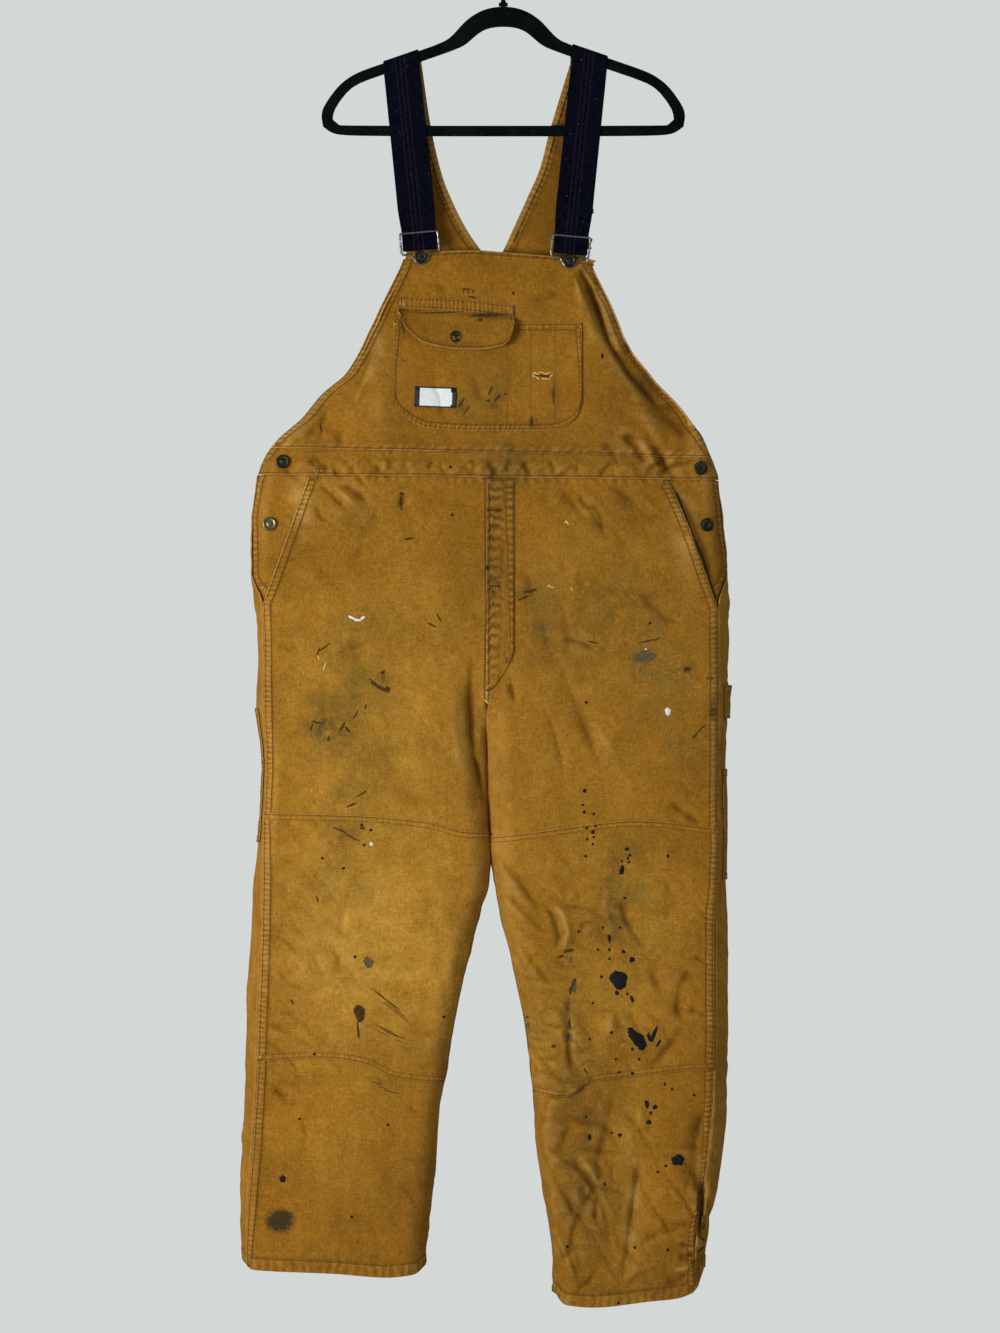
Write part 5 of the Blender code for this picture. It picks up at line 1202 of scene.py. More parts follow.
def worn_metal(name, bright, dull, low, high, spotted, scale):
    """Plated metal: polished where it is handled, with dull patches where the plating has gone."""
    made, tree, surface, place = blank(name)
    patch = patches(tree, place, scale, 4.0, spotted, spotted + 0.18)
    scratch = patches(tree, place, scale * 4, 3.0, stretch=(1.0, 1.0, 0.2))
    finished(tree, surface, layered(tree, bright, (patch, dull)), high, relief=(scratch, 0.25, 0.0002))
    tree.links.new(add(tree, "MapRange", (patch, 0.0, 1.0, low, high)), surface["Roughness"])
    surface["Metallic"].default_value = 1.0
    return made


def nickel_wire(colours):
    """Nickel-plated steel wire, which gives bright lines along its curves and grey between them."""
    return worn_metal("nickel_plated_wire", colours.nickel, colours.nickel_dull, 0.22, 0.5, 0.46, 300.0)


def dark_button(colours):
    """Stamped steel blackened by age, which gives a dark green-brown dome with a worn rim."""
    return worn_metal("blackened_steel_button", colours.button, colours.button_dark, 0.35, 0.6, 0.42, 420.0)


def aged_button(colours):
    """Antique brass plating over steel, worn to dull yellow-grey with dark hollows."""
    return worn_metal("antique_brass_button", colours.brass, colours.brass_dark, 0.30, 0.55, 0.50, 420.0)


def chromed_wire(colours):
    """Polished chromed steel wire, which gives a clean bright hook with faint rubbing."""
    return worn_metal("chromed_steel_wire", colours.chrome, colours.nickel_dull, 0.10, 0.3, 0.60, 180.0)


def flocked_plastic(colours):
    """Injection-moulded plastic flocked with black nylon, which gives a soft black that takes no
    highlight but a faint grey bloom at its edges, with a little lint."""
    made, tree, surface, place = blank("flocked_black_plastic")
    colour = layered(
        tree, colours.flock,
        (patches(tree, place, 30.0, 4.0, 0.42, 0.75), colours.flock_worn),
        (patches(tree, place, 300.0, 2.0, 0.74, 0.77), colours.lint),
    )
    finished(tree, surface, colour, 1.0, 0.04, (patches(tree, place, 900.0, 3.0), 0.6, 0.0004))
    return made


def label_cloth(colours):
    """A woven polyester label: a white face in a black border, close-woven and slightly shiny."""
    made, tree, surface, place = blank("woven_polyester_label")
    thread = patches(tree, place, 900.0, 2.0, stretch=(0.3, 1.0, 2.0))
    shade = add(tree, "MapRange", (thread, 0.3, 0.7, 0.0, 1.0))
    face = add(tree, "Attribute", out="Fac", attribute_name="face")
    white = layered(tree, colours.label_grey, (shade, colours.label))
    colour = layered(tree, colours.label_border, (face, white))
    finished(tree, surface, colour, 0.6, relief=(thread, 0.4, 0.0003))
    return made


def dried_paint(name, colour, edge_colour, shine):
    """House paint dried in drops on the cloth: a skin with a faint shine, thinner at its edges."""
    made, tree, surface, place = blank(name)
    skin = patches(tree, place, 420.0, 3.0)
    thin = add(tree, "MapRange", (skin, 0.35, 0.75, 0.0, 1.0))
    mixed = layered(tree, colour, (thin, edge_colour))
    finished(tree, surface, mixed, 0.7, shine, (skin, 0.5, 0.0004))
    return made


def painted_floor(colours):
    """A floor painted off-white, which sends a little soft light up."""
    made, tree, surface, place = blank("off_white_floor")
    mottle = patches(tree, place, 6.0, 3.0, 0.3, 0.7)
    finished(tree, surface, layered(tree, colours.floor, (mottle, colours.floor_dark)), 0.7)
    return made


# ---------------------------------------------------------------- the garment's pieces

WAIST_Z, WAIST_SLOPE = -0.6455, -0.0125
BAND_TOP_Z, BAND_TOP_SLOPE = -0.6155, -0.0235
MOUTH_LEFT = metres(((-237.5, -647), (-262, -715), (-291.5, -798)))
MOUTH_RIGHT = metres(((200, -647), (229, -715), (260, -804)))
VENT_FOOT = metres(((-300, -798.5), (260, -804)))
WELT_TOP = metres(((-130, -425), (-70, -427.5), (14, -435.1)))
FLY_FOOT = metres(((-20.5, -906), (-14, -902), (-4, -890), (6, -874), (12.5, -858)))
WELT_DEPTH = 0.0134
POCKET_SPAN = 4.6
LOOP_SPAN = 4.4
LOOP_SLACK = 0.005
LABEL_CENTRE = (-0.0828, -0.5478)
LABEL_SIZE = (0.0505, 0.0250)
LABEL_TILT = math.radians(-2.0)
LABEL_GRID = (50, 100)
LABEL_EDGE_RADIUS = 0.0004
# How far a front leg leans on the other, over which width, down to which height.
LEAN, LEAN_REACH, PARTING_Z = 0.0021, 0.016, -1.155
# How far round behind the mouth the hip's piece goes on, as a share of a station.
HIP_BEHIND = 0.09
# The place of a patch's first edge, as a share of the way from the side seam to the outer edge.
PATCH_FIRST = 0.35
# How far the right pocket's mouth stands open, from and to which height.
GAPE, GAPE_TOP_Z, GAPE_FOOT_Z = 0.0060, -0.650, -0.805
# How far the back's top edge lies below the arm, how far the straps draw it in, and at which height.
BACK_TOP_BELOW_ARM = 0.0105
TUCK, TUCK_Z = 0.0045, -0.302
# How tall the back is above and below the bottom of its V, to share out its rows of points.
BACK_UPPER, BACK_LOWER = 0.255, 0.265
BACK_COLUMNS = 60
# How much darker the shoulders are painted above the foot of the V: painted shade for the inner face of the
# upper back, seen past the bib. It darkens both faces.
SHOULDER_SHADE = 0.80


def waist_height(x):
    return WAIST_Z + WAIST_SLOPE * (x + 0.02)


def band_height(x):
    return BAND_TOP_Z + BAND_TOP_SLOPE * (x + 0.02)


def under_the_waist(x):
    return waist_height(x) - SEAM_GAP / 2


def level(height):
    """A line at one height, or a station all the way down."""
    return lambda x: height + 0 * x


def along_line(line, shift=0.0):
    return lambda x: height_on(line, x) + shift


def mouth_station(half, z):
    """Where the slanted pocket mouth cuts the front leg. Below its foot this is the side seam."""
    line = MOUTH_LEFT if half is LEFT else MOUTH_RIGHT
    seam = seam_station(half, z)
    mouth = station_at(half, across_on(line, z), z)
    return np.where(z < line[-1][1], seam, np.minimum(mouth, seam))


def side_edge(half):
    """The back leg's edge on the front, a hair outside the side seam."""
    return lambda z: seam_station(half, z) + SEAM_GAP / (cut_at(half, z).outer_corner * math.pi / 2)


def hem_of(half):
    return along_line(HEM_LEFT if half is LEFT else HEM_RIGHT)


def cloth_piece(name, parts, surface, nodes=(), fused=False):
    """Joins grids of cloth into a piece that stands for its CAD nodes."""
    thing = mesh_of(name, parts, surface, "duck_canvas", *(nodes or [name]), fused=fused)


def leg_nodes(name):
    return [f"{name}_{part}" for part in ("upper", "knee", "lower")]


def pressed_together(half, points):
    """Leans a front leg's inner edge on the other leg's, from the fork down to where they part."""
    x, z = points[..., 0], points[..., 2]
    inner = along(half.rows[:, 0], half.rows[:, 3], z)
    between = ease((FORK_TOP_Z - z) / 0.03) * ease((z - PARTING_Z) / 0.05)
    moved = points.copy()
    moved[..., 0] -= half.sign * LEAN * ease(1 - np.abs(x - inner) / LEAN_REACH) * between
    return moved


def gaping(half, points, like):
    """The cloth by the right pocket's mouth stood off the hip behind it, where it hangs open."""
    if half is LEFT:
        return points
    z = points[..., 2]
    open_here = ease((z - GAPE_FOOT_Z) / 0.060) * ease((GAPE_TOP_Z - z) / 0.040)
    by_the_edge = ease((np.linspace(0, 1, points.shape[1]) - 0.86) / 0.14)
    return points + like * (GAPE * open_here * by_the_edge)[..., None]


def front_leg(half, word, sizes, surface):
    """A front leg from the waist seam to the hem, with its slanted pocket mouth hemmed."""
    name = f"front_leg_{word}"
    points, like = even_grid(
        half, level(EDGE_STATION), lambda z: mouth_station(half, z), under_the_waist, hem_of(half), sizes.step
    )
    points = gaping(half, pressed_together(half, points), like)
    part = worked(points, like, Edges(WAIST_LAP, HEM, INNER_SEAM, SIDE_SEAM), radius=sizes.edge_radius)
    cloth_piece(name, [part], surface, nodes=leg_nodes(name))


def knee_patch(half, word, sizes, surface):
    """The doubled knee, sewn on all round with its upper and lower edges turned under."""
    top, foot = (KNEE_TOP_LEFT, KNEE_FOOT_LEFT) if half is LEFT else (KNEE_TOP_RIGHT, KNEE_FOOT_RIGHT)
    points, like = even_grid(
        half, lambda z: EDGE_STATION + (mouth_station(half, z) - EDGE_STATION) / 12,
        lambda z: mouth_station(half, z), along_line(top), along_line(foot), sizes.step, LAYER,
    )
    edges = Edges(PATCH_EDGE, PATCH_EDGE, INNER_SEAM, SIDE_SEAM)
    part = worked(pressed_together(half, points), like, edges, radius=THIN_RADIUS, bare=0.25)
    cloth_piece(f"knee_patch_{word}", [part], surface)


def hip_piece(half, word, sizes, surface):
    """The side of the hip behind the slanted mouth, hemmed along the open vent."""
    points, like = even_grid(
        half, lambda z: mouth_station(half, z) - HIP_BEHIND,
        lambda z: np.maximum(seam_station(half, z) - 0.04, mouth_station(half, z) + 0.012),
        under_the_waist, along_line(VENT_FOOT, 0.001), sizes.step * 0.8, -LAYER, guess=half.sign * 0.25,
    )
    part = worked(points, like, Edges(RAW, RAW, RAW, BIB_HEM), (0, 0, 0, 1), sizes.edge_radius)
    cloth_piece(f"hip_piece_{word}", [part], surface)


def back_leg(half, word, sizes, surface):
    """A back leg from the waist to the hem, wrapped round the side on to the front."""
    name = f"back_leg_{word}"
    points, like = even_grid(
        half, side_edge(half), level(6 - EDGE_STATION), under_the_waist, hem_of(half), sizes.step
    )
    edges = Edges(WAIST_EDGE, HEM, SIDE_FOLD, INNER_SEAM)
    part = worked(points, like, edges, radius=sizes.edge_radius, front=False)
    cloth_piece(name, [part], surface, nodes=leg_nodes(name))


def side_patch(name, half, span, top, foot, edges, sizes, surface, bow=0.0):
    """A piece on the back leg from by the side seam round to the rear, standing off it by the bow."""

    def first(z):
        edge = side_edge(half)(z)
        return edge + PATCH_FIRST * (3.0 - edge)

    points, like = even_grid(half, first, level(span), level(top), level(foot), sizes.step * 0.8, LAYER)
    share = np.linspace(0, 1, points.shape[1])
    points = points + like * (bow * np.sin(math.pi * share))[None, :, None]
    part = worked(points, like, edges, radius=THIN_RADIUS, front=False)
    cloth_piece(name, [part], surface)


# ---------------------------------------------------------------- bib and back


def both_sides(top, foot, step):
    """One grid across both halves of the front, joined at the centre line."""
    (left, like_left), (right, like_right) = (
        even_grid(half, level(0.0), level(VENT_STATION), top, foot, step, guess=-0.02)
        for half in (LEFT, RIGHT)
    )
    centre = (left[:, :1] + right[:, :1]) / 2
    points = np.concatenate([left[:, :0:-1], centre, right[:, 1:]], axis=1)
    like = np.concatenate([like_left[:, :0:-1], like_left[:, :1], like_right[:, 1:]], axis=1)
    return points, like


def bib_front(sizes, surface):
    """The bib, hemmed round its top and sides."""
    points, like = both_sides(along_line(BIB_TOP), lambda x: band_height(x) + SEAM_GAP / 2, sizes.step)
    part = worked(points, like, Edges(BIB_TOP_HEM, WAIST_EDGE, BIB_HEM, BIB_HEM), radius=sizes.edge_radius)
    cloth_piece("bib_front", [part], surface)


def waistband_front(sizes, surface):
    """The band under the bib, gathered by the waist seam."""
    points, like = both_sides(
        lambda x: band_height(x) - SEAM_GAP / 2, lambda x: waist_height(x) + SEAM_GAP / 2, sizes.step * 0.8
    )
    part = worked(points, like, Edges(RAW, WAIST_FOOT, BIB_HEM, BIB_HEM), (0, 1, 1, 1), sizes.edge_radius)
    cloth_piece("waistband_front", [part], surface)


def back_part(half, top, foot, rows):
    """A grid on one half of the upper back, its outer edge drawn in behind the strap."""
    v, share = np.meshgrid(np.linspace(0, 1, rows + 1), np.linspace(0, 1, BACK_COLUMNS + 1), indexing="ij")
    x = np.full(v.shape, half.sign * 0.1)
    for _ in range(6):
        z = top(x) + (foot(x) - top(x)) * v
        station = even_station(half, z, BACK_EDGE_STATION, 6.0, share)
        x = form(half, station, z)[..., 0]
    points, like = place(half, station, z)
    points[..., 0] -= half.sign * TUCK * np.exp(-(((z - TUCK_Z) / 0.022) ** 2)) * (1 - share) ** 3
    return points, like


def back_bib(sizes, surface):
    """The upper back: two shoulders that part along the V and are one piece below it."""
    v_bottom = level(V_BOTTOM_Z)
    parts, lower = [], []
    for half in (BACK_LEFT, BACK_RIGHT):
        points, like = back_part(
            half, lambda x: arm_top(np.abs(x)) - BACK_TOP_BELOW_ARM, v_bottom, int(BACK_UPPER / sizes.step)
        )
        edges = Edges(RAW, RAW, BIB_HEM, BIB_HEM)
        part = worked(points, like, edges, (1, 0, 1, 1), sizes.edge_radius, False, 0.2)
        # Painted shade on the shoulders, added to the crease shading, strongest above the foot of the V.
        part[2]["hollow"] += SHOULDER_SHADE * ease((part[0][..., 2] - V_BOTTOM_Z) / 0.05)
        parts.append(part)
        lower.append(
            back_part(half, v_bottom, lambda x: waist_height(x) + SEAM_GAP / 2, int(BACK_LOWER / sizes.step))
        )
    (left, like_left), (right, like_right) = lower
    centre = (left[:, -1:] + right[:, -1:]) / 2
    points = np.concatenate([left[:, :-1], centre, right[:, -2::-1]], axis=1)
    like = np.concatenate([like_left, like_right[:, -2::-1]], axis=1)
    edges = Edges(RAW, WAIST_EDGE, BIB_HEM, BIB_HEM)
    parts.append(worked(points, like, edges, (0, 1, 1, 1), sizes.edge_radius, False))
    cloth_piece("back_bib", parts, surface, fused=True)


# ---------------------------------------------------------------- what lies on the front


def on_front(x, z, lift):
    """Points on the front of the bib or the hips, by their place across, and the form's normals."""
    is_left = (x < along(LEFT.rows[:, 0], LEFT.rows[:, 3], z))[..., None]
    left, like_left = place(LEFT, station_at(LEFT, x, z), z, lift)
    right, like_right = place(RIGHT, station_at(RIGHT, x, z), z, lift)
    return np.where(is_left, left, right), np.where(is_left, like_left, like_right)


def front_grid(x0, x1, top, foot, step, lift):
    """A grid on the front between two places across and two lines, and its places across and down."""
    looked_at = np.linspace(x0, x1, 9)
    columns = max(int((x1 - x0) / step), 3)
    rows = max(int(np.max(np.abs(top(looked_at) - foot(looked_at))) / step), 3)
    v, x = np.meshgrid(np.linspace(0, 1, rows + 1), np.linspace(x0, x1, columns + 1), indexing="ij")
    return *on_front(x, top(x) + (foot(x) - top(x)) * v, lift), x, v


def front_piece(name, grid, edges, surface):
    part = worked(grid[0], grid[1], edges, radius=THIN_RADIUS)
    cloth_piece(name, [part], surface)


def bib_pocket(sizes, surface):
    """The chest pocket: its right part is open at the top and sewn into narrow slots for pens."""
    grid = front_grid(
        POCKET_FOOT[0][0], POCKET_FOOT[-1][0],
        lambda x: np.where(x < 0.014, -0.4535, -0.4565), along_line(POCKET_FOOT), sizes.step * 0.7, LAYER,
    )
    edges = Edges(POCKET_HEM, PIECE_EDGE, PIECE_EDGE, PIECE_EDGE)
    front_piece("bib_pocket", grid, edges, surface)


def pocket_welt(sizes, surface):
    """The strip over the chest pocket that holds its flap."""
    grid = front_grid(
        -0.1268, 0.0130, along_line(WELT_TOP), along_line(WELT_TOP, -WELT_DEPTH), sizes.step * 0.5, LAYER
    )
    front_piece("pocket_welt", grid, Edges(WELT_EDGE, WELT_EDGE, RAW, RAW), surface)


def pocket_flap(sizes, surface):
    """The flap, sewn under the strip and hanging free over the pocket."""
    x0, x1 = FLAP_FOOT[0][0], FLAP_FOOT[-1][0]
    points, like, x, v = front_grid(
        x0, x1, along_line(WELT_TOP, -WELT_DEPTH - SEAM_GAP), along_line(FLAP_FOOT), sizes.step * 0.5, 0.0
    )
    # It stands off most at its right corner, and is held down by its button in the middle.
    u = (x - x0) / (x1 - x0)
    stand = 0.0036 + 0.0060 * ease((u - 0.55) / 0.4) + 0.0040 * ease((0.30 - u) / 0.3)
    lift = SEAM_GAP + (LAYER + CLOTH) * ease(v * 5) + stand * ease(v * 1.3)
    edges = Edges(RAW, FLAP_EDGE, FLAP_EDGE, FLAP_EDGE)
    part = worked(points + like * lift[..., None], like, edges, (0, 1, 1, 1))
    cloth_piece("pocket_flap", [part], surface)


def fly_placket(sizes, surface):
    """The fly's strip from the waist, its foot curving in to the centre seam."""
    grid = front_grid(
        FLY_FOOT[0][0], FLY_FOOT[-1][0], lambda x: waist_height(x) - SEAM_GAP, along_line(FLY_FOOT),
        sizes.step * 0.5, LAYER,
    )
    edges = Edges(RAW, RAW, FLY_INNER, FLY_OUTER)
    front_piece("fly_placket", grid, edges, surface)


def pocket_label(surface):
    """A plain woven label: a white face in a black border."""
    rows, columns = LABEL_GRID
    w, u = np.meshgrid(np.linspace(0.5, -0.5, rows + 1), np.linspace(-0.5, 0.5, columns + 1), indexing="ij")
    u, w = u * LABEL_SIZE[0], w * LABEL_SIZE[1]
    x = LABEL_CENTRE[0] + u * math.cos(LABEL_TILT) - w * math.sin(LABEL_TILT)
    z = LABEL_CENTRE[1] + u * math.sin(LABEL_TILT) + w * math.cos(LABEL_TILT)
    points, like = on_front(x, z, 2 * LAYER)
    inside = (u > -0.0190) & (u < 0.0205) & (np.abs(w - 0.0002) < 0.0108)
    part = (points, grid_normals(points, like), {"face": inside.astype(float), "edge": np.zeros(u.shape)})
    for at_end, axis in ((False, 0), (True, 0), (False, 1), (True, 1)):
        part = rim(*part, at_end, axis, LABEL_EDGE_RADIUS)
    thing = mesh_of("pocket_label", [part], surface, "label_cloth", "pocket_label")


# ---------------------------------------------------------------- straps and fastenings

ELASTIC = 0.0020
WIRE_RADIUS = 0.0013
BAR_RADIUS = 0.0012
WIRE_LIFT = SEAM_GAP + WIRE_RADIUS
HANGER_DEPTH = 0.0060
HANGER_ROUND = 0.0012
ARM_START, ARM_END = (0.0770, -0.1155), (0.1500, -0.1405)
ARM_SLOPE = (ARM_START[1] - ARM_END[1]) / (ARM_END[0] - ARM_START[0])
BUCKLE_TILT = math.radians(5.0)
BUCKLE_BAR_UP = 0.0115
BIB_BUTTON_LEFT = (-0.1006, -0.3765)
BIB_BUTTON_RIGHT = (0.0805, -0.3812)
STRAP_TOP_HALF_WIDTH = 0.0215
STRAP_HALF_WIDTH = 0.0225
STRAP_BUCKLE_HALF_WIDTH = 0.0208
STRAP_BACK_END = 0.048
# The steps of a smooth path between two of its given points, along a strap and round a buckle.
STRAP_STEPS = 5
WIRE_STEPS = 8
# An edge of the hanger's faces that turns by more than this, in radians, stays an edge.
SHARP_ANGLE = 0.6


def arm_top(x):
    """The height of the arm's straight upper edge at a distance from the middle."""
    return ARM_START[1] - ARM_SLOPE * (x - ARM_START[0])


def buckle_frame(centre, tilt):
    """The buckle's own axes: across, up, and its middle plane."""
    x, z = centre
    half = LEFT if x < 0 else RIGHT
    flat = form(half, station_at(half, np.array([x]), np.array([z])), np.array([z]))[0]
    return Matrix.Translation((x, flat[1] - WIRE_LIFT, z)) @ Matrix.Rotation(tilt, 4, "Y")


def smoothed(rows, steps):
    """Rows of numbers on a smooth path through the given ones."""
    rows = np.asarray(rows, float)
    padded = np.concatenate([rows[:1], rows, rows[-1:]])
    made = []
    for p0, p1, p2, p3 in zip(padded, padded[1:], padded[2:], padded[3:]):
        for t in np.arange(steps) / steps:
            square = (2 * p0 - 5 * p1 + 4 * p2 - p3) * t * t
            made.append(0.5 * (2 * p1 + (p2 - p0) * t + square + (3 * p1 - p0 - 3 * p2 + p3) * t**3))
    made.append(rows[-1])
    return np.array(made)


def strap_rows(side, centre, tilt, top_x):
    """The strap's path: its middle, its half width and how far it rises from its left to its right."""
    buckle = buckle_frame(centre, tilt)
    plane = buckle.translation.y
    half = ELASTIC / 2
    clear = SEAM_GAP + half
    slope = -side * ARM_SLOPE
    top_z = arm_top(abs(top_x))
    near = HANGER_DEPTH / 2 + clear
    shoulder = along(DEPTH[:, 0], DEPTH[:, 2], np.array([top_z - STRAP_BACK_END]))[0]
    behind = shoulder + 2 * SEAM_GAP + half
    turn = BAR_RADIUS + clear
    passing = WIRE_RADIUS + clear
    leaning = -math.tan(tilt)
    foot = buckle @ Vector((0.0, 0.0, 0.034))
    slant = (foot.x - top_x) / (top_z - foot.z)
    rows = [
        (top_x + slant * down, behind, top_z - down, STRAP_TOP_HALF_WIDTH, slope)
        for down in (STRAP_BACK_END, 0.026, 0.009)
    ]
    # Up and over the arm, and down its front as it went up behind.
    bend_radius = HANGER_ROUND + clear
    over = []
    for angle in (math.pi / 2 * k / 4 for k in range(5)):
        y = near - bend_radius + bend_radius * math.cos(angle)
        z = top_z - HANGER_ROUND + (HANGER_ROUND + clear * 1.1 + 0.0001) * math.sin(angle)
        over.append((top_x, y, z, STRAP_TOP_HALF_WIDTH, slope))
    rows += over
    rows += [(x, -y, z, w, lean) for x, y, z, w, lean in reversed(over)]
    for t in (k / 8 for k in range(9)):
        x = top_x + (foot.x - top_x) * t
        z = (top_z - 0.004) + (foot.z - top_z + 0.004) * t
        y = -near + (plane + passing + near) * float(ease((t - 0.45) / 0.55))
        width = STRAP_TOP_HALF_WIDTH + (STRAP_HALF_WIDTH - STRAP_TOP_HALF_WIDTH) * t
        rows.append((x, y, z, STRAP_BUCKLE_HALF_WIDTH if t == 1 else width, slope * (1 - t) + leaning * t))
    # Through the buckle, round its bar and back up behind itself.
    inside = [(0.0270, passing), (0.0215, 0.3 * passing), (0.0165, -0.8 * turn)]
    for angle in (math.pi * k / 6 for k in range(7)):
        inside.append((BUCKLE_BAR_UP - turn * math.sin(angle), -turn * math.cos(angle)))
    inside += [(0.0165, turn + 0.0002), (0.0240, passing + 0.0026), (0.0380, passing + 0.0030)]
    return rows + [
        (*(buckle @ Vector((0.0, depth, up))), STRAP_BUCKLE_HALF_WIDTH, leaning) for up, depth in inside
    ]


def strap(half, word, centre, tilt, top_x, surface):
    """A wide elastic strap, from the back's shoulder over the hanger's arm and round the buckle's bar."""
    rows = smoothed(strap_rows(half.sign, centre, tilt, top_x), STRAP_STEPS)
    middle, width, lean = rows[:, :3], rows[:, 3], rows[:, 4]
    side = np.stack([np.ones(len(rows)), 0 * lean, lean], -1)
    out = unit(np.cross(unit(np.gradient(middle, axis=0)), unit(side)))
    down = lengths_down(middle)
    # Round the strap's section: across its face, round its edge, and back across its underside.
    ring = [(s, 1.0) for s in np.linspace(-0.965, 0.965, 29)]
    ring += [(0.99, 0.6), (1.0, 0.0), (0.99, -0.6)]
    ring += [(s, -1.0) for s in np.linspace(0.965, -0.965, 15)]
    ring += [(-0.99, -0.6), (-1.0, 0.0), (-0.99, 0.6), (-0.965, 1.0)]
    share, rise = np.array(ring).T
    across = width[:, None] * share
    points = middle[:, None] + side[:, None] * across[..., None]
    points += out[:, None] * (rise * ELASTIC / 2)[:, None]
    values = {"across": across, "down": np.repeat(down[:, None], len(ring), axis=1)}
    part = (points, np.repeat(out[:, None], len(ring), axis=1), values)
    # The winding is told by a point of the outer face, so the caps are turned the same way after.
    name = f"strap_{word}"
    thing = mesh_of(name, [part], surface, "elastic_webbing", name, fused=True)
    shape = bmesh.new()
    shape.from_mesh(thing.data)
    bmesh.ops.holes_fill(shape, edges=shape.edges, sides=0)
    bmesh.ops.recalc_face_normals(shape, faces=shape.faces)
    shape.to_mesh(thing.data)
    shape.free()


# Half of the buckle's wire, as (across, up) from its button.
BUCKLE_HALF = (
    (0.0, 0.0300), (0.0200, 0.0300), (0.0228, 0.0280), (0.0232, 0.0180), (0.0228, 0.0070),
    (0.0200, 0.0042), (0.0125, 0.0032), (0.0088, -0.0010), (0.0048, -0.0066), (0.0, -0.0086),
)


def buckle(word, centre, tilt, surface):
    """One bent wire: a frame for the strap, and a V that hooks under the bib's button."""
    name = f"buckle_{word}"
    at = buckle_frame(centre, tilt)
    loop = list(BUCKLE_HALF) + [(-x, z) for x, z in reversed(BUCKLE_HALF[1:-1])]
    path = smoothed([(x, 0.0, z) for x, z in loop[-2:] + loop + loop[:2]], WIRE_STEPS)
    path = path[2 * WIRE_STEPS : (2 + len(loop)) * WIRE_STEPS]
    curve = bpy.data.curves.new(name, "CURVE")
    curve.dimensions = "3D"
    curve.bevel_depth = WIRE_RADIUS
    curve.bevel_resolution = 5
    curve.use_fill_caps = True
    spline = curve.splines.new("POLY")
    spline.points.add(len(path) - 1)
    for point, spot in zip(spline.points, path):
        point.co = (*(at @ Vector(spot)), 1)
    spline.use_cyclic_u = True
    put(f"{name}_wire", curve, surface, "nickel_wire", name)


def rounded(name, surface):
    """A copy of a flat moulding with its outline rounded between the edges of its faces."""
    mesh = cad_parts[name].data.copy()
    mesh.transform(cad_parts[name].matrix_world)
    shape = bmesh.new()
    shape.from_mesh(mesh)
    bmesh.ops.remove_doubles(shape, verts=shape.verts, dist=0.00002)
    sharp = shape.edges.layers.float.new("crease_edge")
    for line in shape.edges:
        if len(line.link_faces) == 2 and line.calc_face_angle() > SHARP_ANGLE:
            line[sharp] = 1.0
    shape.to_mesh(mesh)
    shape.free()
    mesh.materials.clear()
    thing = put(f"{name}_flocked", mesh, surface, "flocked_plastic", name)
    finer = thing.modifiers.new("finer", "SUBSURF")
    finer.levels = finer.render_levels = 2


# Half profiles from the middle of the face outward and down, as shares of the radius and heights
# above the foot of the head in shares of its thickness.
TACK_FACE = (
    (0.0, 0.90), (0.14, 0.92), (0.22, 0.98), (0.30, 0.90), (0.42, 0.80), (0.60, 0.80), (0.72, 0.88),
    (0.82, 1.0), (0.90, 0.99), (0.97, 0.84), (1.0, 0.58), (0.97, 0.38), (0.90, 0.32),
)
TACK_HEAD = 0.0026
TACK_SIDES = 48


def stud(name, x, z, base, radius, shank, surface, slot):
    """A tack button: a dished head with a rolled rim and a centre pip, on a short shank."""
    points, like = on_front(np.array([[x]]), np.array([[z]]), base + SEAM_GAP)
    profile = [(share * radius, shank + rise * TACK_HEAD) for share, rise in TACK_FACE]
    profile += [(radius * 0.45, shank + 0.25 * TACK_HEAD), (radius * 0.45, 0.0)]
    shape = bmesh.new()
    rings = []
    for r, h in profile:
        angles = [2 * math.pi * k / TACK_SIDES for k in range(TACK_SIDES if r else 1)]
        rings.append([shape.verts.new((r * math.cos(a), r * math.sin(a), h)) for a in angles])
    for upper, lower in zip(rings, rings[1:]):
        for k in range(TACK_SIDES):
            m = (k + 1) % TACK_SIDES
            if len(upper) == 1:
                shape.faces.new((upper[0], lower[k], lower[m]))
            else:
                shape.faces.new((upper[k], lower[k], lower[m], upper[m]))
    mesh = bpy.data.meshes.new(name)
    shape.to_mesh(mesh)
    shape.free()
    mesh.shade_smooth()
    turn = Vector((0, 0, 1)).rotation_difference(Vector(like[0, 0])).to_matrix().to_4x4()
    mesh.transform(Matrix.Translation(Vector(points[0, 0])) @ turn)
    put(f"{name}_head", mesh, surface, slot, name)


# ---------------------------------------------------------------- thread and paint

# A stitch's sections as shares of its length and of its width, and the sides of a section.
STITCH_SECTIONS = ((-0.5, 0.0), (-0.32, 1.0), (0.32, 1.0), (0.5, 0.0))
STITCH_SIDES = 5
# The pitch, length and width of a bar tack's stitches, and the steps that lay seams on the cloth.
TACK_STITCH = (0.0012, 0.0018, 0.0012)
INNER_STEP = 0.0015
TACK_STEP = 0.0008


def cloth_trees():
    graph = bpy.context.evaluated_depsgraph_get()
    return [BVHTree.FromObject(BUILT[name], graph) for name in FRONT_CLOTH]


def laid_on(trees, x, z, lift):
    """The point on the outermost cloth in front of a place, lifted, and the way the cloth faces."""
    ahead = Vector((0, 1, 0))
    hits = [tree.ray_cast(Vector((x, -1, z)), ahead) for tree in trees]
    hits = [hit for hit in hits if hit[0] is not None]
    if not hits:
        return None, None
    spot, normal, _, _ = min(hits, key=lambda hit: hit[3])
    if normal.dot(ahead) > 0:
        normal = -normal
    return spot + normal * lift, normal


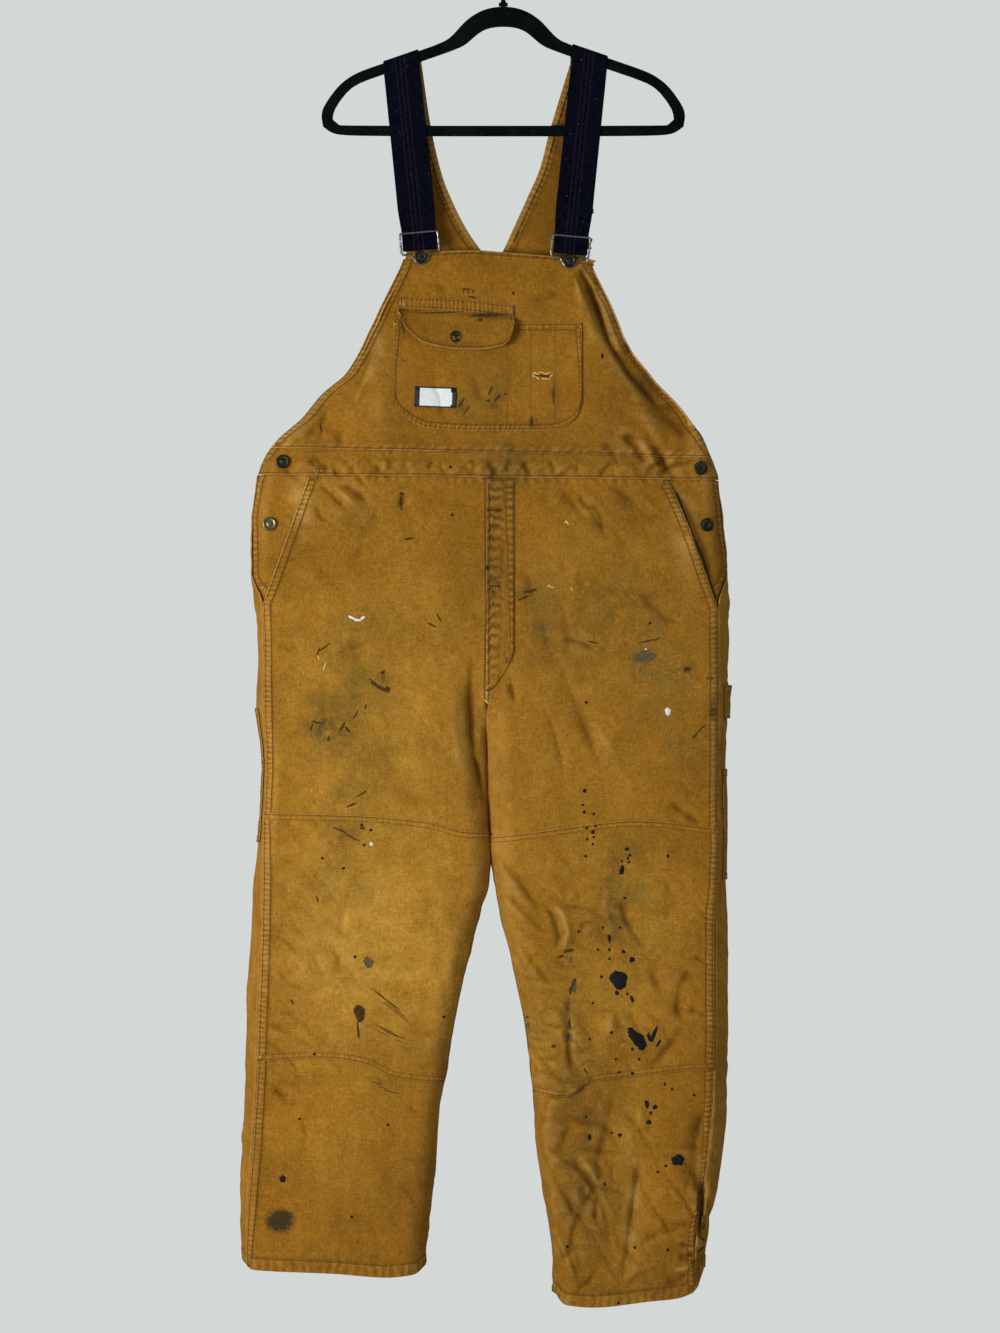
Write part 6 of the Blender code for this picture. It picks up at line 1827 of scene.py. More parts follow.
def stitches_mesh(name, rows, pitch, length, thick, surface):
    """Rows of separate stitches, each a short tapered lozenge of thread half sunk in the cloth."""
    verts, faces = [], []
    for points, normals in rows:
        run = lengths_down(points)
        count = int(run[-1] / pitch)
        if count < 1:
            continue
        for centre in (np.arange(count) + 0.5) * run[-1] / count:
            first, middle, last = (
                np.array(read_along(run, points, centre + share * length)) for share in (-0.5, 0.0, 0.5)
            )
            if np.linalg.norm(last - first) < 1e-7:
                continue
            out = unit(np.array(read_along(run, normals, centre)))
            way = unit(last - first)
            side = np.cross(out, way)
            start = len(verts)
            for share, full in STITCH_SECTIONS:
                on_line = middle + way * share * length
                if full == 0:
                    verts.append(on_line - out * thick * 0.1)
                    continue
                for k in range(STITCH_SIDES):
                    a = 2 * math.pi * k / STITCH_SIDES
                    round_it = (side * math.cos(a) + out * math.sin(a)) * thick / 2
                    verts.append(on_line + round_it + out * thick * 0.12)
            end = start + 1 + 2 * STITCH_SIDES
            for k in range(STITCH_SIDES):
                a, b = start + 1 + k, start + 1 + (k + 1) % STITCH_SIDES
                c, d = a + STITCH_SIDES, b + STITCH_SIDES
                faces += [(start, b, a), (a, b, d), (a, d, c), (c, d, end)]
    plain_mesh(name, [tuple(v) for v in verts], faces, surface, "duck_canvas")


# Seams that cross the cloth away from its edges, and short close rows that bar a corner.
INNER_ROWS = [metres(line) for line in (
    ((-21.3, -646), (-20.1, -670.4), (-19.5, -755.7), (-20.1, -816.6), (-21.3, -865.4), (-23.2, -902)),
    ((4.9, -464.3), (4.9, -524.1), (4.9, -580.2)), ((33.5, -461.9), (33.5, -524.1), (33.5, -581.4)),
    ((62.8, -459.5), (62.8, -524.1), (62.8, -581.4)), (
        (-282.8, -611.8), (-232.8, -613.7), (-125.6, -613.1), (-28, -614.3), (69.5, -616.7),
        (167, -619.2), (240.1, -625.3),
    ), ((-231.6, -616.7), (-231.6, -643.5)),
)]
BAR_TACKS = [metres(line) for line in (
    ((-127.4, -426.6), (-127.4, -437.5)), ((-124.3, -426.6), (-124.3, -437.5)),
    ((11.6, -436.3), (11.6, -447.3)), ((13.4, -436.3), (13.4, -447.3)), ((-299.9, -774), (-286.5, -774)),
    ((-299.9, -777), (-286.5, -777)), ((-228, -635), (-230.4, -647.2)),
    ((-224.3, -635), (-226.7, -647.2)), ((199.9, -638.7), (204.8, -649.6)),
    ((203, -638.7), (207.2, -648.4)), ((2.4, -865.4), (12.2, -865.4)), ((2.4, -867.8), (12.2, -867.8)),
    ((2.4, -870.3), (12.2, -870.3)), ((-126.8, -441.2), (-134.1, -444.8)),
    ((237.7, -792.3), (249.9, -789.8)),
)]

# Drops and spots of dried paint, as (across, height, half width, half height, turned by degrees).
BLACK_DROPS = (
    (140.2, -1255.5, 8.6, 9.4, 10), (137.7, -1249.4, 5, 4, 40), (162.1, -1326.2, 6, 11, 38),
    (176.8, -1325, 1.9, 4.6, 12), (168.2, -1335.9, 4.4, 4, 0), (154.8, -1317.6, 3.4, 4.2, 30),
    (182.9, -1321.3, 2, 8.6, -18), (188.3, -1332.3, 1.2, 4.6, -30), (212.1, -1474.9, 6, 6.2, 0),
    (98.7, -1026.3, 2.1, 2, 0), (96.3, -1043.4, 1.4, 1.4, 0), (98.1, -1051.9, 1.7, 1.8, 0),
    (109.7, -1054.3, 1.4, 1.5, 0), (101.2, -1071.4, 1.6, 1.5, 0), (112.1, -1069, 1.2, 1.3, 0),
    (108.5, -1076.3, 2, 2, 0), (109.7, -1082.4, 1.4, 1.3, 0), (101.8, -1084.8, 1.4, 1.5, 0),
    (108.5, -1090.9, 1.3, 1.4, 0), (100, -1105.5, 1.5, 1.4, 0), (149.9, -1097, 2.6, 1.6, 0),
    (153.6, -1104.3, 1.5, 1.4, 0), (151.2, -1108, 1.4, 1.3, 0), (143.8, -1111.6, 1.3, 1.3, 0),
    (152.4, -1112.9, 1.4, 1.3, 0), (143.8, -1122.6, 2.4, 5.2, -8), (199.9, -1105.5, 1.6, 1.8, 0),
    (147.5, -1156.1, 1.8, 1.3, 0), (120.7, -1192.1, 1.5, 1.4, 0), (128.6, -1205.5, 1.5, 4.2, 6),
    (91.4, -1197, 1.3, 1.4, 0), (114.6, -1218.9, 1.4, 1.3, 0), (128.6, -1218.9, 1.5, 1.5, 0),
    (128.6, -1229.9, 1.3, 1.4, 0), (145.7, -1221.3, 2, 2, 0), (156, -1231.1, 3, 2.8, 0),
    (141.4, -1192.1, 1.4, 1.3, 0), (119, -1251.8, 1.5, 1.6, 0), (137.7, -1271.3, 2.3, 2.2, 0),
    (150.5, -1272.5, 1.4, 1.5, 0), (156, -1278.6, 1.6, 4, 24), (108.5, -1283.5, 1.4, 1.4, 0),
    (131, -1318.9, 1.6, 1.5, 0), (104.8, -1327.4, 1.3, 1.4, 0), (156.6, -1339.6, 1.5, 1.5, 0),
    (164.6, -1351.8, 1.5, 1.5, 0), (136.5, -1351.8, 1.3, 1.4, 0), (140.2, -1367.6, 1.5, 1.4, 0),
    (156.6, -1368.8, 1.6, 1.6, 0), (196.3, -1382.3, 1.4, 1.5, 0), (204.8, -1388.3, 1.5, 1.4, 0),
    (231.6, -1395.7, 1.5, 1.6, 0), (174.3, -1406.6, 2.4, 4, 14), (184.1, -1410.3, 2.5, 2.4, 0),
    (179.2, -1417.6, 1.5, 1.6, 0), (176.8, -1428.6, 2.4, 2.5, 0), (100.6, -1422.5, 1.4, 1.4, 0),
    (104.8, -1446.9, 2, 3, 10), (141.4, -1444.4, 2, 2, 0), (131.7, -1442, 1.3, 1.4, 0),
    (197.5, -1482.2, 1.5, 1.6, 0), (187.7, -1489.5, 1.4, 1.4, 0), (123.1, -1504.2, 1, 2.2, 0),
    (78, -1581, 1.5, 1.5, 0), (159.7, -1581.6, 1.4, 1.4, 0), (199.9, -1584.6, 1.5, 1.6, 0),
    (139.6, -1648, 1.5, 1.5, 0), (-171.9, -1067.8, 1.6, 1.5, 0), (-160.9, -1073.8, 1.5, 1.6, 0),
    (-168.8, -1092.1, 1.4, 1.5, 0), (-193.8, -1120.2, 1.5, 1.4, 0), (-219.4, -1108, 1.4, 1.4, 0),
    (-179.8, -1227.4, 1.5, 1.6, 0), (-268.2, -1498.1, 3.5, 3.4, 0), (-229.2, -1345.7, 1.5, 1.5, 0),
    (-247.5, -1424.9, 1.4, 1.4, 0), (-184.1, -1544.4, 1.5, 1.5, 0), (-140.2, -1432.2, 1.4, 1.5, 0),
    (-71.9, -1300.6, 1.5, 1.4, 0), (-62.2, -691.1, 1.4, 1.4, 0), (178, -822.7, 1.4, 1.4, 0),
    (100.6, -919, 1.6, 1.6, 0), (-19.5, -755.7, 1.6, 2, 0), (-64.6, -632.6, 1.5, 1.3, 0),
    (12.2, -420.5, 1.2, 1.6, 0), (120.7, -497.3, 1.5, 2.4, 0),
)
GREY_DROPS = (
    (-163.3, -1234.8, 5, 4.8, 0), (-164.6, -1231.1, 3, 3.4, 20), (171.9, -863, 11, 5.6, 12),
    (224.3, -880, 2.6, 3, 0), (86.5, -1264, 1.8, 6, 4), (81.7, -1231.1, 1.6, 3.4, 0),
    (30.5, -1311.6, 2, 3, 10), (81.7, -1325, 1.6, 5, 0),
)
# Scrapes, scuffs and small smudges of ground-in dirt, given in the same way, and dark strokes of painted
# shadow: in the right pocket's open mouth, in the crevice behind the curled hem, under the pocket strip, by
# the flap's corner and in the left side pocket's mouth.
SMEARS_AND_SHADOWS = (
    (-174.3, -1295.7, 5.4, 8.6, 6), (-176.1, -1316.4, 1.2, 9, 4), (-123.1, -459.5, 1, 9, 14),
    (-76.8, -444.2, 24, 0.7, 2), (241.4, -1544.4, 2.8, 13, 10), (238.9, -1527.3, 1.4, 14, 4),
    (240.1, -1584.6, 5, 1.2, 40), (231.6, -1599.2, 4, 1, 30), (242.6, -1572.4, 3.4, 1.2, -40),
    (219.4, -687.4, 1.3, 21, 21), (240.1, -741.1, 2.1, 27, 21), (255.4, -784.9, 1.5, 16, 21),
    (-217, -852, 0.9, 7.2, -52), (-224.3, -856.9, 0.8, 4.6, -20), (-146.3, -882.5, 2.6, 1.6, 35),
    (-149.9, -900.7, 1.8, 10.5, 62), (-140.2, -903.2, 2.6, 3.2, 0), (-158.5, -893.4, 0.9, 5, 55),
    (-195, -948.3, 1.4, 5, -30), (-188.9, -951.9, 1.2, 4.4, 40), (-212.1, -962.9, 1.2, 2.8, -10),
    (-225.5, -943.4, 1.1, 6.6, 76), (-232.8, -949.5, 1, 3.8, -20), (-123.1, -665.5, 2.6, 1.6, 0),
    (-124.3, -677.7, 1.2, 6.6, 4), (-114.6, -720.3, 5.4, 1.1, 6), (-86.5, -825.2, 5, 1, -22),
    (-78, -816.6, 0.8, 5, 30), (-179.2, -933.7, 0.9, 5, -30), (-171.9, -1030, 0.9, 6, -60),
    (-184.1, -1043.4, 1, 6, -66), (-167, -923.9, 1, 2.6, 0), (-256, -1282.3, 1, 2.4, 30),
    (-142.6, -1279.9, 0.45, 16, 52), (-136.5, -1283.5, 0.4, 15, 53), (-130.4, -1292, 0.45, 15, 54),
    (-139, -1288.4, 0.35, 12, 52), (-148.7, -1273.8, 0.4, 9, 50), (-123.1, -1300.6, 0.4, 9, 50),
    (-143.8, -1315.2, 0.6, 8.6, 66), (-137.7, -1320.1, 0.45, 10, 64), (-128, -1323.7, 0.5, 9, 66),
    (-146.3, -1320.1, 0.4, 7, 66), (-123.1, -1331.1, 0.35, 6, 64), (-154.8, -1381, 0.4, 6.6, 70),
    (-135.3, -1392, 0.4, 9, 74), (-145.1, -1387.1, 0.4, 5, 68), (-225.5, -1158, 0.8, 3.6, 12),
    (-170.7, -1071.4, 2.4, 1.8, 12), (-184.1, -1082.4, 0.9, 8, 60), (-198.7, -1073.8, 0.9, 7, 68),
    (174.3, -844.7, 8.2, 0.8, 14), (186.5, -842.2, 0.8, 3.6, -60), (108.5, -845.9, 6, 0.8, -14),
    (32.9, -783.7, 7, 1.6, 14), (24.4, -792.3, 5, 1.2, 24), (234, -958, 1, 6, -42),
    (241.4, -949.5, 0.9, 4, -50), (223.1, -878.8, 3.6, 2.6, 0), (251.1, -889.8, 3.6, 0.9, 0),
    (79.2, -1220.1, 5.2, 2, 14), (69.5, -1227.4, 3.8, 1.4, 20), (85.3, -1260.4, 2, 6.6, -16),
    (81.7, -1267.7, 1.6, 4.6, -10), (80.5, -1309.1, 1.5, 6, 4), (79.2, -1323.7, 1.8, 3.6, 0),
    (29.3, -1301.8, 2, 1, 0), (29.3, -1311.6, 3, 1.8, 12), (61, -1335.9, 2.4, 1.8, 0),
    (-45.1, -415.6, 5, 0.9, -4), (-48.8, -418, 0.7, 2.2, 0), (-42.7, -419.2, 0.7, 2, 12),
    (-36.6, -418, 0.7, 2.2, -8), (-37.8, -425.3, 4.6, 1, -16), (-15.8, -539.9, 1.2, 5.4, -24),
    (-7.3, -548.5, 1.1, 5, -40), (-18.3, -552.1, 2.2, 1.4, 0), (2.4, -543.6, 1.6, 1.2, 0),
    (-51.2, -554.6, 1.2, 6, -30), (-45.1, -564.3, 1, 5.6, -40), (-57.3, -546, 1, 3.6, 0),
    (-20.7, -923.9, 1.1, 4.4, -14), (48.8, -521.6, 8.6, 1.2, -4), (-19.5, -754.5, 1.6, 2.4, 0),
    (-296.2, -927.6, 1.5, 8.4, 33), (-8.5, -685, 7, 0.9, 4), (-9.8, -777.6, 7, 0.8, -4),
    (-17.1, -447.3, 20, 1.5, 3), (-28, -453.4, 2.6, 1.6, 0), (34.1, -577.7, 2, 5, 0),
    (61, -546, 0.8, 9, 0), (-221.9, -585, 1, 5, 12), (100, -1366.4, 0.8, 4, 30),
)
# Bare threads where the chest pocket is torn, and where the cloth is nicked.
FRAYS = (
    (40.2, -518.6, 0.6, 3.6, 64), (46.3, -517.4, 0.5, 3.2, 80), (53.6, -518.6, 0.5, 3.8, -72),
    (58.5, -521.6, 0.5, 3, -40), (51.2, -525.3, 0.5, 4.4, 84), (41.4, -524.1, 0.5, 3, 50),
    (36.6, -521, 0.5, 2.6, 10), (78, -700.8, 0.5, 2.4, 30), (75.6, -699.6, 0.5, 1.8, -40),
    (58.5, -778.8, 0.5, 2.6, 66), (54.9, -777.6, 0.5, 1.8, -30), (82.9, -781.3, 0.5, 2, 20),
    (-217, -875.1, 0.6, 4.2, -14), (-224.3, -864.2, 0.5, 2.2, 20), (-20.7, -917.8, 0.6, 3, 50),
)
WHITE_DROPS = (
    (199.9, -930, 2.9, 4, 0), (-160.2, -1090.9, 1.8, 1.8, 0), (173.1, -854.4, 1, 1, 0),
    (-184.1, -816, 1.3, 3.6, 62), (-176.8, -819.1, 1.2, 3.6, 88), (-170.7, -816.4, 1.2, 2.6, -58),
)
DROP_SEED = 11
DROP_RIM = 20
DROP_SPREAD = 0.00122
DROP_LIFT = 0.00012
SMEAR_HEIGHT = 0.0001
FRAY_HEIGHT = 0.0003
PAINT_SHINE = 0.16
SOAKED_SHINE = 0.05
# A drop's rings as shares of its width and of its height, and the waves of its edge.
DROP_RINGS = ((0.0, 1.0), (0.55, 0.85), (0.85, 0.45), (1.0, -0.12))
DROP_LOBES = ((2, 0.09), (3, 0.10), (5, 0.08), (7, 0.05))


def drops(name, table, height, surface, trees):
    """Drops of paint: each is a low dome with a wavering edge, laid on the cloth."""
    chance = np.random.default_rng(DROP_SEED)
    around = np.arange(DROP_RIM) * 2 * math.pi / DROP_RIM
    verts, faces = [], []
    for x_mm, z_mm, wide, tall, turned in table:
        wave = np.ones(DROP_RIM)
        for lobes, size in DROP_LOBES:
            wave += size * chance.uniform(0.5, 1.3) * np.sin(lobes * around + chance.uniform(0, 2 * math.pi))
        cos, sin = math.cos(math.radians(turned)), math.sin(math.radians(turned))
        start = len(verts)
        rise = min(height, 0.00025 * max(wide, 1.0))
        spots = []
        for share, up in DROP_RINGS:
            for k in range(DROP_RIM if share else 1):
                reach = share * wave[k] * DROP_SPREAD
                u, w = reach * wide * math.cos(around[k]), reach * tall * math.sin(around[k])
                x, z = x_mm / 1000 + u * cos - w * sin, z_mm / 1000 + u * sin + w * cos
                spots.append(laid_on(trees, x, z, DROP_LIFT + rise * up)[0])
        if None in spots:
            continue
        verts += [tuple(spot) for spot in spots]
        for k in range(DROP_RIM):
            m = (k + 1) % DROP_RIM
            faces.append((start, start + 1 + k, start + 1 + m))
            for a in (start + 1, start + 1 + DROP_RIM):
                faces.append((a + k, a + DROP_RIM + k, a + DROP_RIM + m, a + m))
    plain_mesh(name, verts, faces, surface, "duck_canvas")


# ---------------------------------------------------------------- settings


def length(name, description, default):
    return bpy.props.FloatProperty(
        name=name, description=description, default=default,
        min=0.0, subtype="DISTANCE", unit="LENGTH", precision=5,
    )


def power(name, description, default):
    return bpy.props.FloatProperty(
        name=name, description=description, default=default, min=0.0, subtype="POWER", unit="POWER"
    )


def tint(name, description, code):
    return bpy.props.FloatVectorProperty(
        name=name, description=description, default=srgb(code), size=3, min=0.0, max=1.0, subtype="COLOR"
    )


class OverallsSizes(bpy.types.PropertyGroup):
    step: length("Mesh step", "Distance between points of the cloth's mesh", 0.0025)
    edge_radius: length("Edge radius", "Radius on which an edge of the cloth turns under", 0.0008)
    pitch: length("Stitch pitch", "Distance from one stitch to the next", 0.0031)
    stitch: length("Stitch length", "Length of the thread that shows between two holes", 0.0023)
    thread: length("Thread width", "Width of the sewing thread", 0.0008)
    paint: length("Paint height", "Most that a drop of dried paint stands off the cloth", 0.0008)


class OverallsColours(bpy.types.PropertyGroup):
    brown: tint("Brown", "Washed canvas where it has kept its dye", "#8A5C16")
    gold: tint("Gold", "Canvas faded by sun and wear", "#B2842F")
    # Deep also gives painted shade in troughs, seam grooves and between puckers, and pale gives painted
    # highlights on ridges, puckers and seam lips.
    deep: tint("Deep brown", "Canvas in its troughs and seams", "#4C2F08")
    pale: tint("Pale", "Canvas rubbed to its pale core", "#CDA45E")
    # This colour also paints shade: in the crevice by the curled hem, under the pocket strip, along the bib's
    # fallen edge and in the pocket mouths. Smear is also the edge colour of those strokes.
    soot_and_shade: tint("Soot", "Ground-in dirt", "#2F2718")
    thread: tint("Thread", "Dirty sewing thread", "#4B2A0A")
    thread_pale: tint("Thread, worn", "Sewing thread worn paler", "#7A4C17")
    webbing: tint("Webbing", "Elastic of the straps", "#04050D")
    webbing_worn: tint("Webbing, worn", "Elastic rubbed grey-blue", "#0B0E1C")
    stripe: tint("Stripe", "Dotted lines down the straps", "#241529")
    lint: tint("Lint", "Specks of lint", "#5C5F66")
    nickel: tint("Nickel", "Bright nickel plating", "#8F8F8C")
    nickel_dull: tint("Nickel, dull", "Nickel plating gone dull", "#45453F")
    chrome: tint("Chrome", "Polished hook wire", "#D0D1D3")
    button: tint("Button", "Blackened steel where it is rubbed", "#3E4030")
    button_dark: tint("Button, dark", "Blackened steel", "#14160F")
    brass: tint("Brass", "Aged brass plating", "#716C4B")
    brass_dark: tint("Brass, dark", "Hollows of the aged buttons", "#2A2818")
    flock: tint("Flock", "Flocked hanger", "#060909")
    flock_worn: tint("Flock, worn", "Flocked hanger where its pile is thin", "#0E1313")
    label: tint("Label", "White face of the label", "#DCE0E0")
    label_grey: tint("Label, shaded", "Hollows of the label's weave", "#B9BFC0")
    label_border: tint("Label border", "Black border of the label", "#0E1018")
    olive: tint("Olive", "Canvas dulled by old dirt", "#6E5A24")
    smear: tint("Smear", "Thin smears of dirt", "#5A431A")
    fray: tint("Fray", "Bare broken threads", "#D9BE86")
    black_paint: tint("Black paint", "Drops of black paint", "#0C0E0A")
    grey_paint: tint("Grey paint", "Drops of grey paint", "#46443A")
    grey_paint_thin: tint("Grey paint, thin", "Grey paint soaked into the cloth", "#6B5526")
    white_paint: tint("White paint", "Drops of white paint", "#D8D6D0")
    floor: tint("Floor", "Floor under the garment", "#D6D8D6")
    floor_dark: tint("Floor, shaded", "Uneven patches of the floor", "#CACDCA")
    backdrop: tint("Backdrop", "Pale surroundings", "#D3D8D7")


class OverallsStage(bpy.types.PropertyGroup):
    camera_away: length("Camera distance", "From the garment's middle to the camera", 7.0)
    seen_height: length("Seen height", "Height of the picture at the garment", 1.620)
    key_size: length("Key light size", "Side of the soft light in front", 1.1)
    fill_size: length("Fill light size", "Side of the weak light from the right", 1.4)
    key_power: power("Key light power", "Power of the soft light in front", 96.0)
    fill_power: power("Fill light power", "Power of the weak light from the right", 10.0)
    ambient: bpy.props.FloatProperty(
        name="Surroundings", description="Strength of the light from all round", default=0.33, min=0.0
    )


# ---------------------------------------------------------------- operators

MADE = {}


def sizes():
    return bpy.context.scene.overalls_sizes


def colours():
    return bpy.context.scene.overalls_colours


def shared(make):
    """The material that a function makes, made once."""
    key = make.__name__
    if key not in MADE:
        MADE[key] = make(colours())
    return MADE[key]


def finish_node(name, make):
    """Gives a CAD node that stays as it is its material."""
    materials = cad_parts[name].data.materials
    materials.clear()
    materials.append(shared(make))


class OVERALLS_OT_trousers(bpy.types.Operator):
    """Builds the legs, the hips behind their pocket mouths, and the doubled knees"""

    bl_idname = "overalls.trousers"
    bl_label = "Trousers"

    def execute(self, context):
        for half, word in SIDES:
            for build in (front_leg, back_leg, hip_piece, knee_patch):
                build(half, word, sizes(), shared(canvas))
        return {"FINISHED"}


class OVERALLS_OT_side_pieces(bpy.types.Operator):
    """Builds the pockets and the hammer loop on the legs' sides"""

    bl_idname = "overalls.side_pieces"
    bl_label = "Side pockets and loop"

    def execute(self, context):
        pocket = Edges(POCKET_HEM, PIECE_EDGE, PIECE_EDGE, PIECE_EDGE)
        loop = Edges(WELT_EDGE, WELT_EDGE, RAW, RAW)
        for name, half, word, span, top, foot, edges, flat, bow in (
            ("utility_pocket", LEFT, "left", POCKET_SPAN, -0.926, -1.090, pocket, (0.195, 0.166), 0.0),
            ("tool_pocket", RIGHT, "right", POCKET_SPAN, -1.000, -1.135, pocket, (0.206, 0.137), 0.0),
            ("hammer_loop", RIGHT, "right", LOOP_SPAN, -0.898, -0.9385, loop, (0.170, 0.041), LOOP_SLACK),
        ):
            side_patch(name, half, span, top, foot, edges, sizes(), shared(canvas), bow)
        return {"FINISHED"}


class OVERALLS_OT_bib(bpy.types.Operator):
    """Builds the bib, the band under it and the upper back"""

    bl_idname = "overalls.bib"
    bl_label = "Bib and back"

    def execute(self, context):
        for build in (bib_front, waistband_front, back_bib):
            build(sizes(), shared(canvas))
        return {"FINISHED"}


class OVERALLS_OT_front_pieces(bpy.types.Operator):
    """Builds the chest pocket with its flap, strip and label, and the fly's strip"""

    bl_idname = "overalls.front_pieces"
    bl_label = "Chest pocket and fly"

    def execute(self, context):
        for build in (bib_pocket, pocket_welt, pocket_flap, fly_placket):
            build(sizes(), shared(canvas))
        pocket_label(shared(label_cloth))
        return {"FINISHED"}


class OVERALLS_OT_straps(bpy.types.Operator):
    """Builds the elastic straps and their wire buckles, and gives the buckles' bars their material"""

    bl_idname = "overalls.straps"
    bl_label = "Straps and buckles"

    def execute(self, context):
        for half, word, centre, top_x in (
            (LEFT, "left", BIB_BUTTON_LEFT, -0.1250), (RIGHT, "right", BIB_BUTTON_RIGHT, 0.1060),
        ):
            tilt = half.sign * BUCKLE_TILT
            strap(half, word, centre, tilt, top_x, shared(webbing))
            buckle(word, centre, tilt, shared(nickel_wire))
            finish_node(f"buckle_bar_{word}", nickel_wire)
        return {"FINISHED"}


class OVERALLS_OT_buttons(bpy.types.Operator):
    """Builds the tack buttons of the bib, the vents and the flap"""

    bl_idname = "overalls.buttons"
    bl_label = "Buttons"

    def execute(self, context):
        shank = 2 * WIRE_RADIUS + 2 * SEAM_GAP
        hip = -LAYER - SEAM_GAP
        flap = 2 * LAYER + SEAM_GAP
        for name, x, z, base, radius, tall, make, slot in (
            ("bib_button_left", *BIB_BUTTON_LEFT, 0.0, 0.0077, shank, dark_button, "dark_button"),
            ("bib_button_right", *BIB_BUTTON_RIGHT, 0.0, 0.0077, shank, dark_button, "dark_button"),
            ("side_button_left_upper", -0.2682, -0.6265, 0.0, 0.0084, 0.0010, dark_button, "aged_button"),
            ("side_button_left_lower", -0.2840, -0.7021, hip, 0.0084, 0.0010, aged_button, "aged_button"),
            ("side_button_right_upper", 0.2389, -0.6350, 0.0, 0.0084, 0.0010, dark_button, "aged_button"),
            ("side_button_right_lower", 0.2475, -0.7033, hip, 0.0084, 0.0010, dark_button, "aged_button"),
            ("flap_button", -0.0578, -0.4741, flap, 0.0074, 0.0008, dark_button, "dark_button"),
        ):
            stud(name, x, z, base, radius, tall, shared(make), slot)
        return {"FINISHED"}


class OVERALLS_OT_hanger(bpy.types.Operator):
    """Rounds the hanger's outline and gives its frame, collar and hook their materials"""

    bl_idname = "overalls.hanger"
    bl_label = "Hanger"

    def execute(self, context):
        rounded("hanger_frame", shared(flocked_plastic))
        finish_node("hanger_neck", flocked_plastic)
        finish_node("hanger_hook", chromed_wire)
        return {"FINISHED"}


FRONT_CLOTH = (
    "front_leg_left", "front_leg_right", "hip_piece_left", "hip_piece_right", "knee_patch_left",
    "knee_patch_right", "bib_front", "waistband_front", "bib_pocket", "pocket_welt", "pocket_flap",
    "fly_placket", "back_leg_left", "back_leg_right", "pocket_label",
)


class OVERALLS_OT_thread(bpy.types.Operator):
    """Sews every seam: rows along the edges, rows across the cloth, and bar tacks"""

    bl_idname = "overalls.thread"
    bl_label = "Stitching"

    def execute(self, context):
        trees = cloth_trees()
        s = sizes()
        rows = SEWN + [traced(trees, line, INNER_STEP) for line in INNER_ROWS]
        stitches_mesh("stitching", rows, s.pitch, s.stitch, s.thread, shared(sewing_thread))
        tacks = [traced(trees, line, TACK_STEP) for line in BAR_TACKS]
        stitches_mesh("bar_tacks", tacks, *TACK_STITCH, shared(sewing_thread))
        return {"FINISHED"}


def traced(trees, line, step):
    """A line of (across, height) points laid on the cloth in front."""
    run = lengths_down(line)
    spots, outs = [], []
    for at in np.linspace(0, run[-1], max(int(run[-1] / step), 2) + 1):
        x, z = (float(np.interp(at, run, line[:, k])) for k in (0, 1))
        spot, normal = laid_on(trees, x, z, 0.0)
        if spot is not None:
            spots.append(tuple(spot))
            outs.append(tuple(normal))
    if len(spots) < 2:
        raise RuntimeError(f"no cloth lies behind the seam that starts at {line[0]}")
    return np.array(spots), np.array(outs)


class OVERALLS_OT_paint(bpy.types.Operator):
    """Lays the drops of dried paint on the cloth, and with them smudges of dirt, strokes of painted shadow
    and frayed threads
    """

    bl_idname = "overalls.paint"
    bl_label = "Paint"

    def execute(self, context):
        trees = cloth_trees()
        c = colours()
        for name, spots, colour, edge, shine, height in (
            ("paint_black", BLACK_DROPS, c.black_paint, c.black_paint, PAINT_SHINE, sizes().paint),
            ("paint_grey", GREY_DROPS, c.grey_paint, c.grey_paint_thin, SOAKED_SHINE, SMEAR_HEIGHT),
            ("paint_white", WHITE_DROPS, c.white_paint, c.label_grey, PAINT_SHINE, sizes().paint),
            # Smudges of dirt and strokes of painted shadow, drawn like the paint.
            ("smears_and_painted_shadows", SMEARS_AND_SHADOWS, c.soot_and_shade, c.smear, 0.0, SMEAR_HEIGHT),
            ("frayed_threads", FRAYS, c.fray, c.pale, 0.0, FRAY_HEIGHT),
        ):
            drops(name, spots, height, dried_paint(f"dried_{name}", colour, edge, shine), trees)
        return {"FINISHED"}


# Where the camera looks and the lights point, and where the lights stand.
CAMERA_AIM = (-0.004, -0.030, -0.8754)
LIGHT_AIM = Vector((0.0, 0.0, -0.87))
KEY_SPOT = (-2.15, -2.05, -0.85)
FILL_SPOT = (1.9, -1.9, -0.35)
SENSOR_MM = 36.0
# How pale the surroundings look behind the garment, whatever light they give.
SEEN_PALE = 0.70
# The floor: half its width, its front and rear edges, and how far it lies below the hems.
FLOOR_HALF, FLOOR_FRONT, FLOOR_REAR, FLOOR_BELOW = 0.8, -0.60, 0.28, 0.12


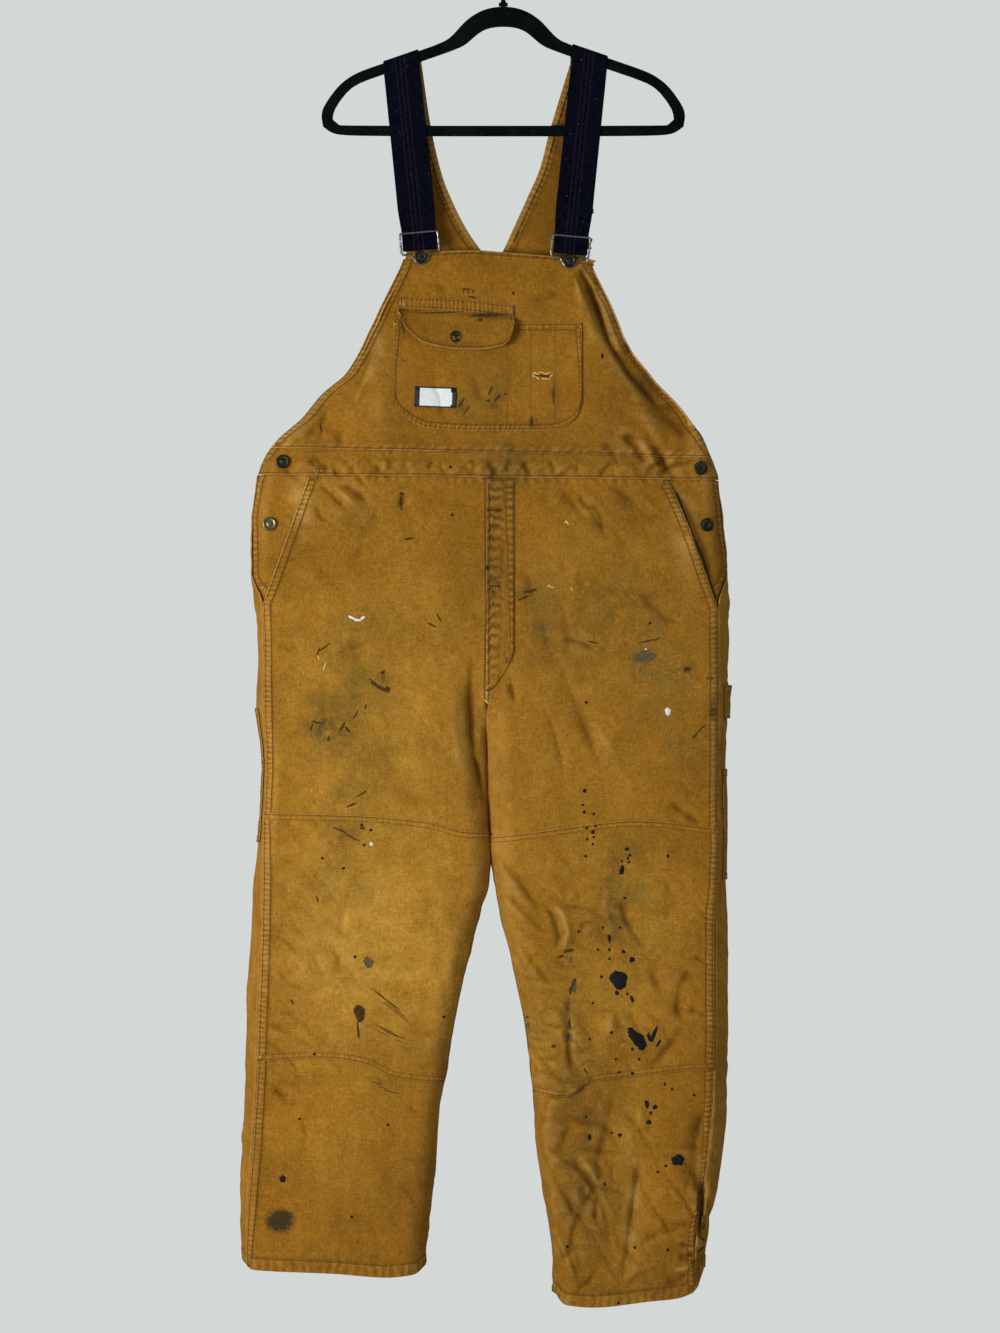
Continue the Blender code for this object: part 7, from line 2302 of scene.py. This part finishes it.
class OVERALLS_OT_stage(bpy.types.Operator):
    """Sets the camera, the soft lights, the pale surroundings and the floor"""

    bl_idname = "overalls.stage"
    bl_label = "Stage"

    def execute(self, context):
        scene, settings = context.scene, context.scene.overalls_stage
        low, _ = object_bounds()
        camera = bpy.data.objects.new("camera", bpy.data.cameras.new("camera"))
        scene.collection.objects.link(camera)
        camera.location = Vector(CAMERA_AIM) - Vector((0, settings.camera_away, 0))
        camera.rotation_euler = (math.pi / 2, 0, 0)
        camera.data.sensor_width = SENSOR_MM
        camera.data.lens = SENSOR_MM * settings.camera_away / settings.seen_height
        scene.camera = camera
        for name, spot, size, energy in (
            ("key_light", KEY_SPOT, settings.key_size, settings.key_power),
            ("fill_light", FILL_SPOT, settings.fill_size, settings.fill_power),
        ):
            light = bpy.data.lights.new(name, "AREA")
            light.shape = "SQUARE"
            light.size = size
            light.energy = energy
            thing = bpy.data.objects.new(name, light)
            scene.collection.objects.link(thing)
            thing.location = spot
            towards = LIGHT_AIM - Vector(spot)
            thing.rotation_euler = towards.to_track_quat("-Z", "Y").to_euler()
        world = bpy.data.worlds.new("pale_surroundings")
        scene.world = world
        world.use_nodes = True
        tree = world.node_tree
        ground = tree.nodes["Background"].inputs
        # The surroundings light the garment weakly, and look paler than they light it.
        seen = add(tree, "LightPath", out="Is Camera Ray")
        strength = add(tree, "MapRange", (seen, 0.0, 1.0, settings.ambient / SEEN_PALE, 1.0))
        ground["Color"].default_value = (*colours().backdrop, 1)
        tree.links.new(strength, ground["Strength"])
        mesh = bpy.data.meshes.new("floor")
        corners = ((-1, FLOOR_FRONT), (1, FLOOR_FRONT), (1, FLOOR_REAR), (-1, FLOOR_REAR))
        spots = [(side * FLOOR_HALF, y, low.z - FLOOR_BELOW) for side, y in corners]
        mesh.from_pydata(spots, [], [(0, 1, 2, 3)])
        mesh.materials.append(shared(painted_floor))
        floor = bpy.data.objects.new("floor", mesh)
        scene.collection.objects.link(floor)
        floor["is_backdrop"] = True
        scene.view_settings.view_transform = "Standard"
        return {"FINISHED"}


OPERATORS = (
    OVERALLS_OT_trousers, OVERALLS_OT_side_pieces, OVERALLS_OT_bib, OVERALLS_OT_front_pieces,
    OVERALLS_OT_straps, OVERALLS_OT_buttons, OVERALLS_OT_hanger, OVERALLS_OT_thread, OVERALLS_OT_paint,
    OVERALLS_OT_stage,
)


class OVERALLS_PT_build(bpy.types.Panel):
    """Lists the pieces of the overalls, each with its button"""

    bl_idname = "OVERALLS_PT_build"
    bl_label = "Overalls"
    bl_space_type = "VIEW_3D"
    bl_region_type = "UI"
    bl_category = "Overalls"

    def draw(self, context):
        for operator in OPERATORS:
            self.layout.operator(operator.bl_idname)
        for group in GROUPS:
            settings = getattr(context.scene, group)
            box = self.layout.box()
            for name in settings.__annotations__:
                box.prop(settings, name)


GROUPS = {
    "overalls_sizes": OverallsSizes, "overalls_colours": OverallsColours, "overalls_stage": OverallsStage,
}
CLASSES = (*GROUPS.values(), *OPERATORS, OVERALLS_PT_build)


def register():
    for each in CLASSES:
        bpy.utils.register_class(each)
    for name, group in GROUPS.items():
        setattr(bpy.types.Scene, name, bpy.props.PointerProperty(type=group))


def unregister():
    for name in GROUPS:
        delattr(bpy.types.Scene, name)
    for each in reversed(CLASSES):
        bpy.utils.unregister_class(each)


def main():
    register()
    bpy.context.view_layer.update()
    for operator in OPERATORS:
        family, name = operator.bl_idname.split(".")
        done = getattr(getattr(bpy.ops, family), name)()
        if "FINISHED" not in done:
            raise RuntimeError(f"{operator.bl_idname} didn't finish")


if __name__ == "__main__":
    main()
